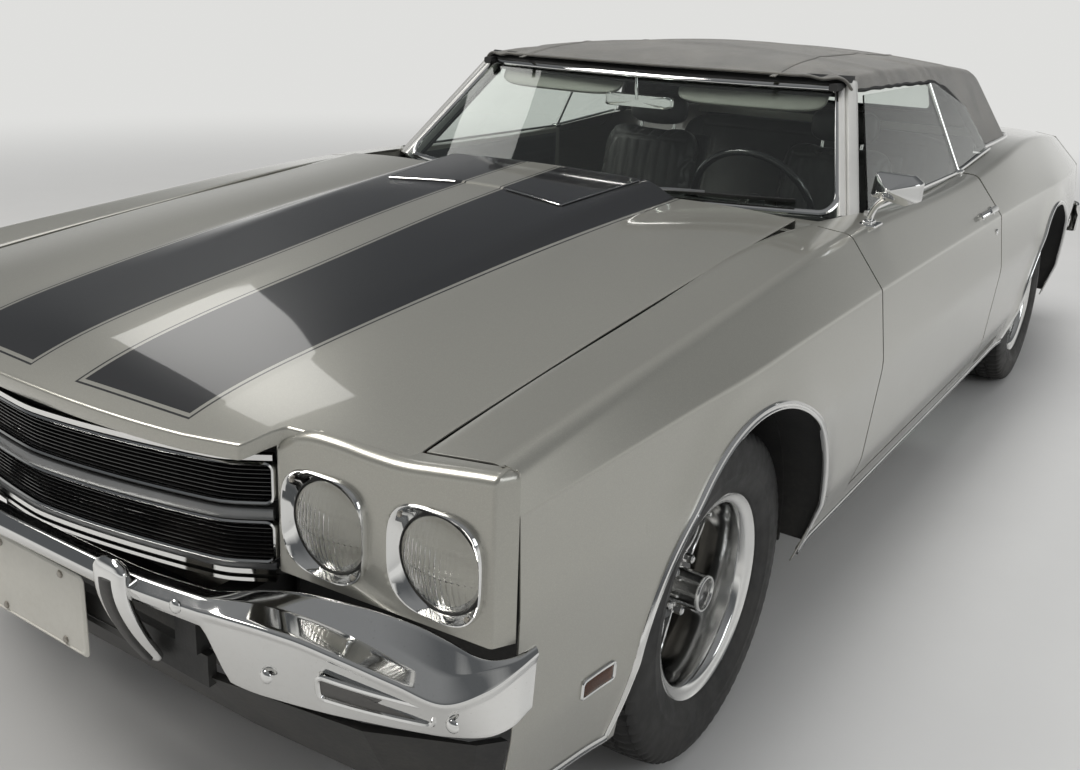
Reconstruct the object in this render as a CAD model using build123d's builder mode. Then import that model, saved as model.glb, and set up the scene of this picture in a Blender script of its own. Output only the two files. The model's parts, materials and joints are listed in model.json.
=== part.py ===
"""A 1970s mid-size two-door convertible muscle car with its soft top raised, as an assembly of panels.

Row frame: +Z up from the floor, the front of the car towards -Y, the driver's (left) side towards +X.
The origin lies on the floor under the middle of the car's length. All sizes are millimetres.
"""

import os
from collections import namedtuple
from math import atan2, cos, degrees, hypot, radians, sin

from build123d import *

# Driving sizes of the whole car
LENGTH = 5009.0
HALF_LENGTH = LENGTH / 2
NOSE_Y = -HALF_LENGTH
REAR_END_Y = HALF_LENGTH
FENDER_START_Y = NOSE_Y + 236.5
TAIL_Y = REAR_END_Y - 112.5
WHEELBASE = 2845.0
FRONT_AXLE_Y = -1574.5
REAR_AXLE_Y = FRONT_AXLE_Y + WHEELBASE
TRACK_HALF = 760.0

# Gaps between panels and between parts that seat on each other
PANEL_GAP = 6.0
SEAT_GAP = 0.3

# Body walls
FENDER_WALL = 26.0
QUARTER_WALL = 32.0
HOOD_WALL = 24.0
TOP_WALL = 12.0
GLASS_WALL = 5.0
FLOOR_WALL = 18.0

# Seams across the body: the door's front and rear cuts
DOOR_FRONT_Y = -884.0
DOOR_REAR_Y = 336.0
DOOR_BOTTOM_Z = 338.0
DOOR_INNER_X = 766.0
DOOR_HINGE_X = 957.0
DOOR_HINGE_Y = DOOR_FRONT_Y + PANEL_GAP / 2
DOOR_SWEEP = DOOR_REAR_Y - PANEL_GAP / 2 - DOOR_HINGE_Y

# Wheel openings
ARCH_R = 396.0
ARCH_Z = 344.0
LEDGE_Z = 790.0

# Wheels
TYRE_R = 338.0
TYRE_WIDTH = 250.0
RIM_LIP_R = 207.0
RIM_BEAD_R = 190.0
RIM_WIDTH = 219.0
RIM_BARREL_R = 178.0
RIM_BARREL_WALL = 6.0
RIM_LIP_WALL = 5.0
DISC_X = 22.0
SPOKE_COUNT = 5
HUB_R = 68.0
CAP_R = 37.0
CAP_LENGTH = 70.0
AXLE_Z = TYRE_R
KINGPIN_X = 690.0

Side = namedtuple(
    "Side",
    "y top_x top_z crest_x crest_z crease_x crease_z wide_x wide_z low_x low_z foot_x foot_z",
)
# Sections of the body side, front to rear: seam with the hood or belt, crest, shoulder crease, widest
# point, lower side and foot.
SIDE = [
    Side(FENDER_START_Y, 722, 842, 862, 862, 886, 792, 892, 640, 884, 440, 862, 300),
    Side(NOSE_Y + 504.5, 722, 875, 858, 884, 904, 806, 922, 648, 908, 420, 872, 262),
    Side(-1574, 722, 917, 852, 914, 924, 820, 950, 656, 930, 410, 878, 252),
    Side(-1100, 722, 957, 846, 944, 932, 830, 956, 656, 932, 404, 880, 250),
    Side(-600, 778, 952, 842, 950, 932, 832, 956, 656, 932, 404, 880, 250),
    Side(336, 778, 954, 842, 948, 932, 828, 956, 656, 932, 404, 880, 250),
    Side(800, 745, 986, 835, 972, 936, 826, 957, 656, 932, 406, 880, 254),
    Side(1270, 640, 992, 806, 980, 938, 818, 957, 654, 930, 410, 878, 262),
    Side(REAR_END_Y - 604.5, 636, 955, 778, 938, 900, 796, 922, 648, 900, 430, 862, 300),
    Side(TAIL_Y, 636, 900, 726, 886, 838, 766, 852, 640, 838, 470, 812, 360),
]
CREST_R = 34.0
CREASE_R = 22.0
WIDE_R = 150.0
LOW_R = 110.0
CORE_X = 560.0

Hood = namedtuple("Hood", "y seam_z foot_x foot_z dome_x dome_z")
# Sections of the hood: its side seam, the foot and the top edge of the raised dome
HOOD = [
    Hood(NOSE_Y + 64.5, 796, 352, 798, 280, 800),
    Hood(NOSE_Y + 174.5, 829, 356, 834, 284, 837),
    Hood(NOSE_Y + 354.5, 857, 362, 868, 290, 872),
    Hood(NOSE_Y + 704.5, 895, 372, 908, 300, 920),
    Hood(-1400, 932, 382, 946, 310, 972),
    Hood(-900, 972, 392, 980, 318, 1018),
]
HOOD_HALF = 716.0
HOOD_REAR_Y = -912.0
HOOD_NOSE_Y = NOSE_Y + 90.5
HOOD_AXIS_Y = -930.0
HOOD_AXIS_Z = 938.0
HINGE_PIN_R = 5.2
HINGE_EYE_R = 8.0
HINGE_WALL = 16.0
HINGE_BRACKET_X = 648.0 + SEAT_GAP + HINGE_WALL / 2
BACKLIGHT_LOW_Y = 1345.0
DECK_START_Y = BACKLIGHT_LOW_Y + 53
DECK_AXIS_Y = DECK_START_Y
DECK_AXIS_Z = 990.0

# Windshield: half widths, fore-aft places and heights of its lower and upper edges
SCREEN_LOW_HALF = 726.0
SCREEN_LOW_CORNER_Y = -636.0
SCREEN_LOW_MID_Y = -792.0
SCREEN_LOW_Z = 944.0
SCREEN_TOP_HALF = 592.0
SCREEN_TOP_CORNER_Y = -356.0
SCREEN_TOP_MID_Y = -446.0
SCREEN_TOP_Z = 1240.0


def mirrored(shape):
    """The same shape on the other side of the car's middle plane."""
    return shape.mirror(Plane.YZ)


def at_y(y):
    """The plane across the car at y, with its local x along +X and its local y along +Z."""
    return Plane.XZ.offset(-y)


def block(x0, x1, y0, y1, z0, z1):
    """A plain block between two corners."""
    middle = Pos((x0 + x1) / 2, (y0 + y1) / 2, (z0 + z1) / 2)
    return middle * Box(x1 - x0, y1 - y0, z1 - z0, mode=Mode.PRIVATE)


def side_points(s, inset, drop, foot_drop):
    """The corners of a body side section, moved in by inset and down by drop."""
    return [
        (s.top_x, s.top_z - drop),
        (s.crest_x - inset, s.crest_z - drop),
        (s.crease_x - inset, s.crease_z - inset / 3),
        (s.wide_x - inset, s.wide_z),
        (s.low_x - inset, s.low_z),
        (s.foot_x - inset, s.foot_z - foot_drop),
    ]


def side_form(inset=0.0, drop=0.0, foot_drop=0.0):
    """The solid body side from the fender's nose to the tail, lofted through the side table."""
    with BuildPart(mode=Mode.PRIVATE) as form:
        for s in SIDE:
            points = side_points(s, inset, drop, foot_drop)
            with BuildSketch(at_y(s.y)):
                with BuildLine():
                    outer = FilletPolyline(*points, radius=[CREST_R, CREASE_R, WIDE_R, LOW_R])
                    Polyline(
                        outer @ 1,
                        (CORE_X, points[-1][1]),
                        (CORE_X, points[0][1]),
                        outer @ 0,
                    )
                make_face()
        loft()
    return form.part


def hood_form(drop=0.0, half=HOOD_HALF):
    """The solid under the hood's skin, down to a flat floor."""
    with BuildPart(mode=Mode.PRIVATE) as form:
        for s in HOOD:
            with BuildSketch(at_y(s.y)):
                with BuildLine():
                    Polyline(
                        (-half, 700),
                        (-half, s.seam_z - drop),
                        (-s.foot_x, s.foot_z - drop),
                        (-s.dome_x, s.dome_z - drop),
                        (s.dome_x, s.dome_z - drop),
                        (s.foot_x, s.foot_z - drop),
                        (half, s.seam_z - drop),
                        (half, 700),
                        close=True,
                    )
                make_face()
        loft()
    return form.part


Top = namedtuple("Top", "y base_x shoulder_x shoulder_z crown_z")
# Sections of the raised soft top: its line down to the belt, its shoulder and its crown
TOP = [
    Top(-470, 786, 612, 1252, 1272),
    Top(-300, 786, 618, 1274, 1308),
    Top(-60, 786, 620, 1282, 1329),
    Top(420, 782, 618, 1278, 1324),
    Top(820, 772, 606, 1258, 1302),
    Top(1180, 745, 588, 1226, 1266),
    Top(BACKLIGHT_LOW_Y + 35, 712, 572, 1200, 1240),
]
TOP_BASE_Z = 940.0
TOP_SILL_Z = 992.0
BACKLIGHT_LOW_Z = 985.0
BACKLIGHT_HIGH_Y = 1130.0
BACKLIGHT_HIGH_Z = 1275.0
BACKLIGHT_CORNER_R = 190.0

# Side glass: where its plane stands at the belt and how far it leans in
GLASS_BELT_X = 790.0
GLASS_BELT_Z = 940.0
GLASS_LEAN = degrees(atan2(142, 300))
GLASS_SPLIT_Y = 314.0
GLASS_SPLIT_GAP = 15.0
GLASS_TOP_Z = 1226.0

# Soft top's side opening: its header line over the glass
TOP_RAIL_Z = GLASS_TOP_Z + PANEL_GAP

# Floors and the frame under them
FLOOR_Z = 290.0
SEAT_FLOOR_Z = 400.0
AXLE_FLOOR_Z = 540.0
TRUNK_FLOOR_Z = 430.0
TUNNEL_HALF = 150.0
TUNNEL_TOP_Z = 400.0
RISER_1_Y = 600.0
RISER_2_Y = 1010.0
RISER_3_Y = 1620.0
FIREWALL_Y = -905.0

# Steering wheel: centre and the lean of its column
WHEEL_X = 365.0
WHEEL_Y = -350.0
WHEEL_Z = 870.0
COLUMN_DEG = 22.0

# Lamps in the nose
LAMP_R = 72.0
OUTER_LAMP_X = 778.0
INNER_LAMP_X = 580.0
LAMP_Z = 700.0
LENS_R = 222.0
LENS_RISE = 12.0
LAMP_LENGTH = 50.0
LAMP_RING_R = 86.0
LAMP_RING_DEPTH = 10.0

# Lamp surround seen from above: its face runs from the grille back to the fender
BEZEL_INNER_X = 484.0
BEZEL_OUTER_X = 871.0
BEZEL_INNER_Y = NOSE_Y + 168.5
BEZEL_OUTER_Y = NOSE_Y + 197.5


def tube_x(radius, length, x, y, z):
    """A cylinder along X centred at a point."""
    return Pos(x, y, z) * Rot(0, 90, 0) * Cylinder(radius, length, mode=Mode.PRIVATE)


def tube_y(radius, length, x, y, z):
    """A cylinder along Y centred at a point."""
    return Pos(x, y, z) * Rot(90, 0, 0) * Cylinder(radius, length, mode=Mode.PRIVATE)


def rounded(x0, x1, y0, y1, z0, z1, radius):
    """A block between two corners with all its edges rounded."""
    body = block(x0, x1, y0, y1, z0, z1)
    return body.fillet(radius, body.edges())


def lerp(a, b, t):
    """The value a share t of the way from a to b."""
    return a + (b - a) * t


def screen_band(z0, z1, grow, front, back):
    """The curved windshield's band between two heights, grown sideways and in thickness."""
    with BuildPart(mode=Mode.PRIVATE) as band:
        for z in (z0, z1):
            t = (z - SCREEN_LOW_Z) / (SCREEN_TOP_Z - SCREEN_LOW_Z)
            half = lerp(SCREEN_LOW_HALF, SCREEN_TOP_HALF, t) + grow
            corner = lerp(SCREEN_LOW_CORNER_Y, SCREEN_TOP_CORNER_Y, t) + 0.45 * grow
            middle = lerp(SCREEN_LOW_MID_Y, SCREEN_TOP_MID_Y, t)
            with BuildSketch(Plane.XY.offset(z)):
                with BuildLine():
                    ThreePointArc((-half, corner - front), (0, middle - front), (half, corner - front))
                    Line((half, corner - front), (half, corner + back))
                    ThreePointArc((half, corner + back), (0, middle + back), (-half, corner + back))
                    Line((-half, corner + back), (-half, corner - front))
                make_face()
        loft()
    return band.part


def top_form(inset):
    """The raised soft top's outer volume, moved in by inset."""
    run = hypot(BACKLIGHT_LOW_Y - BACKLIGHT_HIGH_Y, BACKLIGHT_HIGH_Z - BACKLIGHT_LOW_Z)
    normal = ((BACKLIGHT_HIGH_Z - BACKLIGHT_LOW_Z) / run, (BACKLIGHT_LOW_Y - BACKLIGHT_HIGH_Y) / run)
    backlight = Plane(
        origin=(0, BACKLIGHT_LOW_Y - inset * normal[0], BACKLIGHT_LOW_Z - inset * normal[1]),
        x_dir=(1, 0, 0),
        z_dir=(0, normal[0], normal[1]),
    )
    with BuildPart(mode=Mode.PRIVATE) as form:
        for s in TOP:
            with BuildSketch(at_y(s.y)):
                with BuildLine():
                    arc = ThreePointArc(
                        (-(s.shoulder_x - inset), s.shoulder_z - inset),
                        (0, s.crown_z - inset),
                        (s.shoulder_x - inset, s.shoulder_z - inset),
                    )
                    Polyline(
                        arc @ 1,
                        (s.base_x - inset, TOP_BASE_Z),
                        (-(s.base_x - inset), TOP_BASE_Z),
                        arc @ 0,
                    )
                make_face()
        loft()
        with BuildSketch(backlight):
            Rectangle(3000, 6000)
        extrude(amount=-4000, mode=Mode.INTERSECT)
        with BuildSketch(Plane.XY.offset(800)):
            Rectangle(2 * (790 - inset), 2 * (BACKLIGHT_LOW_Y - inset))
            fillet(vertices(), BACKLIGHT_CORNER_R - inset)
        extrude(amount=800, mode=Mode.INTERSECT)
    return form.part


def glass_sheet(points, front, back):
    """A sheet of side glass through (y, z) points, from front outside its plane to back inside it."""
    lean = radians(GLASS_LEAN)
    plane = Plane(
        origin=(GLASS_BELT_X, 0, GLASS_BELT_Z),
        x_dir=(0, 1, 0),
        z_dir=(cos(lean), 0, sin(lean)),
    )
    with BuildPart(mode=Mode.PRIVATE) as sheet:
        with BuildSketch(plane.offset(-back)):
            with BuildLine():
                Polyline(*[(y, (z - GLASS_BELT_Z) / cos(lean)) for y, z in points], close=True)
            make_face()
        extrude(amount=front + back)
    return sheet.part


def yz_prism(points, x0, x1):
    """A prism of a (y, z) outline between two places across the car."""
    with BuildPart(mode=Mode.PRIVATE) as prism:
        with BuildSketch(Plane.YZ.offset(x0)):
            with BuildLine():
                Polyline(*points, close=True)
            make_face()
        extrude(amount=x1 - x0)
    return prism.part


def xy_prism(points, z0, z1):
    """A prism of an (x, y) outline between two heights."""
    with BuildPart(mode=Mode.PRIVATE) as prism:
        with BuildSketch(Plane.XY.offset(z0)):
            with BuildLine():
                Polyline(*points, close=True)
            make_face()
        extrude(amount=z1 - z0)
    return prism.part


def xz_prism(points, y0, y1):
    """A prism of an (x, z) outline between two places along the car."""
    with BuildPart(mode=Mode.PRIVATE) as prism:
        with BuildSketch(at_y(y1)):
            with BuildLine():
                Polyline(*points, close=True)
            make_face()
        extrude(amount=y1 - y0)
    return prism.part


def both(points):
    """An outline's points followed by their mirror image back, for a shape across the whole car."""
    return points + [(-x, v) for x, v in reversed(points) if x > 0]


# Shared forms
body_side = side_form()
fender_core = side_form(FENDER_WALL, FENDER_WALL, 80)
quarter_core = side_form(QUARTER_WALL, QUARTER_WALL, 80)
front_arch = tube_x(ARCH_R, 500, 880, FRONT_AXLE_Y, ARCH_Z)
rear_arch = tube_x(ARCH_R, 500, 880, REAR_AXLE_Y, ARCH_Z)
door_axis = Pos(DOOR_HINGE_X, DOOR_HINGE_Y, 700)
FENDER_END_Y = DOOR_FRONT_Y - PANEL_GAP / 2
DOOR_START_Y = DOOR_FRONT_Y + PANEL_GAP / 2

# Outline of the hood seen from above, front edge with its step round the lamp surrounds
HOOD_PLAN = [
    (0, HOOD_NOSE_Y),
    (250, NOSE_Y + 100.5),
    (472, NOSE_Y + 128.5),
    (BEZEL_INNER_X + 2, NOSE_Y + 186.5),
    (HOOD_HALF, NOSE_Y + 214.5),
    (HOOD_HALF, HOOD_REAR_Y),
]
hood_plan_grown = [(x + PANEL_GAP * (x > 250), y - PANEL_GAP) for x, y in HOOD_PLAN[:-1]]
hood_plan_grown.append((HOOD_HALF + PANEL_GAP, HOOD_REAR_Y + PANEL_GAP))

# Body panels

with BuildPart() as fender_flange:
    add(body_side)
    add(
        block(HOOD_HALF + PANEL_GAP, HOOD_HALF + PANEL_GAP + 8, FENDER_START_Y, FENDER_END_Y, LEDGE_Z, 1100),
        mode=Mode.INTERSECT,
    )

with BuildPart() as fenders:
    add(body_side)
    add(fender_core, mode=Mode.SUBTRACT)
    add(
        block(HOOD_HALF + PANEL_GAP, 1100, FENDER_START_Y, FENDER_END_Y, 200, 1100),
        mode=Mode.INTERSECT,
    )
    add(front_arch, mode=Mode.SUBTRACT)
    add(fender_flange.part)
    mirror(about=Plane.YZ)

SLOT_Z = 930.0
DOOR_GLASS = [
    (-600, SLOT_Z + SEAT_GAP),
    (-587, 944),
    (-320, GLASS_TOP_Z),
    (GLASS_SPLIT_Y, GLASS_TOP_Z),
    (GLASS_SPLIT_Y, SLOT_Z + SEAT_GAP),
]
DOOR_SLOT = [
    (-606, SLOT_Z),
    (-606, 1010),
    (GLASS_SPLIT_Y + 3, 1010),
    (GLASS_SPLIT_Y + 3, SLOT_Z),
]

with BuildPart() as door_left:
    add(body_side)
    add(
        block(DOOR_INNER_X, 1100, DOOR_START_Y, DOOR_REAR_Y + 20, DOOR_BOTTOM_Z, 1100),
        mode=Mode.INTERSECT,
    )
    add(door_axis * Cylinder(DOOR_SWEEP, 2000, mode=Mode.PRIVATE), mode=Mode.INTERSECT)
    add(glass_sheet(DOOR_SLOT, 3, GLASS_WALL + 3), mode=Mode.SUBTRACT)
    add(block(722, DOOR_INNER_X + 1, -300, 160, 640, 690))

with BuildPart() as door_right:
    add(mirrored(door_left.part))

with BuildPart() as door_glass_left:
    add(glass_sheet(DOOR_GLASS, 0, GLASS_WALL))

with BuildPart() as door_glass_right:
    add(mirrored(door_glass_left.part))

QUARTER_SLOT_Z = 927.0
QUARTER_GLASS = [
    (GLASS_SPLIT_Y + GLASS_SPLIT_GAP, QUARTER_SLOT_Z + SEAT_GAP),
    (GLASS_SPLIT_Y + GLASS_SPLIT_GAP, GLASS_TOP_Z),
    (388, GLASS_TOP_Z),
    (664, 1136),
    (752, 1000),
    (752, 985),
    (700, QUARTER_SLOT_Z + SEAT_GAP),
]
QUARTER_SLOT = [
    (GLASS_SPLIT_Y + 6, QUARTER_SLOT_Z),
    (GLASS_SPLIT_Y + 6, 1040),
    (756, 1040),
    (756, 985),
    (703, QUARTER_SLOT_Z),
]

with BuildPart() as quarters:
    add(body_side)
    add(quarter_core, mode=Mode.SUBTRACT)
    add(block(636, 1100, DOOR_REAR_Y - 60, TAIL_Y, 200, 1100), mode=Mode.INTERSECT)
    add(door_axis * Cylinder(DOOR_SWEEP + PANEL_GAP, 2000, mode=Mode.PRIVATE), mode=Mode.SUBTRACT)
    add(rear_arch, mode=Mode.SUBTRACT)
    add(glass_sheet(QUARTER_SLOT, 3, GLASS_WALL + 3), mode=Mode.SUBTRACT)
    mirror(about=Plane.YZ)

with BuildPart() as rockers:
    add(body_side)
    add(
        block(700, 1100, FENDER_END_Y + SEAT_GAP, DOOR_REAR_Y + 20, 200, DOOR_BOTTOM_Z - PANEL_GAP),
        mode=Mode.INTERSECT,
    )
    add(
        door_axis * Cylinder(DOOR_SWEEP + PANEL_GAP - SEAT_GAP, 2000, mode=Mode.PRIVATE),
        mode=Mode.INTERSECT,
    )
    mirror(about=Plane.YZ)

with BuildPart() as hood:
    add(hood_form())
    add(hood_form(HOOD_WALL, HOOD_HALF + 20), mode=Mode.SUBTRACT)
    add(xy_prism(both(HOOD_PLAN), 600, 1100), mode=Mode.INTERSECT)
    for x in (-638, 638):
        add(block(x - 10, x + 10, HOOD_AXIS_Y - 10, HOOD_AXIS_Y + 10, HOOD_AXIS_Z - 9, HOOD_AXIS_Z + 16))
        add(tube_x(HINGE_PIN_R + SEAT_GAP, 40, x, HOOD_AXIS_Y, HOOD_AXIS_Z), mode=Mode.SUBTRACT)
    for x in (-HINGE_BRACKET_X, HINGE_BRACKET_X):
        add(
            tube_x(HINGE_EYE_R + 2, HINGE_WALL + 2 * SEAT_GAP, x, HOOD_AXIS_Y, HOOD_AXIS_Z),
            mode=Mode.SUBTRACT,
        )

BEZEL_FACE = [
    (BEZEL_INNER_X, 600),
    (874, 600),
    (889, 640),
    (884, 792),
    (862, 856),
    (840, 860),
    (722, 842),
    (BEZEL_INNER_X, 828),
]
BEZEL_PLAN = [
    (BEZEL_INNER_X, BEZEL_INNER_Y),
    (BEZEL_OUTER_X, BEZEL_OUTER_Y),
    (889, FENDER_START_Y - SEAT_GAP),
    (BEZEL_INNER_X, FENDER_START_Y - SEAT_GAP),
]


def bezel_face_y(x):
    """Where the lamp surround's face stands at x."""
    return lerp(BEZEL_INNER_Y, BEZEL_OUTER_Y, (x - BEZEL_INNER_X) / (BEZEL_OUTER_X - BEZEL_INNER_X))


with BuildPart() as bezels:
    add(xz_prism(BEZEL_FACE, BEZEL_INNER_Y, FENDER_START_Y - SEAT_GAP))
    add(xy_prism(BEZEL_PLAN, 590, 870), mode=Mode.INTERSECT)
    add(xy_prism(both(hood_plan_grown), 792, 1100), mode=Mode.SUBTRACT)
    for x in (OUTER_LAMP_X, INNER_LAMP_X):
        ring_y = bezel_face_y(x) + LAMP_RING_DEPTH - 30
        add(tube_y(LAMP_RING_R, 60, x, ring_y, LAMP_Z), mode=Mode.SUBTRACT)
        add(tube_y(LAMP_R + SEAT_GAP, 200, x, BEZEL_INNER_Y, LAMP_Z), mode=Mode.SUBTRACT)
    mirror(about=Plane.YZ)

with BuildPart() as headlamps:
    for x in (OUTER_LAMP_X, INNER_LAMP_X):
        lens_y = bezel_face_y(x) - LENS_RISE / 2
        lens_ball = Pos(x, lens_y + LENS_R, LAMP_Z) * Sphere(LENS_R, mode=Mode.PRIVATE)
        add(tube_y(LAMP_R, LAMP_LENGTH, x, lens_y + LAMP_LENGTH / 2, LAMP_Z) & lens_ball)
    mirror(about=Plane.YZ)

# Grille: its plan is a shallow vee that breaks back at both ends
GRILLE_LOW_Z = 566.0
GRILLE_TOP_Z = 782.0
GRILLE_BREAK_X = 412.0
GRILLE_END_X = BEZEL_INNER_X - SEAT_GAP
GRILLE_MID_Y = NOSE_Y + 79.5
GRILLE_BREAK_Y = NOSE_Y + 133.5
GRILLE_END_Y = NOSE_Y + 170.5
GRILLE_DEPTH = 22.0
GRILLE_WINDOWS = ((602.0, 668.0), (700.0, 765.0))
GRILLE_WINDOW_HALF = 470.0
GRILLE_CORNER_R = 11.0
FIN_COUNT = 5
FIN_WALL = 2.4
FIN_SETBACK = 6.0


def grille_band(front, back):
    """The grille's outline seen from above, between two distances behind its face."""
    return both([
        (0, GRILLE_MID_Y + front),
        (GRILLE_BREAK_X, GRILLE_BREAK_Y + front),
        (GRILLE_END_X, GRILLE_END_Y + front),
        (GRILLE_END_X, GRILLE_END_Y + back),
        (GRILLE_BREAK_X - 6, GRILLE_BREAK_Y + back),
        (0, GRILLE_MID_Y + back),
    ])


with BuildPart() as grille:
    add(xy_prism(grille_band(0, GRILLE_DEPTH), GRILLE_LOW_Z, GRILLE_TOP_Z))
    with BuildSketch(at_y(BEZEL_INNER_Y + 40)):
        for low_z, high_z in GRILLE_WINDOWS:
            with Locations((0, (low_z + high_z) / 2)):
                RectangleRounded(2 * GRILLE_WINDOW_HALF, high_z - low_z, GRILLE_CORNER_R)
    extrude(amount=200, mode=Mode.SUBTRACT)
    for low_z, high_z in GRILLE_WINDOWS:
        for fin in range(1, FIN_COUNT + 1):
            fin_z = lerp(low_z, high_z, fin / (FIN_COUNT + 1)) - FIN_WALL / 2
            add(xy_prism(grille_band(FIN_SETBACK, GRILLE_DEPTH - 2), fin_z, fin_z + FIN_WALL))

with BuildPart() as radiator:
    add(block(-430, 430, NOSE_Y + 304.5, NOSE_Y + 364.5, 380 + SEAT_GAP, 800))

Bar = namedtuple("Bar", "x behind back back_z scoop scoop_z ridge_z low_z low_in")
# Stations of the front bumper from its middle round to its tip: the ridge's place across the car and
# behind the nose, then how far back and how high the rear edge, the scoop, the ridge and the foot lie
FRONT_BARS = [
    Bar(0, 0, 60, 604, 16, 606, 590, 442, 52),
    Bar(300, 6, 60, 604, 16, 606, 590, 442, 52),
    Bar(490, 33, 58, 606, 24, 606, 590, 452, 42),
    Bar(545, 45, 76, 608, 42, 602, 591, 447, 42),
    Bar(615, 62, 90, 604, 50, 592, 587, 449, 40),
    Bar(690, 83, 90, 597, 50, 576, 574, 452, 38),
    Bar(770, 113, 80, 593, 44, 558, 550, 455, 34),
    Bar(832, 143, 57, 590, 32, 553, 527, 457, 28),
    Bar(882, 179, 26, 590, 14, 577, 550, 462, 20),
    Bar(911, 214, 15, 595, 7, 592, 580, 478, 15),
    Bar(922, 240, 13, 603, 6, 604, 595, 500, 12),
]
BUMPER_WALL = 12.0
RAIL_LOW_Z = 566.0
RAIL_HALF = 478.0
RAIL_BACK_Y = NOSE_Y + 52.5
RAIL_BACK_WALL = 12.0

# Stations of the rear bumper, which is a plain deep bar that wraps round the corners
REAR_BARS = [
    Bar(0, 0, 48, 588, 20, 590, 566, 432, 36),
    Bar(500, 6.5, 48, 588, 20, 590, 566, 432, 36),
    Bar(720, 24, 48, 588, 20, 590, 566, 432, 36),
    Bar(812, 46, 34, 588, 17, 590, 566, 434, 30),
    Bar(868, 84, 19, 586, 10, 588, 566, 438, 7),
    Bar(890, 128, 18, 584, 8, 586, 566, 446, 6),
    Bar(897, 176, 17, 580, 7, 582, 564, 456, 5),
]


def solid_section(b):
    """A bumper station's outline: rear edge, scoop, ridge, turn under and foot, closed at the back."""
    return [
        (b.back, b.back_z),
        (b.scoop, b.scoop_z),
        (0, b.ridge_z),
        (5, b.ridge_z - 18),
        (b.low_in, b.low_z),
        (b.low_in + BUMPER_WALL, b.low_z),
    ]


def shell_section(b):
    """The same outline with a wall of even thickness behind it, thinner towards the tip."""
    wall = min(BUMPER_WALL, 0.4 * b.back)
    return solid_section(b)[:5] + [
        (b.low_in + wall, b.low_z),
        (wall + 5, b.ridge_z - 18 - 0.4 * wall),
        (wall, b.ridge_z - 0.6 * wall),
        (b.scoop + 0.3 * wall, b.scoop_z - wall),
        (b.back, b.back_z - wall),
    ]


def bumper_bar(bars, section, end_y, way):
    """Half a bumper, lofted through stations square to its plan; way is 1 at the nose, -1 at the tail."""
    plan = [(b.x, end_y + way * b.behind) for b in bars]
    with BuildPart(mode=Mode.PRIVATE) as bar:
        for i, b in enumerate(bars):
            before = plan[max(i - 1, 0)]
            after = plan[min(i + 1, len(plan) - 1)]
            run = (after[0] - before[0], after[1] - before[1])
            size = hypot(*run)
            inward = (0, way, 0) if i == 0 else (-way * run[1] / size, way * run[0] / size, 0)
            place = Plane(
                origin=(plan[i][0], plan[i][1], 0),
                x_dir=inward,
                z_dir=(inward[1], -inward[0], 0),
            )
            with BuildSketch(place):
                with BuildLine():
                    Polyline(*section(b), close=True)
                make_face()
        loft(ruled=True)
    return bar.part


GUARD_SIDE = [
    (NOSE_Y + 26, 630),
    (NOSE_Y + 5, 626),
    (NOSE_Y, 606),
    (NOSE_Y + 3, 566),
    (NOSE_Y + 16, 520),
    (NOSE_Y + 36, 474),
    (RAIL_BACK_Y - 1, 444),
    (RAIL_BACK_Y + 1, 444),
    (RAIL_BACK_Y + 1, 598),
    (NOSE_Y + 30, 606),
]
GUARD_X0 = 262.0
GUARD_X1 = 334.0

with BuildPart() as front_bumper:
    add(bumper_bar(FRONT_BARS, shell_section, NOSE_Y, 1))
    add(block(-1, RAIL_HALF, NOSE_Y - 10, RAIL_BACK_Y + 30, 430, RAIL_LOW_Z), mode=Mode.SUBTRACT)
    add(block(0, RAIL_HALF + 2, RAIL_BACK_Y, RAIL_BACK_Y + RAIL_BACK_WALL, 442, 600))
    add(yz_prism(GUARD_SIDE, GUARD_X0, GUARD_X1))
    mirror(about=Plane.YZ)

# Front valance: its upper and lower outlines seen from above
VALANCE_WALL = 14.0
VALANCE_TOP = [(0, 66), (420, 76), (700, 124), (850, 198), (880, 234)]
VALANCE_FOOT = [(0, 160), (420, 166), (700, 190), (822, 222), (858, 234)]


def valance_outline(points):
    """A valance outline with its wall's thickness behind it."""
    front = [(x, NOSE_Y + behind) for x, behind in points]
    back = [
        (x - VALANCE_WALL * (x > 0), NOSE_Y + behind + VALANCE_WALL * (x < 800))
        for x, behind in points
    ]
    return both(front + back[::-1])


with BuildPart() as front_valance:
    for z, outline in ((440 - SEAT_GAP, VALANCE_TOP), (300, VALANCE_FOOT)):
        with BuildSketch(Plane.XY.offset(z)):
            with BuildLine():
                Polyline(*valance_outline(outline), close=True)
            make_face()
    loft(ruled=True)
    add(block(-430, 430, NOSE_Y + 72.5, NOSE_Y + 88.5, 425, 480 - SEAT_GAP))

PLATE_HALF = 152.5
PLATE_LOW_Z = 372.0
PLATE_TOP_Z = 524.0
PLATE_WALL = 2.2

with BuildPart() as plates:
    plate_back = RAIL_BACK_Y - SEAT_GAP
    add(block(-PLATE_HALF, PLATE_HALF, plate_back - PLATE_WALL, plate_back, PLATE_LOW_Z, PLATE_TOP_Z))

# Rear bumper's lamp pockets
TAIL_LAMP_X0 = 560.0
TAIL_LAMP_X1 = 790.0
TAIL_LAMP_Z0 = 470.0
TAIL_LAMP_Z1 = 550.0
TAIL_LAMP_Y = REAR_END_Y - 46.5
TAIL_LAMP_RIM = 4.0

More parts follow.
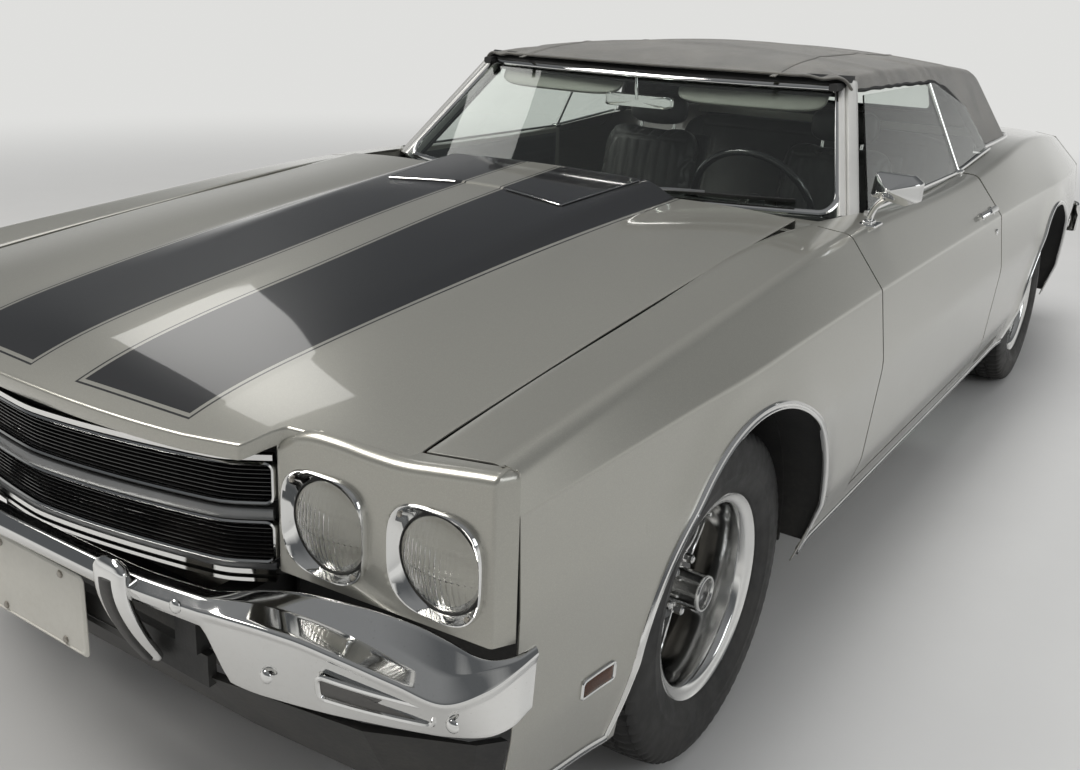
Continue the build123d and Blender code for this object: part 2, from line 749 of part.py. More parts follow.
with BuildPart() as rear_bumper:
    add(bumper_bar(REAR_BARS, solid_section, REAR_END_Y, -1))
    add(
        block(
            TAIL_LAMP_X0 - TAIL_LAMP_RIM,
            TAIL_LAMP_X1 + TAIL_LAMP_RIM,
            TAIL_LAMP_Y,
            REAR_END_Y + 10,
            TAIL_LAMP_Z0 - TAIL_LAMP_RIM,
            TAIL_LAMP_Z1 + TAIL_LAMP_RIM,
        ),
        mode=Mode.SUBTRACT,
    )
    mirror(about=Plane.YZ)

TAIL_FACE = [(812, 360), (838, 470), (852, 640), (838, 766), (726, 886), (636, 900)]

with BuildPart() as tail_panel:
    add(xz_prism(both(TAIL_FACE), TAIL_Y + SEAT_GAP, TAIL_Y + 14))
    add(block(-636, 636, TAIL_Y - 90, TAIL_Y + 100, 764, 1000), mode=Mode.SUBTRACT)
    add(block(-560, 560, TAIL_Y - 90, TAIL_Y + 100, 300, 560), mode=Mode.SUBTRACT)

with BuildPart() as rear_deck_panel:
    add(
        yz_prism(
            [
                (BACKLIGHT_LOW_Y - 45, 960),
                (BACKLIGHT_LOW_Y - 45, TOP_SILL_Z),
                (BACKLIGHT_LOW_Y + 27, TOP_SILL_Z),
                (BACKLIGHT_LOW_Y + 41, 984),
                (BACKLIGHT_LOW_Y + 47, 984),
                (BACKLIGHT_LOW_Y + 47, 960),
            ],
            -635.7,
            635.7,
        )
    )
    for x in (-570, 570):
        add(block(x - 10, x + 10, BACKLIGHT_LOW_Y + 35, DECK_AXIS_Y + 8, 962, DECK_AXIS_Z + 6))
        add(tube_x(HINGE_PIN_R - 1, 44, x, DECK_AXIS_Y, DECK_AXIS_Z))

with BuildPart() as deck_lid:
    add(
        yz_prism(
            [
                (DECK_START_Y, 1000),
                (REAR_END_Y - 604.5, 960),
                (REAR_END_Y - 124.5, 904),
                (REAR_END_Y - 96.5, 880),
                (REAR_END_Y - 96.5, 770),
                (REAR_END_Y - 120.5, 770),
                (REAR_END_Y - 120.5, 872),
                (REAR_END_Y - 604.5, 934),
                (DECK_START_Y, 974),
            ],
            -630,
            630,
        )
    )
    for x in (-570, 570):
        add(block(x - 12, x + 12, DECK_AXIS_Y - 8, DECK_AXIS_Y + 14, 960, 1010), mode=Mode.SUBTRACT)
        add(block(x - 34, x - 12, DECK_AXIS_Y - 5.4, DECK_AXIS_Y + 6, DECK_AXIS_Z - 8, DECK_AXIS_Z + 7))
        add(block(x + 12, x + 34, DECK_AXIS_Y - 5.4, DECK_AXIS_Y + 6, DECK_AXIS_Z - 8, DECK_AXIS_Z + 7))
        add(tube_x(HINGE_PIN_R - 1 + SEAT_GAP, 50, x, DECK_AXIS_Y, DECK_AXIS_Z), mode=Mode.SUBTRACT)

with BuildPart() as tail_lamps:
    lamp_y = TAIL_LAMP_Y + SEAT_GAP
    add(block(TAIL_LAMP_X0, TAIL_LAMP_X1, lamp_y, lamp_y + 7.7, TAIL_LAMP_Z0, TAIL_LAMP_Z1))
    mirror(about=Plane.YZ)

# Windshield, soft top and glass

with BuildPart() as windshield_frame:
    add(screen_band(930, 1258, 50, 16, 18))
    add(screen_band(944, 1240, 0, 60, 60), mode=Mode.SUBTRACT)
    add(screen_band(936, 1248, 8, 3.3, 2.3), mode=Mode.SUBTRACT)
    add(block(760, 1000, -1000, -400, 900, 961), mode=Mode.SUBTRACT)
    add(block(-1000, -760, -1000, -400, 900, 961), mode=Mode.SUBTRACT)

with BuildPart() as windshield_glass:
    add(screen_band(936.3, 1247.7, 7.5, 3, 2))

SIDE_OPENING = [
    (-900, 800),
    (-900, TOP_RAIL_Z),
    (395, TOP_RAIL_Z),
    (676, 1142),
    (766, 1000),
    (766, 800),
]
BACKLIGHT_MID_Y = (BACKLIGHT_LOW_Y + BACKLIGHT_HIGH_Y) / 2
BACKLIGHT_MID_Z = (BACKLIGHT_LOW_Z + BACKLIGHT_HIGH_Z) / 2
BACKLIGHT_DEG = degrees(atan2(BACKLIGHT_LOW_Y - BACKLIGHT_HIGH_Y, BACKLIGHT_HIGH_Z - BACKLIGHT_LOW_Z))
backlight_at = Pos(0, BACKLIGHT_MID_Y, BACKLIGHT_MID_Z) * Rot(BACKLIGHT_DEG, 0, 0)

with BuildPart() as soft_top:
    add(top_form(0))
    add(top_form(TOP_WALL), mode=Mode.SUBTRACT)
    add(block(-900, 900, TOP[0].y, BACKLIGHT_LOW_Y + 155, TOP_SILL_Z + SEAT_GAP, 1400), mode=Mode.INTERSECT)
    add(yz_prism(SIDE_OPENING, -1000, 1000), mode=Mode.SUBTRACT)
    add(screen_band(900, 1258 + SEAT_GAP, 50.3, 900, 18.3), mode=Mode.SUBTRACT)
    add(
        backlight_at * Box(860, 200, 210, mode=Mode.PRIVATE),
        mode=Mode.SUBTRACT,
    )

with BuildPart() as rear_window:
    add(backlight_at * Pos(0, -6, 0) * Box(859.4, 4, 209.4, mode=Mode.PRIVATE))

with BuildPart() as quarter_glass:
    add(glass_sheet(QUARTER_GLASS, 0, GLASS_WALL))
    mirror(about=Plane.YZ)

# Floor, firewall, wells

with BuildPart() as floor_pan:
    add(block(-699.7, 699.7, FIREWALL_Y + 12.3, RISER_1_Y, FLOOR_Z, FLOOR_Z + FLOOR_WALL))
    add(block(-699.7, 699.7, RISER_1_Y - 12, RISER_1_Y, FLOOR_Z, SEAT_FLOOR_Z + FLOOR_WALL))
    add(block(-595.7, 595.7, RISER_1_Y - 12, RISER_2_Y, SEAT_FLOOR_Z, SEAT_FLOOR_Z + FLOOR_WALL))
    add(block(-595.7, 595.7, RISER_2_Y, RISER_2_Y + 12, SEAT_FLOOR_Z, AXLE_FLOOR_Z + FLOOR_WALL))
    add(block(-595.7, 595.7, RISER_2_Y, RISER_3_Y + 12, AXLE_FLOOR_Z, AXLE_FLOOR_Z + FLOOR_WALL))
    add(block(-595.7, 595.7, RISER_3_Y, RISER_3_Y + 12, TRUNK_FLOOR_Z, AXLE_FLOOR_Z + FLOOR_WALL))
    add(block(-595.7, 595.7, RISER_3_Y + 12 + SEAT_GAP, 1710, TRUNK_FLOOR_Z, TRUNK_FLOOR_Z + FLOOR_WALL))
    add(block(-780, 780, 1700, TAIL_Y, TRUNK_FLOOR_Z, TRUNK_FLOOR_Z + FLOOR_WALL))
    add(block(-595.7, 595.7, BACKLIGHT_LOW_Y - 43, BACKLIGHT_LOW_Y - 31, AXLE_FLOOR_Z, 960 - SEAT_GAP))
    add(block(-TUNNEL_HALF, TUNNEL_HALF, FIREWALL_Y + 12.3, RISER_1_Y, FLOOR_Z, TUNNEL_TOP_Z))
    add(
        block(-TUNNEL_HALF + 12, TUNNEL_HALF - 12, FIREWALL_Y, RISER_1_Y + 1, 200, TUNNEL_TOP_Z - 12),
        mode=Mode.SUBTRACT,
    )

with BuildPart() as firewall:
    add(block(-HOOD_HALF, HOOD_HALF, FIREWALL_Y, FIREWALL_Y + 12, FLOOR_Z, 925))
    for x0, x1 in ((HOOD_HALF - 18, DOOR_INNER_X - 6), (-DOOR_INNER_X + 6, -HOOD_HALF + 18)):
        add(block(x0, x1, FIREWALL_Y, -690, FLOOR_Z + 50, LEDGE_Z - SEAT_GAP))
        add(block(x0, x1, FENDER_END_Y + SEAT_GAP, -690, LEDGE_Z - 1, 925))
    for z in (450, 800):
        add(block(DOOR_INNER_X - 10, 856, FIREWALL_Y, DOOR_START_Y - SEAT_GAP, z - 28, z + 28))
        add(block(-856, -DOOR_INNER_X + 10, FIREWALL_Y, DOOR_START_Y - SEAT_GAP, z - 28, z + 28))
    add(block(-TUNNEL_HALF - 1, TUNNEL_HALF + 1, -1000, -800, 200, 441), mode=Mode.SUBTRACT)
    for x in (-1, 1):
        add(tube_x(HINGE_EYE_R, HINGE_WALL, x * HINGE_BRACKET_X, HOOD_AXIS_Y, HOOD_AXIS_Z))
        bracket_x0 = x * HINGE_BRACKET_X - HINGE_WALL / 2
        bracket_x1 = x * HINGE_BRACKET_X + HINGE_WALL / 2
        add(block(bracket_x0, bracket_x1, HOOD_AXIS_Y - 6, HOOD_AXIS_Y + 6, 900, HOOD_AXIS_Z))
        add(block(bracket_x0, bracket_x1, HOOD_AXIS_Y - 6, FIREWALL_Y + 6, 900, HOOD_AXIS_Z - 14))
        add(tube_x(HINGE_PIN_R, 30, x * 645, HOOD_AXIS_Y, HOOD_AXIS_Z))

with BuildPart() as cowl_panel:
    add(
        yz_prism(
            [(-892, 925.3), (-892, 936), (-830, 929.7), (-690, 929.7), (-690, 925.3)],
            -HOOD_HALF,
            HOOD_HALF,
        )
    )

WELL_R0 = 404.0
WELL_R1 = 412.0
WELL_OUT_X = 850.0
APRON_X = 430.0 + SEAT_GAP

WELLS = ((FRONT_AXLE_Y, APRON_X, 520.0), (REAR_AXLE_Y, 596.0, 400.0))
WELL_PLATE = 8.0

with BuildPart() as well_plates:
    for y, x0, open_z in WELLS:
        add(tube_x(WELL_R1, WELL_PLATE, x0 + WELL_PLATE / 2, y, ARCH_Z))
        add(block(x0 - 1, x0 + 20, y - 500, y + 500, -100, ARCH_Z - 60), mode=Mode.SUBTRACT)
        add(block(x0 - 1, x0 + 20, y - 190, y + 190, -100, open_z), mode=Mode.SUBTRACT)
    apron_out_x = APRON_X + WELL_PLATE
    arch_front_y = FRONT_AXLE_Y - WELL_R0
    add(block(APRON_X, apron_out_x, FENDER_START_Y + 20, arch_front_y, 380, LEDGE_Z - SEAT_GAP))
    add(block(APRON_X, APRON_X + WELL_PLATE, -1990, -1158, 700, LEDGE_Z - SEAT_GAP))
    add(block(APRON_X, APRON_X + WELL_PLATE, -1165, -1000, 380, LEDGE_Z - SEAT_GAP))

with BuildPart() as wheel_wells:
    for y, x0, open_z in WELLS:
        start = x0 + WELL_PLATE + SEAT_GAP
        add(tube_x(WELL_R1, WELL_OUT_X - start, (WELL_OUT_X + start) / 2, y, ARCH_Z))
        add(tube_x(WELL_R0, 900 - start + 1, (900 + start - 1) / 2, y, ARCH_Z), mode=Mode.SUBTRACT)
        add(block(start - 1, 1000, y - 500, y + 500, -100, ARCH_Z - 60), mode=Mode.SUBTRACT)
    add(well_plates.part)
    ledge_x = apron_out_x + SEAT_GAP
    add(block(ledge_x, 730, FENDER_START_Y + 138, -1000, LEDGE_Z - 8, LEDGE_Z - SEAT_GAP))
    mirror(about=Plane.YZ)

with BuildPart() as chassis_frame:
    add(block(610, 692, -900, 800, 190, FLOOR_Z - SEAT_GAP))
    add(block(350, 692, -1020, -900, 190, FLOOR_Z - SEAT_GAP))
    add(block(350, 430, NOSE_Y + 264.5, -906, 262, 380))
    add(block(350, 430, -1020, -906, 190, 380))
    add(block(0, 430, -1690, -1460, 200, 290))
    add(block(380, 430, -1640, -1510, 200, 480))
    add(block(150, 240, -1610, -1540, 280, 340 - SEAT_GAP))
    add(block(380, 545, -1625, -1525, 440, 452))
    add(block(0, 430, NOSE_Y + 264.5, NOSE_Y + 324.5, 270, 370))
    add(block(365, 415, NOSE_Y + 264.5, NOSE_Y + 304.5 - SEAT_GAP, 300, 540))
    add(block(365, 415, RAIL_BACK_Y + RAIL_BACK_WALL + SEAT_GAP, NOSE_Y + 301.5, 480, 540))
    add(block(0, 692, -330, -270, 253 + SEAT_GAP, 284))
    add(block(450, 692, 700, 800, 200, FLOOR_Z - SEAT_GAP))
    add(block(450, 520, 700, 1090, 250, 390))
    add(block(450, 520, 1030, 1090, 250, 530))
    add(block(450, 520, 1030, 1600, 450, 530))
    add(block(450, 520, 1540, 1600, 340, 530))
    add(block(450, 520, 1600 + SEAT_GAP, REAR_END_Y - 124.5, 340, 425))
    add(block(0, 520, REAR_END_Y - 214.5, REAR_END_Y - 164.5, 345, 420))
    add(block(450, 520, REAR_END_Y - 164.5, REAR_END_Y - 64.5, 345, 425))
    add(block(440, 490, REAR_END_Y - 89.5, REAR_END_Y - 55 - SEAT_GAP, 345, 540))
    mirror(about=Plane.YZ)

KINGPIN_R = 25.0
HUB_DISC_R = 128.0
HUB_DISC_WALL = 24.0
ARM_PLAN = [(430 + SEAT_GAP, -150), (KINGPIN_X - 50, -35), (KINGPIN_X + 12, -15)]
arm_outline = ARM_PLAN + [(x, -y) for x, y in reversed(ARM_PLAN)]
KNUCKLE_Z0 = 226.0
KNUCKLE_Z1 = 455.0
SPRING_TOP_Z = 440.0

with BuildPart() as suspension:
    add(Pos(0, FRONT_AXLE_Y, 0) * xy_prism(arm_outline, KNUCKLE_Z0 - 20, KNUCKLE_Z0 - SEAT_GAP))
    add(Pos(0, FRONT_AXLE_Y, 0) * xy_prism(arm_outline, KNUCKLE_Z1 + SEAT_GAP, KNUCKLE_Z1 + 14))
    add(
        Pos(490, FRONT_AXLE_Y, (KNUCKLE_Z0 + SPRING_TOP_Z) / 2)
        * Cylinder(45, SPRING_TOP_Z - KNUCKLE_Z0 - 2 * SEAT_GAP, mode=Mode.PRIVATE)
    )
    add(Pos(485, REAR_AXLE_Y, 414) * Cylinder(50, 450 - 378 - 2 * SEAT_GAP, mode=Mode.PRIVATE))
    add(yz_prism([(800.3, 215), (1224, 300), (1224, 336), (800.3, 255)], 536, 576))
    mirror(about=Plane.YZ)

with BuildPart() as rear_axle:
    add(tube_x(40, 2 * 665, 0, REAR_AXLE_Y, AXLE_Z))
    add(block(536, 576, 1224 + SEAT_GAP, 1250, 304, 336))
    add(block(-576, -536, 1224 + SEAT_GAP, 1250, 304, 336))
    add(tube_x(110, 200, 0, REAR_AXLE_Y, AXLE_Z))
    for x in (-1, 1):
        add(tube_x(128, 70, x * 695, REAR_AXLE_Y, AXLE_Z))
        add(tube_x(60, 763.7 - 700, x * (763.7 + 700) / 2, REAR_AXLE_Y, AXLE_Z))

with BuildPart() as engine_block:
    add(block(-250, 250, -1760, -1060, 340, 820))

with BuildPart() as driveline:
    add(block(-120, 120, -1059.7, -500, 240, 380))
    add(tube_y(36, 1160.2 + 500, 0, (1160.2 - 500) / 2, 325))

TAILPIPE_END_Y = REAR_END_Y - 64.5

with BuildPart() as exhaust:
    for x in (-1, 1):
        add(tube_y(28, 1600, x * 250, -160, 225))
        add(block(x * 250 - 90, x * 250 + 90, 610, 1080, 180, 265))
        add(tube_y(26, TAILPIPE_END_Y - 1070, x * 400, (TAILPIPE_END_Y + 1070) / 2, 255))
        add(block(x * 338 - 88, x * 338 + 88, 1060, 1110, 229, 265))
        add(block(min(x * 330, x * 449.7), max(x * 330, x * 449.7), 740, 760, 238, 256))
        hanger_y = TAILPIPE_END_Y - 440
        add(block(min(x * 400, x * 449.7), max(x * 400, x * 449.7), hanger_y, hanger_y + 20, 250, 362))

with BuildPart() as fuel_tank:
    add(rounded(-390, 390, REAR_END_Y - 824.5, REAR_END_Y - 244.5, 290, TRUNK_FLOOR_Z - SEAT_GAP, 30))

# Cabin

with BuildPart() as dashboard:
    add(
        yz_prism(
            [(-740, 760), (-740, 900), (-700, 925), (-600, 925), (-560, 900), (-590, 740), (-640, 700)],
            -697.7,
            697.7,
        )
    )
    add(
        Pos(WHEEL_X, WHEEL_Y, WHEEL_Z)
        * Rot(90 + COLUMN_DEG, 0, 0)
        * Pos(0, 0, 40 + 170)
        * Cylinder(32, 340, mode=Mode.PRIVATE)
    )

GRIP_RING_R = 188.0
GRIP_R = 13.0


def grip_at_origin():
    """The steering wheel's rim about the Z axis, eight-sided in section."""
    with BuildPart(mode=Mode.PRIVATE) as grip:
        with BuildSketch(Plane.XZ):
            with Locations((GRIP_RING_R, 0)):
                RegularPolygon(GRIP_R, 8)
        revolve(axis=Axis.Z)
    return grip.part


grip_form = grip_at_origin()

with BuildPart() as steering_wheel:
    add(Pos(WHEEL_X, WHEEL_Y, WHEEL_Z) * Rot(90 + COLUMN_DEG, 0, 0) * grip_form)
    for turn in (0, 180, 270):
        add(
            Pos(WHEEL_X, WHEEL_Y, WHEEL_Z)
            * Rot(90 + COLUMN_DEG, 0, 0)
            * Rot(0, 0, turn)
            * Pos(100, 0, 6)
            * Box(170, 30, 8, mode=Mode.PRIVATE)
        )
    add(
        Pos(WHEEL_X, WHEEL_Y, WHEEL_Z)
        * Rot(90 + COLUMN_DEG, 0, 0)
        * Pos(0, 0, 16)
        * Cylinder(46, 47.4, mode=Mode.PRIVATE)
    )

with BuildPart() as console:
    add(rounded(-95, 95, -480, 160, TUNNEL_TOP_Z + SEAT_GAP, 520, 12))

with BuildPart() as seats_front:
    for x in (-WHEEL_X, WHEEL_X):
        add(block(x - 190, x + 190, -190, 200, FLOOR_Z + FLOOR_WALL + SEAT_GAP, 425))
        add(rounded(x - 245, x + 245, -240, 290, 415, 550, 40))
        add(Pos(x, 330, 780) * Rot(-14, 0, 0) * rounded(-235, 235, -65, 65, -290, 250, 45))
        add(Pos(x, 400, 1060) * Rot(-10, 0, 0) * rounded(-130, 130, -45, 45, -80, 70, 30))

with BuildPart() as seat_rear:
    add(rounded(-585, 585, 560, 1000, SEAT_FLOOR_Z + FLOOR_WALL + SEAT_GAP, 565, 35))
    add(Pos(0, 1040, 743.9) * Rot(-14, 0, 0) * rounded(-585, 585, -60, 60, -185, 205, 40))

with BuildPart() as interior_mirror:
    add(rounded(-110, 110, -425, -410, 1140, 1190, 6))
    add(block(-12, 12, -440, -410, 1165, SCREEN_TOP_Z - SEAT_GAP))

with BuildPart() as door_mirror:
    add(rounded(822, 946, -755, -715, 1005, 1085, 12))
    add(block(815, 837, -745, -725, 900, 1015))
    add(door_left.part, mode=Mode.SUBTRACT)

# Steering knuckles and wheels

with BuildPart() as knuckle_left:
    add(
        Pos(KINGPIN_X, FRONT_AXLE_Y, (KNUCKLE_Z0 + KNUCKLE_Z1) / 2)
        * Cylinder(KINGPIN_R, KNUCKLE_Z1 - KNUCKLE_Z0, mode=Mode.PRIVATE)
    )
    add(tube_x(HUB_DISC_R, HUB_DISC_WALL, KINGPIN_X + 37, FRONT_AXLE_Y, AXLE_Z))
    add(tube_x(60, 763.7 - KINGPIN_X, (763.7 + KINGPIN_X) / 2, FRONT_AXLE_Y, AXLE_Z))

with BuildPart() as knuckle_right:
    add(mirrored(knuckle_left.part))


def rim_at_origin():
    """A five-spoke wheel about the X axis with its outer face towards +X."""
    half = RIM_WIDTH / 2
    profile = [
        (-half, RIM_BEAD_R - 8),
        (-half, RIM_LIP_R),
        (-half + RIM_LIP_WALL, RIM_LIP_R),
        (-half + RIM_LIP_WALL, RIM_BEAD_R),
        (-half + 60, RIM_BARREL_R),
        (half - 60, RIM_BARREL_R),
        (half - RIM_LIP_WALL, RIM_BEAD_R),
        (half - RIM_LIP_WALL, RIM_LIP_R),
        (half, RIM_LIP_R),
        (half, RIM_BEAD_R - 8),
        (half - 60, RIM_BARREL_R - RIM_BARREL_WALL),
        (-half + 60, RIM_BARREL_R - RIM_BARREL_WALL),
    ]
    with BuildPart(mode=Mode.PRIVATE) as rim:
        with BuildSketch(Plane.XY):
            with BuildLine():
                Polyline(*profile, close=True)
            make_face()
        revolve(axis=Axis.X)
        with BuildSketch(Plane.YZ.offset(DISC_X - 18)):
            Circle(HUB_R)
            for turn in range(SPOKE_COUNT):
                with Locations(Rot(0, 0, 90 + 360 / SPOKE_COUNT * turn) * Pos(119, 0)):
                    Rectangle(110, 44)
        extrude(amount=32)
        with BuildSketch(Plane.YZ.offset(DISC_X)):
            Circle(CAP_R)
        extrude(amount=CAP_LENGTH)
    return rim.part


def tyre_at_origin():
    """A tyre about the X axis that seats over the rim."""
    half = TYRE_WIDTH / 2
    seat = RIM_WIDTH / 2 - RIM_LIP_WALL - SEAT_GAP
    profile = [
        (-seat, RIM_BEAD_R + SEAT_GAP),
        (-seat, RIM_LIP_R + 4),
        (-half, 268),
        (-half + 16, 328),
        (-half + 30, TYRE_R),
        (half - 30, TYRE_R),
        (half - 16, 328),
        (half, 268),
        (seat, RIM_LIP_R + 4),
        (seat, RIM_BEAD_R + SEAT_GAP),
    ]
    with BuildPart(mode=Mode.PRIVATE) as tyre:
        with BuildSketch(Plane.XY):
            with BuildLine():
                Polyline(*profile, close=True)
            make_face()
        revolve(axis=Axis.X)
    return tyre.part


rim_form = rim_at_origin()
tyre_form = tyre_at_origin()

with BuildPart() as rim_front_left:
    add(Pos(TRACK_HALF, FRONT_AXLE_Y, AXLE_Z) * rim_form)

with BuildPart() as tyre_front_left:
    add(Pos(TRACK_HALF, FRONT_AXLE_Y, AXLE_Z) * tyre_form)

with BuildPart() as rim_front_right:
    add(Pos(-TRACK_HALF, FRONT_AXLE_Y, AXLE_Z) * Rot(0, 0, 180) * rim_form)

with BuildPart() as tyre_front_right:
    add(Pos(-TRACK_HALF, FRONT_AXLE_Y, AXLE_Z) * Rot(0, 0, 180) * tyre_form)

with BuildPart() as rim_rear_left:
    add(Pos(TRACK_HALF, REAR_AXLE_Y, AXLE_Z) * rim_form)

with BuildPart() as tyre_rear_left:
    add(Pos(TRACK_HALF, REAR_AXLE_Y, AXLE_Z) * tyre_form)

with BuildPart() as rim_rear_right:
    add(Pos(-TRACK_HALF, REAR_AXLE_Y, AXLE_Z) * Rot(0, 0, 180) * rim_form)

with BuildPart() as tyre_rear_right:
    add(Pos(-TRACK_HALF, REAR_AXLE_Y, AXLE_Z) * Rot(0, 0, 180) * tyre_form)

os.makedirs("parts", exist_ok=True)

chassis_frame.part.label = "chassis_frame"
export_step(chassis_frame.part, "parts/chassis_frame.step")
suspension.part.label = "suspension"
export_step(suspension.part, "parts/suspension.step")
rear_axle.part.label = "rear_axle"
export_step(rear_axle.part, "parts/rear_axle.step")
engine_block.part.label = "engine_block"
export_step(engine_block.part, "parts/engine_block.step")
driveline.part.label = "driveline"
export_step(driveline.part, "parts/driveline.step")
exhaust.part.label = "exhaust"
export_step(exhaust.part, "parts/exhaust.step")
fuel_tank.part.label = "fuel_tank"
export_step(fuel_tank.part, "parts/fuel_tank.step")
floor_pan.part.label = "floor_pan"
export_step(floor_pan.part, "parts/floor_pan.step")
firewall.part.label = "firewall"
export_step(firewall.part, "parts/firewall.step")
cowl_panel.part.label = "cowl_panel"
export_step(cowl_panel.part, "parts/cowl_panel.step")
wheel_wells.part.label = "wheel_wells"
export_step(wheel_wells.part, "parts/wheel_wells.step")
radiator.part.label = "radiator"
export_step(radiator.part, "parts/radiator.step")
rockers.part.label = "rockers"
export_step(rockers.part, "parts/rockers.step")
fenders.part.label = "fenders"
export_step(fenders.part, "parts/fenders.step")
bezels.part.label = "bezels"
export_step(bezels.part, "parts/bezels.step")
headlamps.part.label = "headlamps"
export_step(headlamps.part, "parts/headlamps.step")
grille.part.label = "grille"
export_step(grille.part, "parts/grille.step")
front_bumper.part.label = "front_bumper"
export_step(front_bumper.part, "parts/front_bumper.step")
front_valance.part.label = "front_valance"
export_step(front_valance.part, "parts/front_valance.step")
plates.part.label = "plates"
export_step(plates.part, "parts/plates.step")
quarters.part.label = "quarters"
export_step(quarters.part, "parts/quarters.step")
rear_deck_panel.part.label = "rear_deck_panel"
export_step(rear_deck_panel.part, "parts/rear_deck_panel.step")
tail_panel.part.label = "tail_panel"
export_step(tail_panel.part, "parts/tail_panel.step")
rear_bumper.part.label = "rear_bumper"
export_step(rear_bumper.part, "parts/rear_bumper.step")
tail_lamps.part.label = "tail_lamps"
export_step(tail_lamps.part, "parts/tail_lamps.step")
windshield_frame.part.label = "windshield_frame"
export_step(windshield_frame.part, "parts/windshield_frame.step")
windshield_glass.part.label = "windshield_glass"
export_step(windshield_glass.part, "parts/windshield_glass.step")
soft_top.part.label = "soft_top"
export_step(soft_top.part, "parts/soft_top.step")
rear_window.part.label = "rear_window"
export_step(rear_window.part, "parts/rear_window.step")
quarter_glass.part.label = "quarter_glass"
export_step(quarter_glass.part, "parts/quarter_glass.step")
dashboard.part.label = "dashboard"
export_step(dashboard.part, "parts/dashboard.step")
interior_mirror.part.label = "interior_mirror"
export_step(interior_mirror.part, "parts/interior_mirror.step")
console.part.label = "console"
export_step(console.part, "parts/console.step")
seats_front.part.label = "seats_front"
export_step(seats_front.part, "parts/seats_front.step")
seat_rear.part.label = "seat_rear"
export_step(seat_rear.part, "parts/seat_rear.step")
door_left.part.label = "door_left"
export_step(door_left.part, "parts/door_left.step")
door_right.part.label = "door_right"
export_step(door_right.part, "parts/door_right.step")
door_glass_left.part.label = "door_glass_left"
export_step(door_glass_left.part, "parts/door_glass_left.step")
door_glass_right.part.label = "door_glass_right"
export_step(door_glass_right.part, "parts/door_glass_right.step")
door_mirror.part.label = "door_mirror"
export_step(door_mirror.part, "parts/door_mirror.step")
hood.part.label = "hood"
export_step(hood.part, "parts/hood.step")
deck_lid.part.label = "deck_lid"
export_step(deck_lid.part, "parts/deck_lid.step")
steering_wheel.part.label = "steering_wheel"
export_step(steering_wheel.part, "parts/steering_wheel.step")
knuckle_left.part.label = "knuckle_left"
export_step(knuckle_left.part, "parts/knuckle_left.step")
knuckle_right.part.label = "knuckle_right"
export_step(knuckle_right.part, "parts/knuckle_right.step")
rim_front_left.part.label = "rim_front_left"
export_step(rim_front_left.part, "parts/rim_front_left.step")
rim_front_right.part.label = "rim_front_right"
export_step(rim_front_right.part, "parts/rim_front_right.step")
rim_rear_left.part.label = "rim_rear_left"
export_step(rim_rear_left.part, "parts/rim_rear_left.step")
rim_rear_right.part.label = "rim_rear_right"
export_step(rim_rear_right.part, "parts/rim_rear_right.step")
tyre_front_left.part.label = "tyre_front_left"
export_step(tyre_front_left.part, "parts/tyre_front_left.step")
tyre_front_right.part.label = "tyre_front_right"
export_step(tyre_front_right.part, "parts/tyre_front_right.step")
tyre_rear_left.part.label = "tyre_rear_left"
export_step(tyre_rear_left.part, "parts/tyre_rear_left.step")
tyre_rear_right.part.label = "tyre_rear_right"
export_step(tyre_rear_right.part, "parts/tyre_rear_right.step")
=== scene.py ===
"""A muscle car with its soft top up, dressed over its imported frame: paint, brightwork, glass, cloth and
cabin.

Shapes are worked out in millimetres as arrays and put into meshes in metres. The front of the car looks
towards -Y, the driver's side is +X and the floor is at z = 0.
"""

import json
import math

import bmesh
import bpy
import numpy as np
from bpy.props import FloatProperty, FloatVectorProperty, IntProperty, PointerProperty
from mathutils import Matrix, Vector


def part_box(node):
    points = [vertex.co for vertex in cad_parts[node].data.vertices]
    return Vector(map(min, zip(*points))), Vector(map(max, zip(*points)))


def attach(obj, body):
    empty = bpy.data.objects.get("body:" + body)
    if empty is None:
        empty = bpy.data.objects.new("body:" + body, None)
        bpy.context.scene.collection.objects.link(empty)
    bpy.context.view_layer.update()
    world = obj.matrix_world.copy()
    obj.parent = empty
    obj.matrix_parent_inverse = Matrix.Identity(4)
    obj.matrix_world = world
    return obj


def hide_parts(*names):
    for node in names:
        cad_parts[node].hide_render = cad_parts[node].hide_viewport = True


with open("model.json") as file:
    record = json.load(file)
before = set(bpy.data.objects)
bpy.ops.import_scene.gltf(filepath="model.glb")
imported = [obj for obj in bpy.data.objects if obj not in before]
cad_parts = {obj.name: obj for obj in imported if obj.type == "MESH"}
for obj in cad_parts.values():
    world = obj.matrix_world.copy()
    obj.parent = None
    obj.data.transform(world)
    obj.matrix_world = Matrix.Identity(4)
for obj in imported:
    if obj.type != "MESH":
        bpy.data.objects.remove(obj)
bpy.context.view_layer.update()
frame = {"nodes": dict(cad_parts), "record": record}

bl_info = {
    "name": "Muscle car dresser",
    "version": (1, 0, 0),
    "blender": (4, 5, 0),
    "location": "View3D > Sidebar > Muscle car",
    "description": "Dresses the framed car with its panels, brightwork, glass, cloth, wheels and cabin",
    "category": "Object",
}

MM = 0.001
PI = math.pi

# Sizes shared with the framed model, in millimetres
FRONT_AXLE_Y = -1574.5
REAR_AXLE_Y = 1270.5
TRACK_HALF = 760.0
AXLE_Z = 338.0
ARCH_R = 396.0
ARCH_Z = 344.0
FENDER_START_Y = -2268.0
FENDER_END_Y = -887.0
DOOR_START_Y = -881.0
DOOR_BOTTOM_Z = 338.0
HINGE_X = 957.0
DOOR_SWEEP = 1214.0
TAIL_Y = 2392.0
HOOD_HALF = 716.0
HOOD_REAR_Y = -912.0
LAMPS = ((778.0, 700.0), (580.0, 700.0))

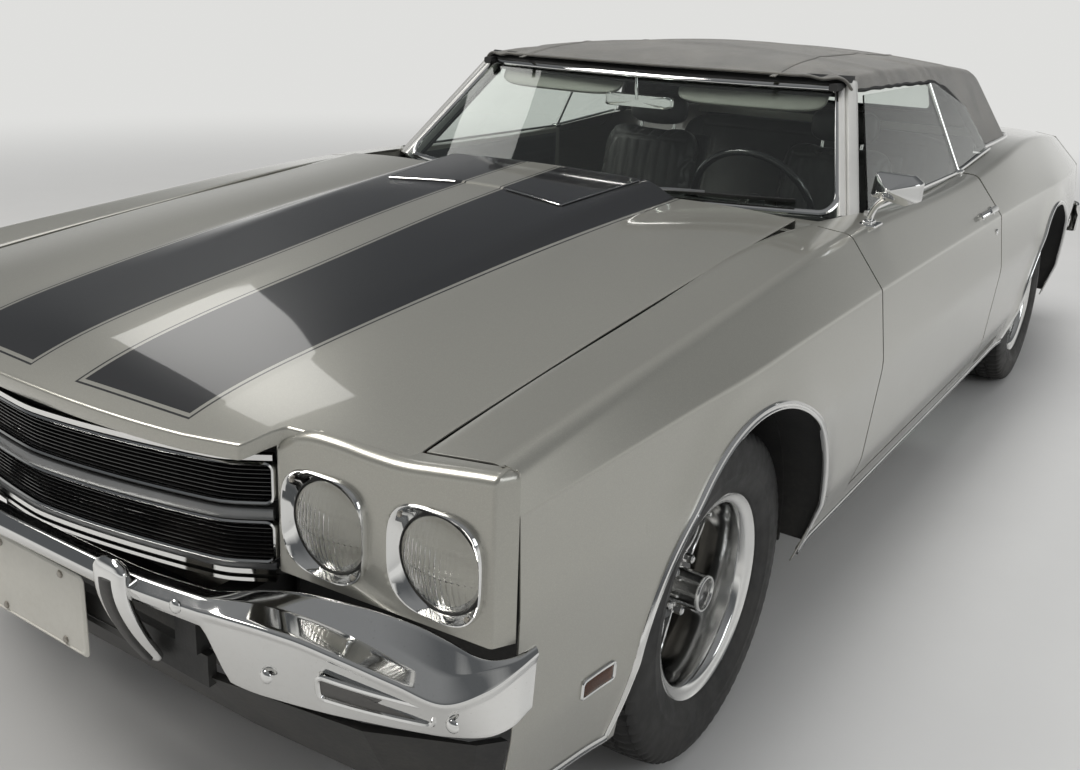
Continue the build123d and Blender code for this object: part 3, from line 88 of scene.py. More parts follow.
# The lips that close the wheel wells: their radius, and how far in they start
WELL_LIP_R = 409.0
WELL_END_X = 846.0
# Half the width of the studio's floor
FLOOR_HALF = 40000.0

# Body side sections: y, then x and z of the seam, crest, crease, widest line, lower side and foot
SIDE = np.array([
    (-2268, 722, 842, 862, 862, 886, 792, 892, 640, 884, 440, 862, 300),
    (-2000, 722, 875, 858, 884, 904, 806, 922, 648, 908, 420, 872, 262),
    (-1574, 722, 917, 852, 914, 924, 820, 950, 656, 930, 410, 878, 252),
    (-1100, 722, 957, 846, 944, 932, 830, 956, 656, 932, 404, 880, 250),
    (-600, 778, 952, 842, 950, 932, 832, 956, 656, 932, 404, 880, 250),
    (336, 778, 954, 842, 948, 932, 828, 956, 656, 932, 404, 880, 250),
    (800, 745, 986, 835, 972, 936, 826, 957, 656, 932, 406, 880, 254),
    (1270, 640, 992, 806, 980, 938, 818, 957, 654, 930, 410, 878, 262),
    (1900, 636, 955, 778, 938, 900, 796, 922, 648, 900, 430, 862, 300),
    (2392, 636, 900, 726, 886, 838, 766, 852, 640, 838, 470, 812, 360),
], float)
CREST_R, CREASE_R, WIDE_R, LOW_R = 34.0, 22.0, 150.0, 110.0

# Hood sections: y, seam z, dome foot x and z, dome edge x and z
HOOD = np.array([
    (-2440, 796, 352, 798, 280, 800),
    (-2330, 829, 356, 834, 284, 837),
    (-2150, 857, 362, 868, 290, 872),
    (-1800, 895, 372, 908, 300, 920),
    (-1400, 932, 382, 946, 310, 972),
    (-900, 972, 392, 980, 318, 1018),
], float)


# ---- numbers into shapes


def spline(knots, values, at):
    """Natural cubic curve through the values at the knots, evaluated at an array of places."""
    h = np.diff(knots)
    n = len(knots)
    a = np.zeros((n, n))
    b = np.zeros(n)
    a[0, 0] = a[-1, -1] = 1
    i = np.arange(1, n - 1)
    a[i, i - 1] = h[:-1]
    a[i, i] = 2 * (h[:-1] + h[1:])
    a[i, i + 1] = h[1:]
    slope = np.diff(values) / h
    b[1:-1] = 6 * np.diff(slope)
    m = np.linalg.solve(a, b)
    at = np.asarray(at, float)
    k = np.clip(np.searchsorted(knots, at) - 1, 0, n - 2)
    t0 = at - knots[k]
    t1 = knots[k + 1] - at
    hk = h[k]
    return (
        m[k] * t1**3 / (6 * hk)
        + m[k + 1] * t0**3 / (6 * hk)
        + (values[k] / hk - m[k] * hk / 6) * t1
        + (values[k + 1] / hk - m[k + 1] * hk / 6) * t0
    )


def line(a, b, n):
    """n evenly spaced numbers from a to b."""
    return np.linspace(a, b, n)


def eased(a, b, n):
    """n numbers from a to b, closer together at both ends: half a cosine wave."""
    return a + (b - a) * (1 - np.cos(np.linspace(0, PI, n))) / 2


def smooth(t):
    """0 below 0, 1 above 1 and a smooth rise between."""
    t = np.clip(t, 0, 1)
    return t * t * (3 - 2 * t)


def filleted(corners, radii, counts):
    """A polyline with an arc rolled into each inner corner: straight runs and arcs sampled by the counts,
    two in turn for each corner and a last one, for corner arrays of shape (corners, rows, 2)."""
    p = np.asarray(corners, float)
    pieces = []
    last = p[0]
    for k in range(1, len(p) - 1):
        a = p[k - 1] - p[k]
        b = p[k + 1] - p[k]
        a /= np.linalg.norm(a, axis=-1, keepdims=True)
        b /= np.linalg.norm(b, axis=-1, keepdims=True)
        half = np.arccos(np.clip((a * b).sum(-1, keepdims=True), -1, 1)) / 2
        r = radii[k - 1]
        start = p[k] + a * r / np.tan(half)
        end = p[k] + b * r / np.tan(half)
        middle = p[k] + (a + b) / np.linalg.norm(a + b, axis=-1, keepdims=True) * r / np.sin(half)
        turn = np.maximum(PI - 2 * half, 1e-4)
        t = line(0, 1, counts[2 * k - 2])[:-1, None, None]
        pieces.append(last + (start - last) * t)
        t = line(0, 1, counts[2 * k - 1])[:-1, None, None]
        arc = (np.sin((1 - t) * turn) * (start - middle) + np.sin(t * turn) * (end - middle)) / np.sin(turn)
        pieces.append(middle + arc)
        last = end
    t = line(0, 1, counts[-1])[:, None, None]
    pieces.append(last + (p[-1] - last) * t)
    return np.concatenate(pieces)


def side_row(y):
    """The side table's twelve columns at an array of places along the car."""
    return [spline(SIDE[:, 0], SIDE[:, c], y) for c in range(1, 13)]


def flare(y, z):
    """How far the metal swells out around a wheel opening: a bell curve of the distance to the opening's
    edge."""
    out = 0
    for axle, grow in ((FRONT_AXLE_Y, 9.0), (REAR_AXLE_Y, 8.0)):
        away = np.hypot(y - axle, z - ARCH_Z) - ARCH_R
        out = out + grow * np.exp(-((away / 62.0) ** 2))
    return out


def side_x(y, z):
    """Half width of the body at (y, z) below the shoulder crease: the innermost of the straight lines
    between the table's corners, with arcs rolled into the widest and the lower corner, plus the swell round
    the wheels."""
    row = side_row(y)
    pts = [(row[2 * k], row[2 * k + 1]) for k in range(2, 6)]
    x = np.full(np.broadcast(y, z).shape, 1e9)
    slopes = []
    for (x0, z0), (x1, z1) in zip(pts, pts[1:]):
        slope = (x1 - x0) / (z1 - z0)
        slopes.append(slope)
        x = np.minimum(x, x0 + slope * (z - z0))
    for k, radius in ((1, WIDE_R), (2, LOW_R)):
        up, down = np.arctan(slopes[k - 1]), np.arctan(slopes[k])
        reach = radius * np.tan((down - up) / 2)
        mid = (up + down) / 2
        cx = pts[k][0] - radius / np.cos((down - up) / 2) * np.cos(mid)
        cz = pts[k][1] + radius / np.cos((down - up) / 2) * np.sin(mid)
        near = (z < pts[k][1] + reach * np.cos(up)) & (z > pts[k][1] - reach * np.cos(down))
        arc = cx + np.sqrt(np.maximum(radius**2 - (z - cz) ** 2, 0))
        x = np.where(near, arc, x)
    return x + flare(y, z)


UPPER = (7, 9, 10, 9, 2)


def side_upper(y):
    """Rows from the top seam over the crest to the end of the crease arc, for an array of y. Shape (rows,
    y, 3)."""
    row = side_row(y)
    corners = np.array([np.stack([row[2 * k], row[2 * k + 1]], -1) for k in range(4)])
    curve = filleted(corners, (CREST_R, CREASE_R), UPPER)[:-1]
    out = np.empty(curve.shape[:2] + (3,))
    out[..., 0] = curve[..., 0] + flare(y, curve[..., 1])
    out[..., 1] = y
    out[..., 2] = curve[..., 1]
    return out


def side_lower(y, z):
    """Points of the body side at places y and heights z, both of one shape."""
    return np.stack([side_x(y, z), y, z], -1)


def arch_edge(y, axle):
    """Height of the wheel opening's edge at y, and the axle's height outside it."""
    return ARCH_Z + np.sqrt(np.maximum(ARCH_R**2 - (y - axle) ** 2, 0))


def side_panel(y0, y1, axle=None, rear_cut=None, bottom=None, rows=22):
    """A body panel's skin on the +X side as grids that share their edges: the whole height above the wheel
    opening, and the metal before and behind it down to the foot."""
    if axle is None:
        f = eased(0, 1, 61)[None, :]
        base = np.full((1, 61), y0) + (y1 - y0) * f
        up = side_upper(base[0])
        end = y1 + (rear_cut(up[..., 0]) if rear_cut else 0)
        y = y0 + (end - y0) * f
        fitted = np.stack([side_upper(y[r])[r] for r in range(len(y))]) if rear_cut else up
        foot = bottom if bottom is not None else spline(SIDE[:, 0], SIDE[:, 12], base[0])
        z = fitted[-1, :, 2][None] + (foot - fitted[-1, :, 2])[None] * line(0, 1, rows)[:, None]
        x = side_x(np.broadcast_to(base, z.shape), z)
        end = y1 + (rear_cut(x) if rear_cut else 0)
        y = y0 + (end - y0) * f
        low = side_lower(y, z)
        low[0] = fitted[-1]
        return [np.concatenate([fitted, low[1:]])]
    before = eased(y0, axle - ARCH_R, 22)
    over = axle - ARCH_R * np.cos(line(0, PI, 73))
    after = eased(axle + ARCH_R, y1, 34)
    y = np.concatenate([before[:-1], over, after[1:]])
    up = side_upper(y)
    z0 = up[-1, :, 2]
    z = z0[None] + (arch_edge(y, axle) - z0)[None] * (line(0, 1, rows)[:, None])
    low = side_lower(np.broadcast_to(y, z.shape), z)
    low[0] = up[-1]
    grids = [np.concatenate([up, low[1:]])]
    for ends, sign in ((before, -1), (after, 1)):
        f = (ends - ends[0]) / (ends[-1] - ends[0])
        foot = spline(SIDE[:, 0], SIDE[:, 12], ends)
        z = ARCH_Z + (foot - ARCH_Z)[None] * line(0, 1, 9)[:, None]
        edge = axle + sign * np.sqrt(np.maximum(ARCH_R**2 - (z - ARCH_Z) ** 2, 0))
        yy = ends[0] + (edge - ends[0]) * f if sign < 0 else edge + (ends[-1] - edge) * f
        grids.append(side_lower(yy, z))
    return grids


# ---- shapes into meshes


def mirrored(grids):
    """The grids and their mirror images across the car's middle."""
    return list(grids) + [g * np.array([-1.0, 1, 1]) for g in grids]


def revolve(profile, n, axis="x", centre=(0, 0, 0)):
    """A profile of (along, radius) rows turned about an axis through the centre. The last column is the
    first."""
    t = np.linspace(0, 2 * PI, n + 1)
    p = np.asarray(profile, float)
    a = np.broadcast_to(p[:, :1], (len(p), n + 1))
    c, s = p[:, 1:] * np.cos(t), p[:, 1:] * np.sin(t)
    g = {"x": (a, c, s), "y": (c, a, s), "z": (c, s, a)}[axis]
    return np.stack(g, -1) + np.asarray(centre, float)


def sweep(path, section, up=(0, 0, 1), closed=False, scale=None):
    """A closed section of (sideways, upward) points carried along a path: at each point the section stands
    square to the path's direction, with its second axis as near to up as it can be."""
    path = np.asarray(path, float)
    if closed:
        tangent = np.roll(path, -1, 0) - np.roll(path, 1, 0)
    else:
        tangent = np.gradient(path, axis=0)
    tangent /= np.linalg.norm(tangent, axis=1, keepdims=True)
    up = np.broadcast_to(np.asarray(up, float), path.shape)
    side = np.cross(tangent, up)
    side /= np.linalg.norm(side, axis=1, keepdims=True)
    lift = np.cross(side, tangent)
    s = np.asarray(section, float)
    s = np.concatenate([s, s[:1]])
    k = np.ones(len(path)) if scale is None else np.asarray(scale, float)
    g = path[:, None] + (side[:, None] * s[None, :, :1] + lift[:, None] * s[None, :, 1:]) * k[:, None, None]
    if closed:
        return [np.concatenate([g, g[:1]])]
    t = line(1, 0, 3)[:, None, None]
    caps = [path[i][None, None] + (g[i][None] - path[i]) * t for i in (0, -1)]
    return [g] + caps


def ring(a, b=None, n=16, power=2.0):
    """A closed outline of half widths a and b: an ellipse, or squarer as the power grows."""
    t = np.linspace(0, 2 * PI, n, endpoint=False)
    c, s = np.cos(t), np.sin(t)
    e = 2 / power
    return np.stack([a * np.sign(c) * np.abs(c) ** e,
                     (a if b is None else b) * np.sign(s) * np.abs(s) ** e], -1)


def rounded_outline(points, radii, arc=7, run=4):
    """A closed outline through the points with each corner rolled to its radius."""
    p = np.array(points, float)
    n = len(p)
    out = []
    for k in range(n):
        a, b = p[k - 1] - p[k], p[(k + 1) % n] - p[k]
        la, lb = np.linalg.norm(a), np.linalg.norm(b)
        a, b = a / la, b / lb
        half = math.acos(max(-1.0, min(1.0, float(a @ b)))) / 2
        r = radii[k] if hasattr(radii, "__len__") else radii
        d = r / math.tan(half)
        s, e = p[k] + a * d, p[k] + b * d
        m = p[k] + (a + b) / np.linalg.norm(a + b) * r / math.sin(half)
        turn = max(PI - 2 * half, 1e-4)
        t = line(0, 1, arc)[:, None]
        out.append(m + (np.sin((1 - t) * turn) * (s - m) + np.sin(t * turn) * (e - m)) / math.sin(turn))
    full = []
    for k in range(n):
        full.append(out[k])
        nxt = out[(k + 1) % n][0]
        full.append(out[k][-1] + (nxt - out[k][-1]) * line(0, 1, run + 2)[1:-1, None])
    return np.concatenate(full)


def cushion(x0, x1, y0, y1, z0, z1, power=4.0, n=40):
    """A pillow between two corners: a squared ball, whose cross sections are superellipses."""
    t = np.linspace(0, 2 * PI, 2 * n + 1)
    p = np.linspace(-PI / 2, PI / 2, n + 1)[:, None]

    def wave(v):
        return np.sign(v) * np.abs(v) ** (2 / power)

    cx, cy, cz = (x0 + x1) / 2, (y0 + y1) / 2, (z0 + z1) / 2
    x = cx + (x1 - x0) / 2 * wave(np.cos(p)) * wave(np.cos(t))
    y = cy + (y1 - y0) / 2 * wave(np.cos(p)) * wave(np.sin(t))
    z = cz + (z1 - z0) / 2 * wave(np.sin(p)) * np.ones_like(t)
    return np.stack([x, y, z], -1)


def box_shell(x0, x1, y0, y1, z0, z1, radius=4.0):
    """A block with rolled edges as one sweep: a rounded outline carried up through shrinking end rings."""
    half = min(radius, (x1 - x0) / 2 - 0.01, (y1 - y0) / 2 - 0.01, (z1 - z0) / 2 - 0.01)
    outline = rounded_outline([(x0, y0), (x1, y0), (x1, y1), (x0, y1)], max(half, 0.3), arc=5, run=2)
    centre = outline.mean(0)
    t = line(0, PI / 2, 5)
    ins = np.concatenate([[1e9], half * (1 - np.sin(t)), half * (1 - np.cos(t)), [1e9]])
    zz = np.concatenate([[z0], z0 + half * (1 - np.cos(t)), z1 - half * (1 - np.sin(t)), [z1]])
    size = np.array([(x1 - x0) / 2, (y1 - y0) / 2])
    rings = []
    for inset, z in zip(ins, zz):
        k = np.maximum(1 - inset / size, 0)
        ring_xy = centre + (outline - centre) * k
        rings.append(np.concatenate([ring_xy, np.full((len(ring_xy), 1), z)], 1))
    g = np.array(rings)
    return np.concatenate([g, g[:, :1]], 1)


def turned(grid, degrees, axis, centre):
    """A grid turned about an axis through a centre."""
    c, s = math.cos(math.radians(degrees)), math.sin(math.radians(degrees))
    i, j = {"x": (1, 2), "y": (2, 0), "z": (0, 1)}[axis]
    g = grid - np.asarray(centre, float)
    out = g.copy()
    out[..., i] = c * g[..., i] - s * g[..., j]
    out[..., j] = s * g[..., i] + c * g[..., j]
    return out + np.asarray(centre, float)


def quads(grids, weld=0.02):
    """A mesh of all the grids' quads, welded where grids meet, with flat quads at poles closed up."""
    verts, faces, at = [], [], 0
    for g in grids:
        r, c = g.shape[:2]
        k = np.arange(r * c).reshape(r, c) + at
        verts.append(g.reshape(-1, 3))
        faces.append(np.stack([k[:-1, :-1], k[:-1, 1:], k[1:, 1:], k[1:, :-1]], -1).reshape(-1, 4))
        at += r * c
    verts = (np.concatenate(verts) * MM).astype(np.float32)
    faces = np.concatenate(faces).astype(np.int32)
    mesh = bpy.data.meshes.new("grid")
    mesh.vertices.add(len(verts))
    mesh.vertices.foreach_set("co", verts.ravel())
    mesh.loops.add(faces.size)
    mesh.loops.foreach_set("vertex_index", faces.ravel())
    mesh.polygons.add(len(faces))
    mesh.polygons.foreach_set("loop_start", np.arange(len(faces), dtype=np.int32) * 4)
    mesh.update(calc_edges=True)
    bm = bmesh.new()
    bm.from_mesh(mesh)
    bmesh.ops.remove_doubles(bm, verts=bm.verts, dist=weld * MM)
    bmesh.ops.dissolve_degenerate(bm, edges=bm.edges, dist=1e-7)
    bm.to_mesh(mesh)
    bm.free()
    return mesh


def facing(grid, towards):
    """The grid with its rows so ordered that its faces look along a direction, or away from a point."""
    a = grid[1:, :-1] - grid[:-1, :-1]
    b = grid[:-1, 1:] - grid[:-1, :-1]
    normal = np.cross(b, a)
    want = grid[:-1, :-1] - np.asarray(towards[1],
                                       float) if towards[0] == "from" else np.asarray(towards[1], float)
    return grid if (normal * want).sum() > 0 else grid[::-1]


def dress(obj, body, material, sharp=38.0, replaces=()):
    """Shade an object smooth but for its sharp edges, and give it its material, body and slot."""
    mesh = obj.data
    mesh.shade_smooth()
    if sharp:
        mesh.set_sharp_from_angle(angle=math.radians(sharp))
    mesh.materials.clear()
    mesh.materials.append(material)
    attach(obj, body)
    if replaces:
        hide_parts(*replaces)
    return obj


def piece(name, grids, body, material, out=None, wall=0.0, bevel=0.0, sharp=38.0, replaces=(),
          subdivide=0):
    """A finished object from grids: turned outwards, given its wall and rolled edges, and set on its body."""
    if out is not None:
        grids = [facing(g, out) for g in grids]
    mesh = quads(grids)
    obj = bpy.data.objects.new(name, mesh)
    bpy.context.scene.collection.objects.link(obj)
    if out is None:
        bm = bmesh.new()
        bm.from_mesh(mesh)
        bmesh.ops.recalc_face_normals(bm, faces=bm.faces)
        bm.to_mesh(mesh)
        bm.free()
    if wall:
        m = obj.modifiers.new("Wall", "SOLIDIFY")
        m.thickness, m.offset = wall * MM, -1
    if bevel:
        m = obj.modifiers.new("Edge", "BEVEL")
        m.width, m.segments, m.limit_method, m.angle_limit = bevel * MM, 2, "ANGLE", math.radians(60)
    if subdivide:
        m = obj.modifiers.new("Finer", "SUBSURF")
        m.levels = m.render_levels = subdivide
    if wall or bevel or subdivide:
        bpy.context.view_layer.update()
        done = bpy.data.meshes.new_from_object(obj.evaluated_get(bpy.context.evaluated_depsgraph_get()))
        obj.modifiers.clear()
        obj.data = done
        bpy.data.meshes.remove(mesh)
        mesh = done
    mesh.name = name
    return dress(obj, body, material, sharp, replaces)


# ---- materials


class Graph:
    """Adds nodes to a tree, sets or links their sockets and gives back their outputs."""

    def __init__(self, tree):
        self.tree = tree

    def add(self, kind, sockets=None, **values):
        node = self.tree.nodes.new(kind)
        for name, value in values.items():
            setattr(node, name, value)
        for name, value in (sockets or {}).items():
            if isinstance(value, bpy.types.NodeSocket):
                self.tree.links.new(value, node.inputs[name])
            else:
                node.inputs[name].default_value = value
        return node

    def math(self, operation, a, b=0.0, clamp=False):
        return self.add("ShaderNodeMath", {0: a, 1: b}, operation=operation, use_clamp=clamp).outputs[0]

    def mix(self, factor, a, b):
        return self.add("ShaderNodeMix", {0: factor, 6: a, 7: b}, data_type="RGBA").outputs[2]

    def blend(self, factor, a, b):
        return self.add("ShaderNodeMix", {0: factor, 2: a, 3: b}).outputs[0]

    def ramp(self, value, low, high):
        return self.add("ShaderNodeMapRange", {0: value, 1: low, 2: high}).outputs[0]

    def noise(self, vector, scale, detail=3.0, roughness=0.5):
        sockets = {"Vector": vector, "Scale": scale, "Detail": detail, "Roughness": roughness}
        return self.add("ShaderNodeTexNoise", sockets).outputs["Fac"]


def group(name, inputs, outputs):
    """An empty node group with named sockets, its graph, and its input node's outputs."""
    tree = bpy.data.node_groups.new(name, "ShaderNodeTree")
    for label, kind, default in inputs:
        s = tree.interface.new_socket(label, in_out="INPUT", socket_type="NodeSocket" + kind)
        if default is not None:
            s.default_value = default
    for label, kind in outputs:
        tree.interface.new_socket(label, in_out="OUTPUT", socket_type="NodeSocket" + kind)
    g = Graph(tree)
    return tree, g, g.add("NodeGroupInput").outputs, g.add("NodeGroupOutput")


def rgba(colour):
    """A colour of three numbers as the four that a socket takes."""
    return (*colour[:3], 1.0)


GROUPS = {}


def build_groups():
    """The shared effects: road dust, metal flake, pressed grain, hand smudges and woven cloth."""
    tree, g, i, o = group(
        "Road dust",
        [("Colour", "Color", None), ("Roughness", "Float", 0.3), ("Dust", "Color", (0.36, 0.33, 0.27, 1)),
         ("Low", "Float", 0.2), ("High", "Float", 0.7), ("Amount", "Float", 0.4)],
        [("Colour", "Color"), ("Roughness", "Float")],
    )
    place = g.add("ShaderNodeTexCoord").outputs["Object"]
    z = g.add("ShaderNodeSeparateXYZ", {0: place}).outputs[2]
    low = g.ramp(z, i["High"], i["Low"])
    cloud = g.ramp(g.noise(place, 6.0, 6.0, 0.65), 0.35, 0.75)
    speck = g.ramp(g.noise(place, 90.0, 3.0), 0.45, 0.8)
    mask = g.math("MULTIPLY", g.math("MULTIPLY", low, g.blend(0.35, cloud, speck)), i["Amount"], clamp=True)
    g.tree.links.new(g.mix(mask, i["Colour"], i["Dust"]), o.inputs[0])
    g.tree.links.new(g.blend(mask, i["Roughness"], 0.85), o.inputs[1])
    GROUPS["dust"] = tree

    tree, g, i, o = group(
        "Metal flake",
        [("Colour", "Color", None), ("Light", "Color", None), ("Scale", "Float", 900.0),
         ("Amount", "Float", 0.25)],
        [("Colour", "Color"), ("Height", "Float")],
    )
    place = g.add("ShaderNodeTexCoord").outputs["Object"]
    cell = g.add("ShaderNodeTexVoronoi", {"Vector": place, "Scale": i["Scale"]})
    spark = g.add("ShaderNodeSeparateColor", {0: cell.outputs["Color"]}).outputs[0]
    mask = g.math("MULTIPLY", g.ramp(spark, 0.55, 1.0), i["Amount"])
    broad = g.ramp(g.noise(place, 1.6, 2.0), 0.3, 0.7)
    soft = g.mix(g.math("MULTIPLY", broad, 0.06), i["Colour"], i["Light"])
    g.tree.links.new(g.mix(mask, soft, i["Light"]), o.inputs[0])
    g.tree.links.new(g.noise(place, 130.0, 2.0), o.inputs[1])
    GROUPS["flake"] = tree

    tree, g, i, o = group("Pressed grain", [("Scale", "Float", 700.0), ("Depth", "Float", 1.0)],
                          [("Height", "Float")])
    place = g.add("ShaderNodeTexCoord").outputs["Object"]
    cell = g.add("ShaderNodeTexVoronoi", {"Vector": place, "Scale": i["Scale"]}, feature="F1")
    wrinkle = g.noise(place, 60.0, 4.0)
    height = g.math("ADD", g.math("MULTIPLY", cell.outputs["Distance"], 0.7),
                    g.math("MULTIPLY", wrinkle, 0.6))
    g.tree.links.new(g.math("MULTIPLY", height, i["Depth"]), o.inputs[0])
    GROUPS["grain"] = tree

    tree, g, i, o = group(
        "Hand smudges",
        [("Clean", "Float", 0.05), ("Smeared", "Float", 0.22), ("Scale", "Float", 5.0)],
        [("Roughness", "Float")],
    )
    place = g.add("ShaderNodeTexCoord").outputs["Object"]
    mask = g.ramp(g.noise(place, i["Scale"], 7.0, 0.6), 0.48, 0.78)
    g.tree.links.new(g.blend(mask, i["Clean"], i["Smeared"]), o.inputs[0])
    GROUPS["smudge"] = tree

    tree, g, i, o = group(
        "Woven cloth",
        [("Vector", "Vector", None), ("Threads", "Float", 900.0)],
        [("Height", "Float"), ("Mask", "Float")],
    )
    sep = g.add("ShaderNodeSeparateXYZ", {0: i["Vector"]}).outputs
    waves = []
    for axis in (0, 1):
        angle = g.math("MULTIPLY", sep[axis], g.math("MULTIPLY", i["Threads"], 2 * PI))
        waves.append(g.math("ABSOLUTE", g.math("SINE", angle)))
    check = g.math("ADD", waves[0], waves[1])
    fluff = g.noise(i["Vector"], 400.0, 3.0)
    g.tree.links.new(g.math("ADD", g.math("MULTIPLY", check, 0.5), g.math("MULTIPLY", fluff, 0.4)),
                     o.inputs[0])
    g.tree.links.new(g.ramp(g.noise(i["Vector"], 5.0, 5.0, 0.6), 0.3, 0.75), o.inputs[1])
    GROUPS["weave"] = tree


def use(g, name, **sockets):
    """One of the shared groups placed in a material with its own values."""
    node = g.add("ShaderNodeGroup", node_tree=GROUPS[name])
    for label, value in sockets.items():
        socket = node.inputs[label.replace("_", " ")]
        if isinstance(value, bpy.types.NodeSocket):
            g.tree.links.new(value, socket)
        else:
            socket.default_value = value
    return node.outputs


MATERIALS = {}


def shader(name, metallic=0.0, roughness=0.4, **constants):
    """A new material with its Principled shader, whose constants are set on its own sockets."""
    mat = bpy.data.materials.new(name)
    mat.use_nodes = True
    g = Graph(mat.node_tree)
    bsdf = mat.node_tree.nodes["Principled BSDF"]
    bsdf.inputs["Metallic"].default_value = metallic
    bsdf.inputs["Roughness"].default_value = roughness
    for label, value in constants.items():
        bsdf.inputs[label.replace("_", " ")].default_value = value
    MATERIALS[name] = mat
    return mat, g, bsdf.inputs


def bump(g, height, strength, distance):
    """A Bump node's normal for a height."""
    return g.add("ShaderNodeBump", {"Strength": strength, "Distance": distance, "Height": height}).outputs[0]


def plain(name, colour, metallic, roughness, grain=700.0, depth=0.35, dust=0.25, high=0.9, light=1.35,
          **constants):
    """A worked surface: its colour varies in clouds, with pressed grain and dust that thins out upwards."""
    mat, g, s = shader(name, metallic, roughness, **constants)
    place = g.add("ShaderNodeTexCoord").outputs["Object"]
    cloud = g.ramp(g.noise(place, 9.0, 5.0, 0.6), 0.3, 0.7)
    light_colour = [min(1.0, c * light + 0.004) for c in colour]
    mixed = g.mix(cloud, rgba(colour), rgba(light_colour))
    dusty = use(g, "dust", Colour=mixed, Roughness=roughness, Amount=dust, High=high, Low=0.15)
    g.tree.links.new(dusty["Colour"], s["Base Color"])
    g.tree.links.new(dusty["Roughness"], s["Roughness"])
    height = use(g, "grain", Scale=grain, Depth=1.0)[0]
    g.tree.links.new(bump(g, height, depth, 0.0006), s["Normal"])
    return mat


def stripe_mask(g, place, sizes):
    """1 inside the two hood bands and 2 values for the pinstripe: bands between two lines that spread
    rearwards, each cut square at the front, with a thin line set out round them."""
    xyz = g.add("ShaderNodeSeparateXYZ", {0: place}).outputs
    x = g.math("ABSOLUTE", xyz[0])
    y = xyz[1]
    t = g.ramp(y, -2.40, -0.90)
    inner = g.blend(t, sizes.stripe_inner_front, sizes.stripe_inner_rear)
    outer = g.blend(t, sizes.stripe_outer_front, sizes.stripe_outer_rear)
    start = g.math("ADD", sizes.stripe_start, g.math("MULTIPLY", x, 0.05))
    inside = g.math("SUBTRACT", x, inner)
    outside = g.math("SUBTRACT", outer, x)
    front = g.math("SUBTRACT", y, start)
    depth = g.math("MINIMUM", g.math("MINIMUM", inside, outside), front)
    band = g.math("GREATER_THAN", depth, 0.0)
    near = g.math("GREATER_THAN", depth, -sizes.pinstripe_gap - sizes.pinstripe_width)
    far = g.math("LESS_THAN", depth, -sizes.pinstripe_gap)
    return band, g.math("MULTIPLY", near, far)


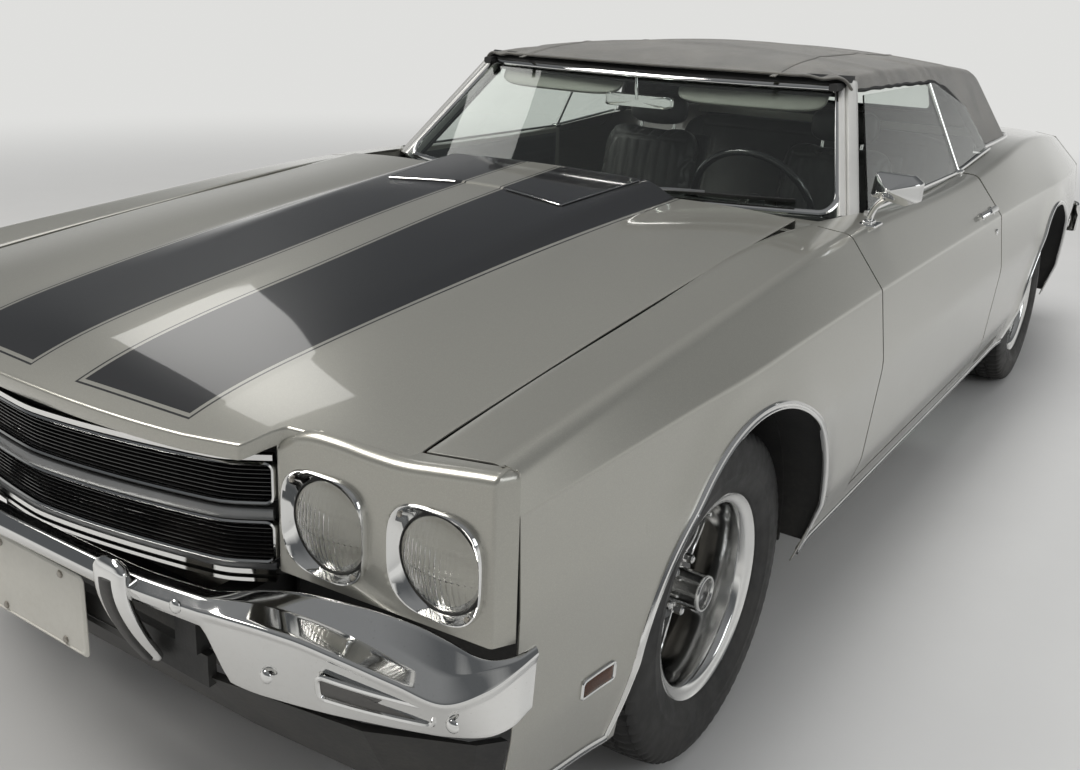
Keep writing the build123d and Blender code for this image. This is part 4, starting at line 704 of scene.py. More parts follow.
def build_materials(colours, sizes):
    """Every finish of the car."""
    for name, striped in (("paint", False), ("striped paint", True)):
        mat, g, s = shader(name, 0.6, 0.30, Coat_Weight=1.0, Coat_Roughness=0.035, Coat_IOR=1.5)
        place = g.add("ShaderNodeTexCoord").outputs["Object"]
        flake = use(g, "flake", Colour=rgba(colours.paint), Light=rgba(colours.paint_light), Scale=1100.0,
                    Amount=0.16)
        colour, metallic = flake["Colour"], None
        if striped:
            band, pin = stripe_mask(g, place, sizes)
            mask = g.math("MAXIMUM", band, pin)
            colour = g.mix(mask, colour, rgba(colours.stripe))
            metallic = g.blend(mask, 0.6, 0.0)
            g.tree.links.new(metallic, s["Metallic"])
        dusty = use(g, "dust", Colour=colour, Roughness=0.30, Amount=0.3, High=0.62, Low=0.15)
        g.tree.links.new(dusty["Colour"], s["Base Color"])
        g.tree.links.new(dusty["Roughness"], s["Roughness"])
        g.tree.links.new(bump(g, flake["Height"], 0.03, 0.0004), s["Normal"])
    mat, g, s = shader("chrome", 1.0, 0.06)
    place = g.add("ShaderNodeTexCoord").outputs["Object"]
    pit = g.ramp(g.noise(place, 260.0, 2.0), 0.68, 0.8)
    base = g.mix(g.math("MULTIPLY", pit, 0.35), (0.80, 0.80, 0.79, 1), (0.35, 0.32, 0.28, 1))
    dusty = use(g, "dust", Colour=base, Roughness=use(g, "smudge", Clean=0.045, Smeared=0.16)[0], Amount=0.3)
    g.tree.links.new(dusty["Colour"], s["Base Color"])
    g.tree.links.new(dusty["Roughness"], s["Roughness"])
    plain("wheel chrome", (0.74, 0.74, 0.73), 1.0, 0.10, grain=1500.0, depth=0.02, dust=0.18, light=1.1)
    plain("bright trim", (0.66, 0.655, 0.63), 0.55, 0.26, grain=900.0, depth=0.03, dust=0.15, light=1.08)
    plain("reflector", (0.86, 0.86, 0.85), 1.0, 0.12, grain=400.0, depth=0.03, dust=0.0, light=1.05)
    plain("satin grey", (0.16, 0.163, 0.165), 0.8, 0.32, grain=900.0, depth=0.05, dust=0.2)
    # The parking lamp lenses are near black: painted shade for the recessed lamps that sit dark under the
    # front bumper's ridge.
    plain("park lens in painted shade", (0.055, 0.052, 0.048), 0.0, 0.16, grain=300.0, depth=0.3, dust=0.2, Coat_Weight=0.5)
    plain("spoke grey", (0.085, 0.088, 0.09), 0.75, 0.34, grain=1200.0, depth=0.05, dust=0.3)
    plain("black plastic", (0.012, 0.012, 0.013), 0.0, 0.42, dust=0.35, high=1.0)
    plain("gloss black", (0.008, 0.008, 0.009), 0.0, 0.16, depth=0.03, dust=0.3, Coat_Weight=0.6)
    plain("dash vinyl", colours.trim, 0.0, 0.46, grain=520.0, depth=0.5, dust=0.1)
    plain("visor vinyl", (0.34, 0.33, 0.30), 0.0, 0.5, grain=520.0, depth=0.4, dust=0.1, light=1.12)
    plain("rubber seal", (0.014, 0.014, 0.014), 0.0, 0.62, dust=0.3)
    plain("chassis paint", (0.014, 0.014, 0.014), 0.0, 0.6, grain=160.0, depth=0.5, dust=0.22, high=0.6)
    plain("cast iron", (0.10, 0.094, 0.085), 0.7, 0.6, grain=220.0, depth=0.7, dust=0.6)
    plain("engine paint", (0.13, 0.028, 0.014), 0.0, 0.42, grain=260.0, depth=0.45, dust=0.5)
    plain("bare steel", (0.33, 0.31, 0.28), 0.9, 0.42, grain=300.0, depth=0.25, dust=0.5)
    plain("carpet", (0.014, 0.014, 0.015), 0.0, 0.95, grain=900.0, depth=1.0, dust=0.12)
    plain("plate", (0.60, 0.585, 0.53), 0.1, 0.45, grain=300.0, depth=0.12, dust=0.4, light=1.06)

    mat, g, s = shader("seat vinyl", 0.0, 0.38)
    place = g.add("ShaderNodeTexCoord").outputs["Object"]
    worn = g.ramp(g.noise(place, 7.0, 5.0, 0.6), 0.45, 0.8)
    light = [min(1, c * 2.2 + 0.02) for c in colours.seat]
    g.tree.links.new(g.mix(g.math("MULTIPLY", worn, 0.4), rgba(colours.seat), rgba(light)), s["Base Color"])
    g.tree.links.new(g.blend(worn, 0.34, 0.5), s["Roughness"])
    g.tree.links.new(bump(g, use(g, "grain", Scale=620.0)[0], 0.45, 0.0006), s["Normal"])

    mat, g, s = shader("top cloth", 0.0, 0.75, Sheen_Weight=0.25, Sheen_Roughness=0.5)
    uv = g.add("ShaderNodeTexCoord").outputs["Object"]
    weave = use(g, "weave", Vector=uv, Threads=420.0)
    light = [c * 1.7 + 0.01 for c in colours.cloth]
    dusty = use(g, "dust", Colour=g.mix(weave["Mask"], rgba(colours.cloth), rgba(light)), Roughness=0.75,
                Amount=0.35, High=2.2, Low=0.9)
    g.tree.links.new(dusty["Colour"], s["Base Color"])
    g.tree.links.new(dusty["Roughness"], s["Roughness"])
    g.tree.links.new(bump(g, weave["Height"], 0.5, 0.0007), s["Normal"])

    mat, g, s = shader("tyre rubber", 0.0, 0.6)
    place = g.add("ShaderNodeTexCoord").outputs["Object"]
    worn = g.ramp(g.noise(place, 22.0, 5.0, 0.6), 0.4, 0.8)
    base = g.mix(g.math("MULTIPLY", worn, 0.6), (0.007, 0.007, 0.007, 1), (0.020, 0.020, 0.019, 1))
    dusty = use(g, "dust", Colour=base, Roughness=g.blend(worn, 0.5, 0.8), Amount=0.10, High=0.5, Low=0.0)
    g.tree.links.new(dusty["Colour"], s["Base Color"])
    g.tree.links.new(dusty["Roughness"], s["Roughness"])
    g.tree.links.new(bump(g, use(g, "grain", Scale=420.0)[0], 0.25, 0.0008), s["Normal"])

    for name, colour in (("glass", (0.86, 0.9, 0.87)), ("lamp glass", (0.95, 0.95, 0.94)),
                         ("red lens", colours.red_lens), ("amber lens", colours.amber_lens)):
        mat, g, s = shader(name, 0.0, 0.02, Transmission_Weight=1.0, IOR=1.45)
        place = g.add("ShaderNodeTexCoord").outputs["Object"]
        smear = g.ramp(g.noise(place, 3.0, 6.0, 0.6), 0.5, 0.9)
        dim = [c * 0.93 for c in colour]
        g.tree.links.new(g.mix(smear, rgba(colour), rgba(dim)), s["Base Color"])
        g.tree.links.new(use(g, "smudge", Clean=0.0, Smeared=0.03, Scale=3.0)[0], s["Roughness"])
        if "lens" in name:
            ribs = g.add("ShaderNodeTexWave", {"Vector": place, "Scale": 60.0, "Distortion": 0.0},
                         bands_direction="X").outputs["Fac"]
            g.tree.links.new(bump(g, ribs, 0.14, 0.002), s["Normal"])
        out = mat.node_tree.nodes["Material Output"]
        path = g.add("ShaderNodeLightPath").outputs
        through = g.add("ShaderNodeBsdfTransparent", {"Color": rgba([c * 0.95 for c in colour])})
        soft = g.math("MAXIMUM", path["Is Shadow Ray"], path["Is Diffuse Ray"])
        both = g.add("ShaderNodeMixShader", {0: soft})
        g.tree.links.new(mat.node_tree.nodes["Principled BSDF"].outputs[0], both.inputs[1])
        g.tree.links.new(through.outputs[0], both.inputs[2])
        g.tree.links.new(both.outputs[0], out.inputs["Surface"])


def mat(name):
    """A finish by name."""
    return MATERIALS[name]


# ---- settings


class CarColours(bpy.types.PropertyGroup):
    paint: FloatVectorProperty(name="Paint", description="Body colour under the clear coat",
                               default=(0.37, 0.362, 0.322),
                               subtype="COLOR", min=0, max=1)
    paint_light: FloatVectorProperty(name="Flake", description="Colour of the paint's lightest flakes",
                                     default=(0.66, 0.64, 0.56), subtype="COLOR", min=0, max=1)
    stripe: FloatVectorProperty(name="Stripe", description="Colour of the hood bands",
                                default=(0.006, 0.006, 0.007),
                                subtype="COLOR", min=0, max=1)
    cloth: FloatVectorProperty(name="Top cloth", description="Colour of the soft top",
                               default=(0.060, 0.058, 0.052),
                               subtype="COLOR", min=0, max=1)
    seat: FloatVectorProperty(name="Seats", description="Colour of the seat vinyl",
                              default=(0.030, 0.029, 0.027),
                              subtype="COLOR", min=0, max=1)
    trim: FloatVectorProperty(name="Trim", description="Colour of the dash and door trim",
                              default=(0.014, 0.014, 0.014),
                              subtype="COLOR", min=0, max=1)
    floor: FloatVectorProperty(name="Floor", description="Colour of the stage floor",
                               default=(0.62, 0.615, 0.60),
                               subtype="COLOR", min=0, max=1)
    backdrop: FloatVectorProperty(name="Backdrop", description="Colour of the far floor and the horizon",
                                  default=(0.74, 0.74, 0.725), subtype="COLOR", min=0, max=1)
    red_lens: FloatVectorProperty(name="Red lens", description="Colour of the tail lamp lenses",
                                  default=(0.55, 0.012, 0.010), subtype="COLOR", min=0, max=1)
    amber_lens: FloatVectorProperty(name="Amber lens", description="Colour of the side marker lenses",
                                    default=(0.34, 0.12, 0.02), subtype="COLOR", min=0, max=1)


class CarSizes(bpy.types.PropertyGroup):
    stripe_inner_front: FloatProperty(name="Inner edge, front",
                                      description="Half the pale band's width at the nose",
                                      default=0.075, unit="LENGTH")
    stripe_inner_rear: FloatProperty(name="Inner edge, rear",
                                     description="Half the pale band's width at the screen",
                                     default=0.062, unit="LENGTH")
    stripe_outer_front: FloatProperty(name="Outer edge, front",
                                      description="Where a band ends sideways at the nose",
                                      default=0.322, unit="LENGTH")
    stripe_outer_rear: FloatProperty(name="Outer edge, rear",
                                     description="Where a band ends sideways at the screen",
                                     default=0.400, unit="LENGTH")
    stripe_start: FloatProperty(name="Band start", description="Where the bands start along the car",
                                default=-2.375,
                                unit="LENGTH")
    pinstripe_gap: FloatProperty(name="Pinstripe gap", description="Paint between band and pinstripe",
                                 default=0.0075,
                                 unit="LENGTH")
    pinstripe_width: FloatProperty(name="Pinstripe width", description="Width of the thin line",
                                   default=0.004,
                                   unit="LENGTH")
    fin_count: IntProperty(name="Grille fins", description="Fins in each grille opening", default=9, min=2,
                           max=24)
    tread_blocks: IntProperty(name="Tread blocks", description="Blocks round each tyre rib", default=72,
                              min=20, max=120)
    pleats: IntProperty(name="Seat pleats", description="Sewn channels across each seat", default=9, min=3,
                        max=20)


def colours():
    return bpy.context.scene.car_colours


def sizes():
    return bpy.context.scene.car_sizes


# ---- pieces


class CAR_OT_stage(bpy.types.Operator):
    """Set the camera, the pale floor, the world and the studio lamps"""

    bl_idname = "car.stage"
    bl_label = "Stage"

    def execute(self, context):
        scene = context.scene
        yaw, pitch, roll = (math.radians(v) for v in (-33.82, 15.81, 2.12))
        f = Vector((math.sin(yaw) * math.cos(pitch), math.cos(yaw) * math.cos(pitch), -math.sin(pitch)))
        r = Vector((math.cos(yaw), -math.sin(yaw), 0))
        u = r.cross(f)
        right = r * math.cos(roll) + u * math.sin(roll)
        up = -r * math.sin(roll) + u * math.cos(roll)
        camera = bpy.data.cameras.new("Camera")
        camera.lens, camera.sensor_width = 1092.1 * 36 / 1080, 36
        camera.shift_y = -85 / 1080
        camera.clip_end = 100
        eye = bpy.data.objects.new("Camera", camera)
        turn = Matrix((right, up, -f)).transposed()
        eye.matrix_world = Matrix.Translation((1.638, -3.363, 1.472)) @ turn.to_4x4()
        scene.collection.objects.link(eye)
        scene.camera = eye

        mat_floor, g, s = shader("stage floor", 0.0, 0.55)
        place = g.add("ShaderNodeTexCoord").outputs["Object"]
        grain = g.noise(place, 3.0, 6.0, 0.6)
        base = rgba(colours().floor)
        darker = rgba([c * 0.94 for c in colours().floor])
        g.tree.links.new(g.mix(grain, base, darker), s["Base Color"])
        pale = rgba(colours().backdrop)
        ray = g.add("ShaderNodeLightPath").outputs
        seen = g.math("ADD", g.math("ADD", ray["Is Camera Ray"], ray["Is Glossy Ray"]),
                      ray["Is Transmission Ray"], True)
        away = g.add("ShaderNodeVectorMath", {0: place}, operation="LENGTH").outputs["Value"]
        mask = g.math("MULTIPLY", seen, g.add("ShaderNodeMapRange", {0: away, 1: 3.6, 2: 10.0},
                                              interpolation_type="SMOOTHSTEP").outputs[0])
        both = g.add("ShaderNodeMixShader",
                     {0: mask, 1: mat_floor.node_tree.nodes["Principled BSDF"].outputs[0]})
        glow = g.add("ShaderNodeEmission", {"Color": pale, "Strength": 1.0})
        g.tree.links.new(glow.outputs[0], both.inputs[2])
        g.tree.links.new(both.outputs[0], mat_floor.node_tree.nodes["Material Output"].inputs["Surface"])
        t = line(0, 1, 3)
        across = FLOOR_HALF * (2 * t - 1)
        flat = np.stack(np.meshgrid(across, across, [0.0], indexing="ij"), -1)[:, :, 0]
        mesh = quads([facing(flat, ("along", (0, 0, 1)))])
        mesh.materials.append(mat_floor)
        floor = bpy.data.objects.new("Floor", mesh)
        scene.collection.objects.link(floor)

        world = bpy.data.worlds.new("Studio")
        scene.world = world
        world.use_nodes = True
        g = Graph(world.node_tree)
        ray = g.add("ShaderNodeLightPath").outputs
        seen = g.math("ADD", g.math("ADD", ray["Is Camera Ray"], ray["Is Glossy Ray"]),
                      ray["Is Transmission Ray"], True)
        way = g.add("ShaderNodeSeparateXYZ", {0: g.add("ShaderNodeTexCoord").outputs["Generated"]}).outputs[2]
        low = g.mix(g.ramp(way, 0.05, 0.30), pale, (0.10, 0.105, 0.11, 1))
        high = g.mix(g.ramp(way, 0.45, 0.9), low, (0.22, 0.225, 0.23, 1))
        back = world.node_tree.nodes["Background"]
        g.tree.links.new(g.mix(seen, (0.46, 0.465, 0.475, 1), high), back.inputs["Color"])
        back.inputs["Strength"].default_value = 1.0

        for name, place, size, power, colour in (
            ("Key", (-3.2, -4.2, 5.2), (3.4, 2.2), 210, (1.0, 0.98, 0.94)),
            ("Card", (-3.5, 0.2, 3.7), (1.5, 1.1), 9, (1.0, 0.99, 0.96)),
            ("Fill", (5.6, -1.2, 3.2), (4.0, 1.8), 60, (0.95, 0.98, 1.0)),
            ("Over", (0.4, 1.2, 5.6), (2.2, 5.0), 210, (1.0, 1.0, 1.0)),
            ("Tail", (-2.5, 6.0, 3.4), (3.4, 2.2), 55, (1.0, 0.99, 0.97)),
        ):
            lamp = bpy.data.lights.new(name, "AREA")
            lamp.shape, lamp.size, lamp.size_y = "RECTANGLE", size[0], size[1]
            lamp.energy, lamp.color = power, colour
            obj = bpy.data.objects.new(name, lamp)
            obj.location = place
            obj.rotation_euler = (Vector((0, 0, 0.5)) - Vector(place)).to_track_quat("-Z", "Y").to_euler()
            obj.visible_glossy = obj.visible_transmission = name not in ("Over", "Tail")
            scene.collection.objects.link(obj)
        scene.view_settings.view_transform = "Standard"
        return {"FINISHED"}


class CAR_OT_side_panels(bpy.types.Operator):
    """Lay the fenders, doors and quarters as thin curved skins through the side sections"""

    bl_idname = "car.side_panels"
    bl_label = "Side panels"

    def execute(self, context):
        out = ("from", (0, 200, 620))
        paint = mat("paint")
        grids = side_panel(FENDER_START_Y, FENDER_END_Y, FRONT_AXLE_Y)
        piece("Fenders", mirrored(grids), "chassis", paint, out, 3.0, 1.2,
              replaces=("fenders",))
        grids = side_panel(342.0, TAIL_Y, REAR_AXLE_Y)
        piece("Quarter_panels", mirrored(grids), "chassis", paint, out, 3.0, 1.2,
              replaces=("quarters",))

        def door_end(x):
            return np.sqrt(DOOR_SWEEP**2 - (HINGE_X - np.minimum(x, HINGE_X)) ** 2) - DOOR_SWEEP

        outer = side_panel(DOOR_START_Y, DOOR_START_Y + DOOR_SWEEP, rear_cut=door_end,
                           bottom=DOOR_BOTTOM_Z)[0]
        inner = outer.copy()
        inner[..., 0] = np.minimum(outer[..., 0] - 6, 772)
        inner[..., 2] = np.where(outer[..., 0] - 6 > 772, np.minimum(outer[..., 2], 944), outer[..., 2])
        rim = np.concatenate([outer[0], outer[:, -1], outer[-1][::-1], outer[:, 0][::-1]])
        back = np.concatenate([inner[0], inner[:, -1], inner[-1][::-1], inner[:, 0][::-1]])
        wall = np.stack([rim, back])
        for sign, name, body, node in ((1, "Door_left_shell", "door_l", "door_left"),
                                       (-1, "Door_right_shell", "door_r", "door_right")):
            flip = np.array([sign, 1.0, 1.0])
            piece(name, [outer * flip, inner * flip, wall * flip], body, paint, None, 0, 1.5,
                  replaces=(node,))
        return {"FINISHED"}


def hood_z(x, y):
    """Height of the hood's skin: flat falls from the dome's foot to the seam, with the dome's slope and top
    rolled into each other, and a slight crown across the top."""
    x = np.abs(x)
    seam, foot_x, foot_z, dome_x, dome_z = (spline(HOOD[:, 0], HOOD[:, c], y) for c in range(1, 6))
    side = foot_z + (seam - foot_z) * (x - foot_x) / (HOOD_HALF - foot_x)
    slope = dome_z + (foot_z - dome_z) * (x - dome_x) / (foot_x - dome_x)
    top = dome_z - 6 * (x / dome_x) ** 2 + 4
    k = 2.6
    rise = -k * np.logaddexp(-slope / k, -top / k)
    z = k * np.logaddexp(side / k, np.minimum(rise, 2000) / k)
    crown = 5 * np.sin(np.clip((x - foot_x) / (HOOD_HALF - foot_x), 0, 1) * PI)
    return z + crown


def hood_front(x):
    """The hood's front edge: a shallow arc over the grille that steps back round the lamp surrounds."""
    x = np.abs(x)
    nose = -2414 + 38 * (x / 472) ** 2
    back = -2318 + 28 * (x - 486) / 230
    return nose + (back - nose) * smooth((x - 462) / 40)


class CAR_OT_hood(bpy.types.Operator):
    """Form the hood with its raised dome, nose lip and open rear edge"""

    bl_idname = "car.hood"
    bl_label = "Hood"

    def execute(self, context):
        half = np.concatenate([line(0, 270, 22), line(276, 400, 26), line(408, 456, 6), line(460, 504, 24),
                               line(512, HOOD_HALF, 20)])
        x = np.concatenate([-half[:0:-1], half])
        t = eased(0, 1, 90)[:, None]
        front = hood_front(x)
        y = front + (HOOD_REAR_Y - front) * t
        z = hood_z(x, y)
        top = np.stack([np.broadcast_to(x, y.shape), y, z], -1)
        a = line(0, PI / 2, 6)[1:, None]
        lip = np.stack([np.broadcast_to(x, (5, len(x))), front - 8 * np.sin(a),
                        z[0] - 8 * (1 - np.cos(a))], -1)[::-1]
        drop = lip[:1] - np.array([0, 0, 18.0])
        rear = top[-1:] + np.array([0, 4.0, -8.0])
        rear2 = top[-1:] + np.array([0, 2.0, -26.0])
        grid = np.concatenate([drop, lip, top, rear, rear2])
        piece("Hood_skin", [grid], "hood_lid", mat("striped paint"), ("along", (0, 0, 1)),
              2.5, 0.8,
              replaces=("hood",))
        return {"FINISHED"}


# Bumper stations: plan x and y of the ridge, then inset and z of rear edge, scoop and ridge, and the bottom's
BUMPER = np.array([
    (0, -2504, 40, 604, 15, 606, 590, 566, 10),
    (300, -2498, 40, 604, 15, 606, 590, 566, 10),
    (462, -2477, 42, 605, 16, 606, 590, 560, 12),
    (490, -2471, 48, 607, 22, 606, 590, 452, 42),
    (545, -2459, 74, 610, 42, 602, 591, 447, 42),
    (615, -2442, 90, 609, 50, 594, 588, 449, 40),
    (690, -2421, 92, 606, 50, 580, 575, 452, 38),
    (770, -2391, 82, 602, 44, 562, 551, 455, 34),
    (832, -2361, 58, 597, 32, 556, 528, 457, 28),
    (882, -2325, 26, 590, 14, 577, 550, 462, 20),
    (911, -2290, 15, 595, 7, 592, 580, 478, 15),
    (922, -2264, 13, 603, 6, 604, 595, 500, 12),
], float)


def eased_columns(table, n):
    """A table's columns carried along its plan at n places, shape-true between the rows: cubic in between,
    with slopes that never pass a neighbouring value."""
    s = np.concatenate([[0], np.cumsum(np.hypot(*np.diff(table[:, :2], axis=0).T))])
    at = line(0, s[-1], n)
    k = np.clip(np.searchsorted(s, at) - 1, 0, len(s) - 2)
    h = np.diff(s)[:, None]
    d = np.diff(table, axis=0) / h
    m = np.zeros_like(table)
    same = d[:-1] * d[1:] > 0
    m[1:-1] = np.where(same, 2 * d[:-1] * d[1:] / np.where(same, d[:-1] + d[1:], 1), 0)
    m[0], m[-1] = d[0], d[-1]
    t = ((at - s[k]) / h[k, 0])[:, None]
    h = h[k]
    return (
        (2 * t**3 - 3 * t**2 + 1) * table[k]
        + (t**3 - 2 * t**2 + t) * h * m[k]
        + (3 * t**2 - 2 * t**3) * table[k + 1]
        + (t**3 - t**2) * h * m[k + 1]
    )


class CAR_OT_front_bumper(bpy.types.Operator):
    """Bend the front bumper: at each station along its plan a section of scoop, ridge and lower face, its
    corners rolled, set square to the plan. The rail in the middle is low, and the ends turn up into pointed
    wings"""

    bl_idname = "car.front_bumper"
    bl_label = "Front bumper"

    def execute(self, context):
        c = eased_columns(BUMPER, 150)
        plan = c[:, :2]
        tangent = np.gradient(plan, axis=0)
        tangent /= np.linalg.norm(tangent, axis=1, keepdims=True)
        inward = np.stack([-tangent[:, 1], tangent[:, 0]], -1)
        inward[0] = (0, 1)
        back, back_z, scoop, scoop_z, ridge_z, low_z, low_in = (c[:, k] for k in range(2, 9))
        zero = 0 * back
        corners = np.array([np.stack(p, -1) for p in (
            (back + 3, back_z - 14), (back, back_z), (scoop, scoop_z), (zero, ridge_z),
            (4 + 0.1 * low_in, ridge_z - 16),
            (low_in, low_z), (low_in + 12, low_z + 3),
        )])
        roll = np.clip(scoop * 1.3 - 14, 6, 50)[:, None]
        soft = filleted(corners, (3.0, roll, 7.0, 9.0, 3.0), (2, 5, 8, 12, 8, 7, 3, 6, 12, 5, 2))
        grid = np.concatenate([plan[None] + inward[None] * soft[..., :1], soft[..., 1:]], -1)
        tip = grid[:, -1:] * 0.35 + grid[:, -1:].mean(0, keepdims=True) * 0.65
        end = np.concatenate([grid[:, -1:], tip + np.array([0, 3.0, 0]),
                              0 * tip + tip.mean(0) + np.array([0, 4.0, 0])], 1)
        out = ("from", (0, -2300, 540))
        piece("Front_bumper_blade", mirrored([grid, end]), "chassis", mat("chrome"), out, 3.0,
              replaces=("front_bumper",))

        path = np.array([(296, -2492, 628), (297, -2496, 604), (300, -2496, 570), (304, -2486, 530),
                         (309, -2470, 490), (314, -2452, 455), (316, -2444, 438)], float)
        k = np.arange(7)
        fine = np.stack([spline(k, path[:, i], line(0, 6, 40)) for i in range(3)], -1)
        size = np.interp(line(0, 1, 40), [0, 0.05, 0.12, 0.5, 0.9, 1], [0.35, 0.8, 1, 0.9, 0.66, 0.4])
        blade = sweep(fine, ring(38, 12, 28, 3.2), up=(0, -1, 0), scale=size)
        piece("Bumper_guards", mirrored(blade), "chassis", mat("chrome"), None)
        pad = sweep(fine[7:36] + np.array([0, -8.0, -3.0]), ring(17, 7, 20, 3), up=(0, -1, 0),
                    scale=size[7:36])
        piece("Guard_pads", mirrored(pad), "chassis", mat("black plastic"), None)

        bolts = []
        dome = [(0, 0.01), (0.6, 5), (3, 9), (5, 11), (7, 11.5)]
        for x, y, z in ((560, -2432, 500), (838, -2347, 492), (425, -2480, 588)):
            bolts.append(revolve([(a - 7, r) for a, r in dome], 24, "y", (x, y, z)))
        piece("Bumper_bolts", mirrored(bolts), "chassis", mat("chrome"), None)
        outline = rounded_outline([(648, 492), (808, 480), (814, 512), (652, 534)], 11, 6, 5)
        behind = np.interp(outline[:, 1], (450, 560), (31, 8)) - 2.0
        y = np.interp(outline[:, 0], plan[:, 0], plan[:, 1]) + behind
        path = np.stack([outline[:, 0], y, outline[:, 1]], -1)
        frames = sweep(path, ring(4.5, 4.5, 8), up=(0, -1, 0), closed=True)
        middle = path.mean(0)
        t = line(1, 0.02, 5)[:, None, None]
        lens = middle + (np.concatenate([path, path[:1]])[None] - middle) * t + np.array([0, 0.6, 0])
        piece("Park_lamp_frames", mirrored(frames), "chassis", mat("chrome"), None)
        # The lenses take the near-black finish: painted shade under the bumper's ridge.
        piece("Park_lamps", mirrored([lens]), "chassis", mat("park lens in painted shade"),
              ("along", (0, -1, -0.2)))
        return {"FINISHED"}


def grille_y(x):
    """The grille's plan: a shallow vee that breaks back near its ends, with the break rolled."""
    x = np.abs(x)
    run = -2425 + 54 * (x / 412) ** 1.35
    return run + 0.36 * 9 * np.logaddexp(0, (x - 412) / 9)


def on_grille(x, z, back=0.0):
    """Points of the grille's face at x and z, whose lines rise a little towards the ends."""
    return np.stack(np.broadcast_arrays(x, grille_y(x) + back, z + 14 * (np.abs(x) / 484) ** 2), -1)


class CAR_OT_grille(bpy.types.Operator):
    """Set the grille: bright rounded frames and bars carried along the vee, with fins across both openings"""

    bl_idname = "car.grille"
    bl_label = "Grille"

    def execute(self, context):
        x = np.concatenate([line(-481, -380, 12), line(-370, 370, 40), line(380, 481, 12)])
        bright, black = [], []
        for z0, z1 in ((602, 668), (700, 765)):
            a = rounded_outline([(-481, z0), (481, z0), (481, z1), (-481, z1)], 11, 6, 44)
            bright += sweep(on_grille(a[:, 0], a[:, 1]), [(-2.8, -6), (2.8, -6), (2.8, 4), (0, 6), (-2.8, 4)],
                            up=(0, -1, 0), closed=True)
            count = sizes().fin_count
            for k in range(count):
                z = z0 + (z1 - z0) * (k + 0.75) / (count + 0.5)
                path = on_grille(x * 0.995, np.full(len(x), z), 14)
                black += sweep(path, [(-10, -0.9), (10, -0.5), (10, 0.5), (-10, 0.9)], up=(0, 0, 1))
            for k in range(-6, 7):
                p = on_grille(np.full(4, k * 76.0), line(z0 + 2, z1 - 2, 4), 18)
                black += sweep(p, [(-1.5, -8), (1.5, -8), (1.5, 6), (-1.5, 6)], up=(0, -1, 0))
        for z, h in ((776, 4.5), (586, 4.0), (572, 3.0)):
            section = [(-6, -h), (5, -h), (8, -h * 0.3), (8, h * 0.4), (5, h), (-6, h)]
            bright += sweep(on_grille(x, np.full(len(x), z)), [(b, -a) for a, b in section], up=(0, -1, 0))
        piece("Grille_bright_bars", bright, "chassis", mat("chrome"), None)
        section = [(-9, 0), (-9, 8), (-5, 10), (5, 10), (9, 8), (9, 0)]
        middle = sweep(on_grille(x, np.full(len(x), 684)), section, up=(0, -1, 0))
        middle += sweep(on_grille(x, np.full(len(x), 594)), [(a * 0.6, b - 7) for a, b in section],
                        up=(0, -1, 0))
        piece("Grille_middle_bar", middle, "chassis", mat("satin grey"), None)
        piece("Grille_fins", black, "chassis", mat("gloss black"), None, replaces=("grille",))
        t = line(0, 1, 12)[:, None]
        back = on_grille(x[None] + 0 * t, 566 + 212 * t + 0 * x[None], 30)
        piece("Grille_backing", [back], "chassis", mat("black plastic"),
              ("along", (0, -1, 0)), 1.5)
        return {"FINISHED"}


BEZEL_TOP = np.array([(484, 811), (505, 829), (545, 846), (600, 847), (660, 842), (718, 841), (790, 851),
                      (872, 862),
                      (900, 861)], float)


def squarish(dx, dz, power=3.2):
    """How many half widths out a place is in a rounded square: the power mean of both distances."""
    return (np.abs(dx) ** power + np.abs(dz) ** power) ** (1 / power)


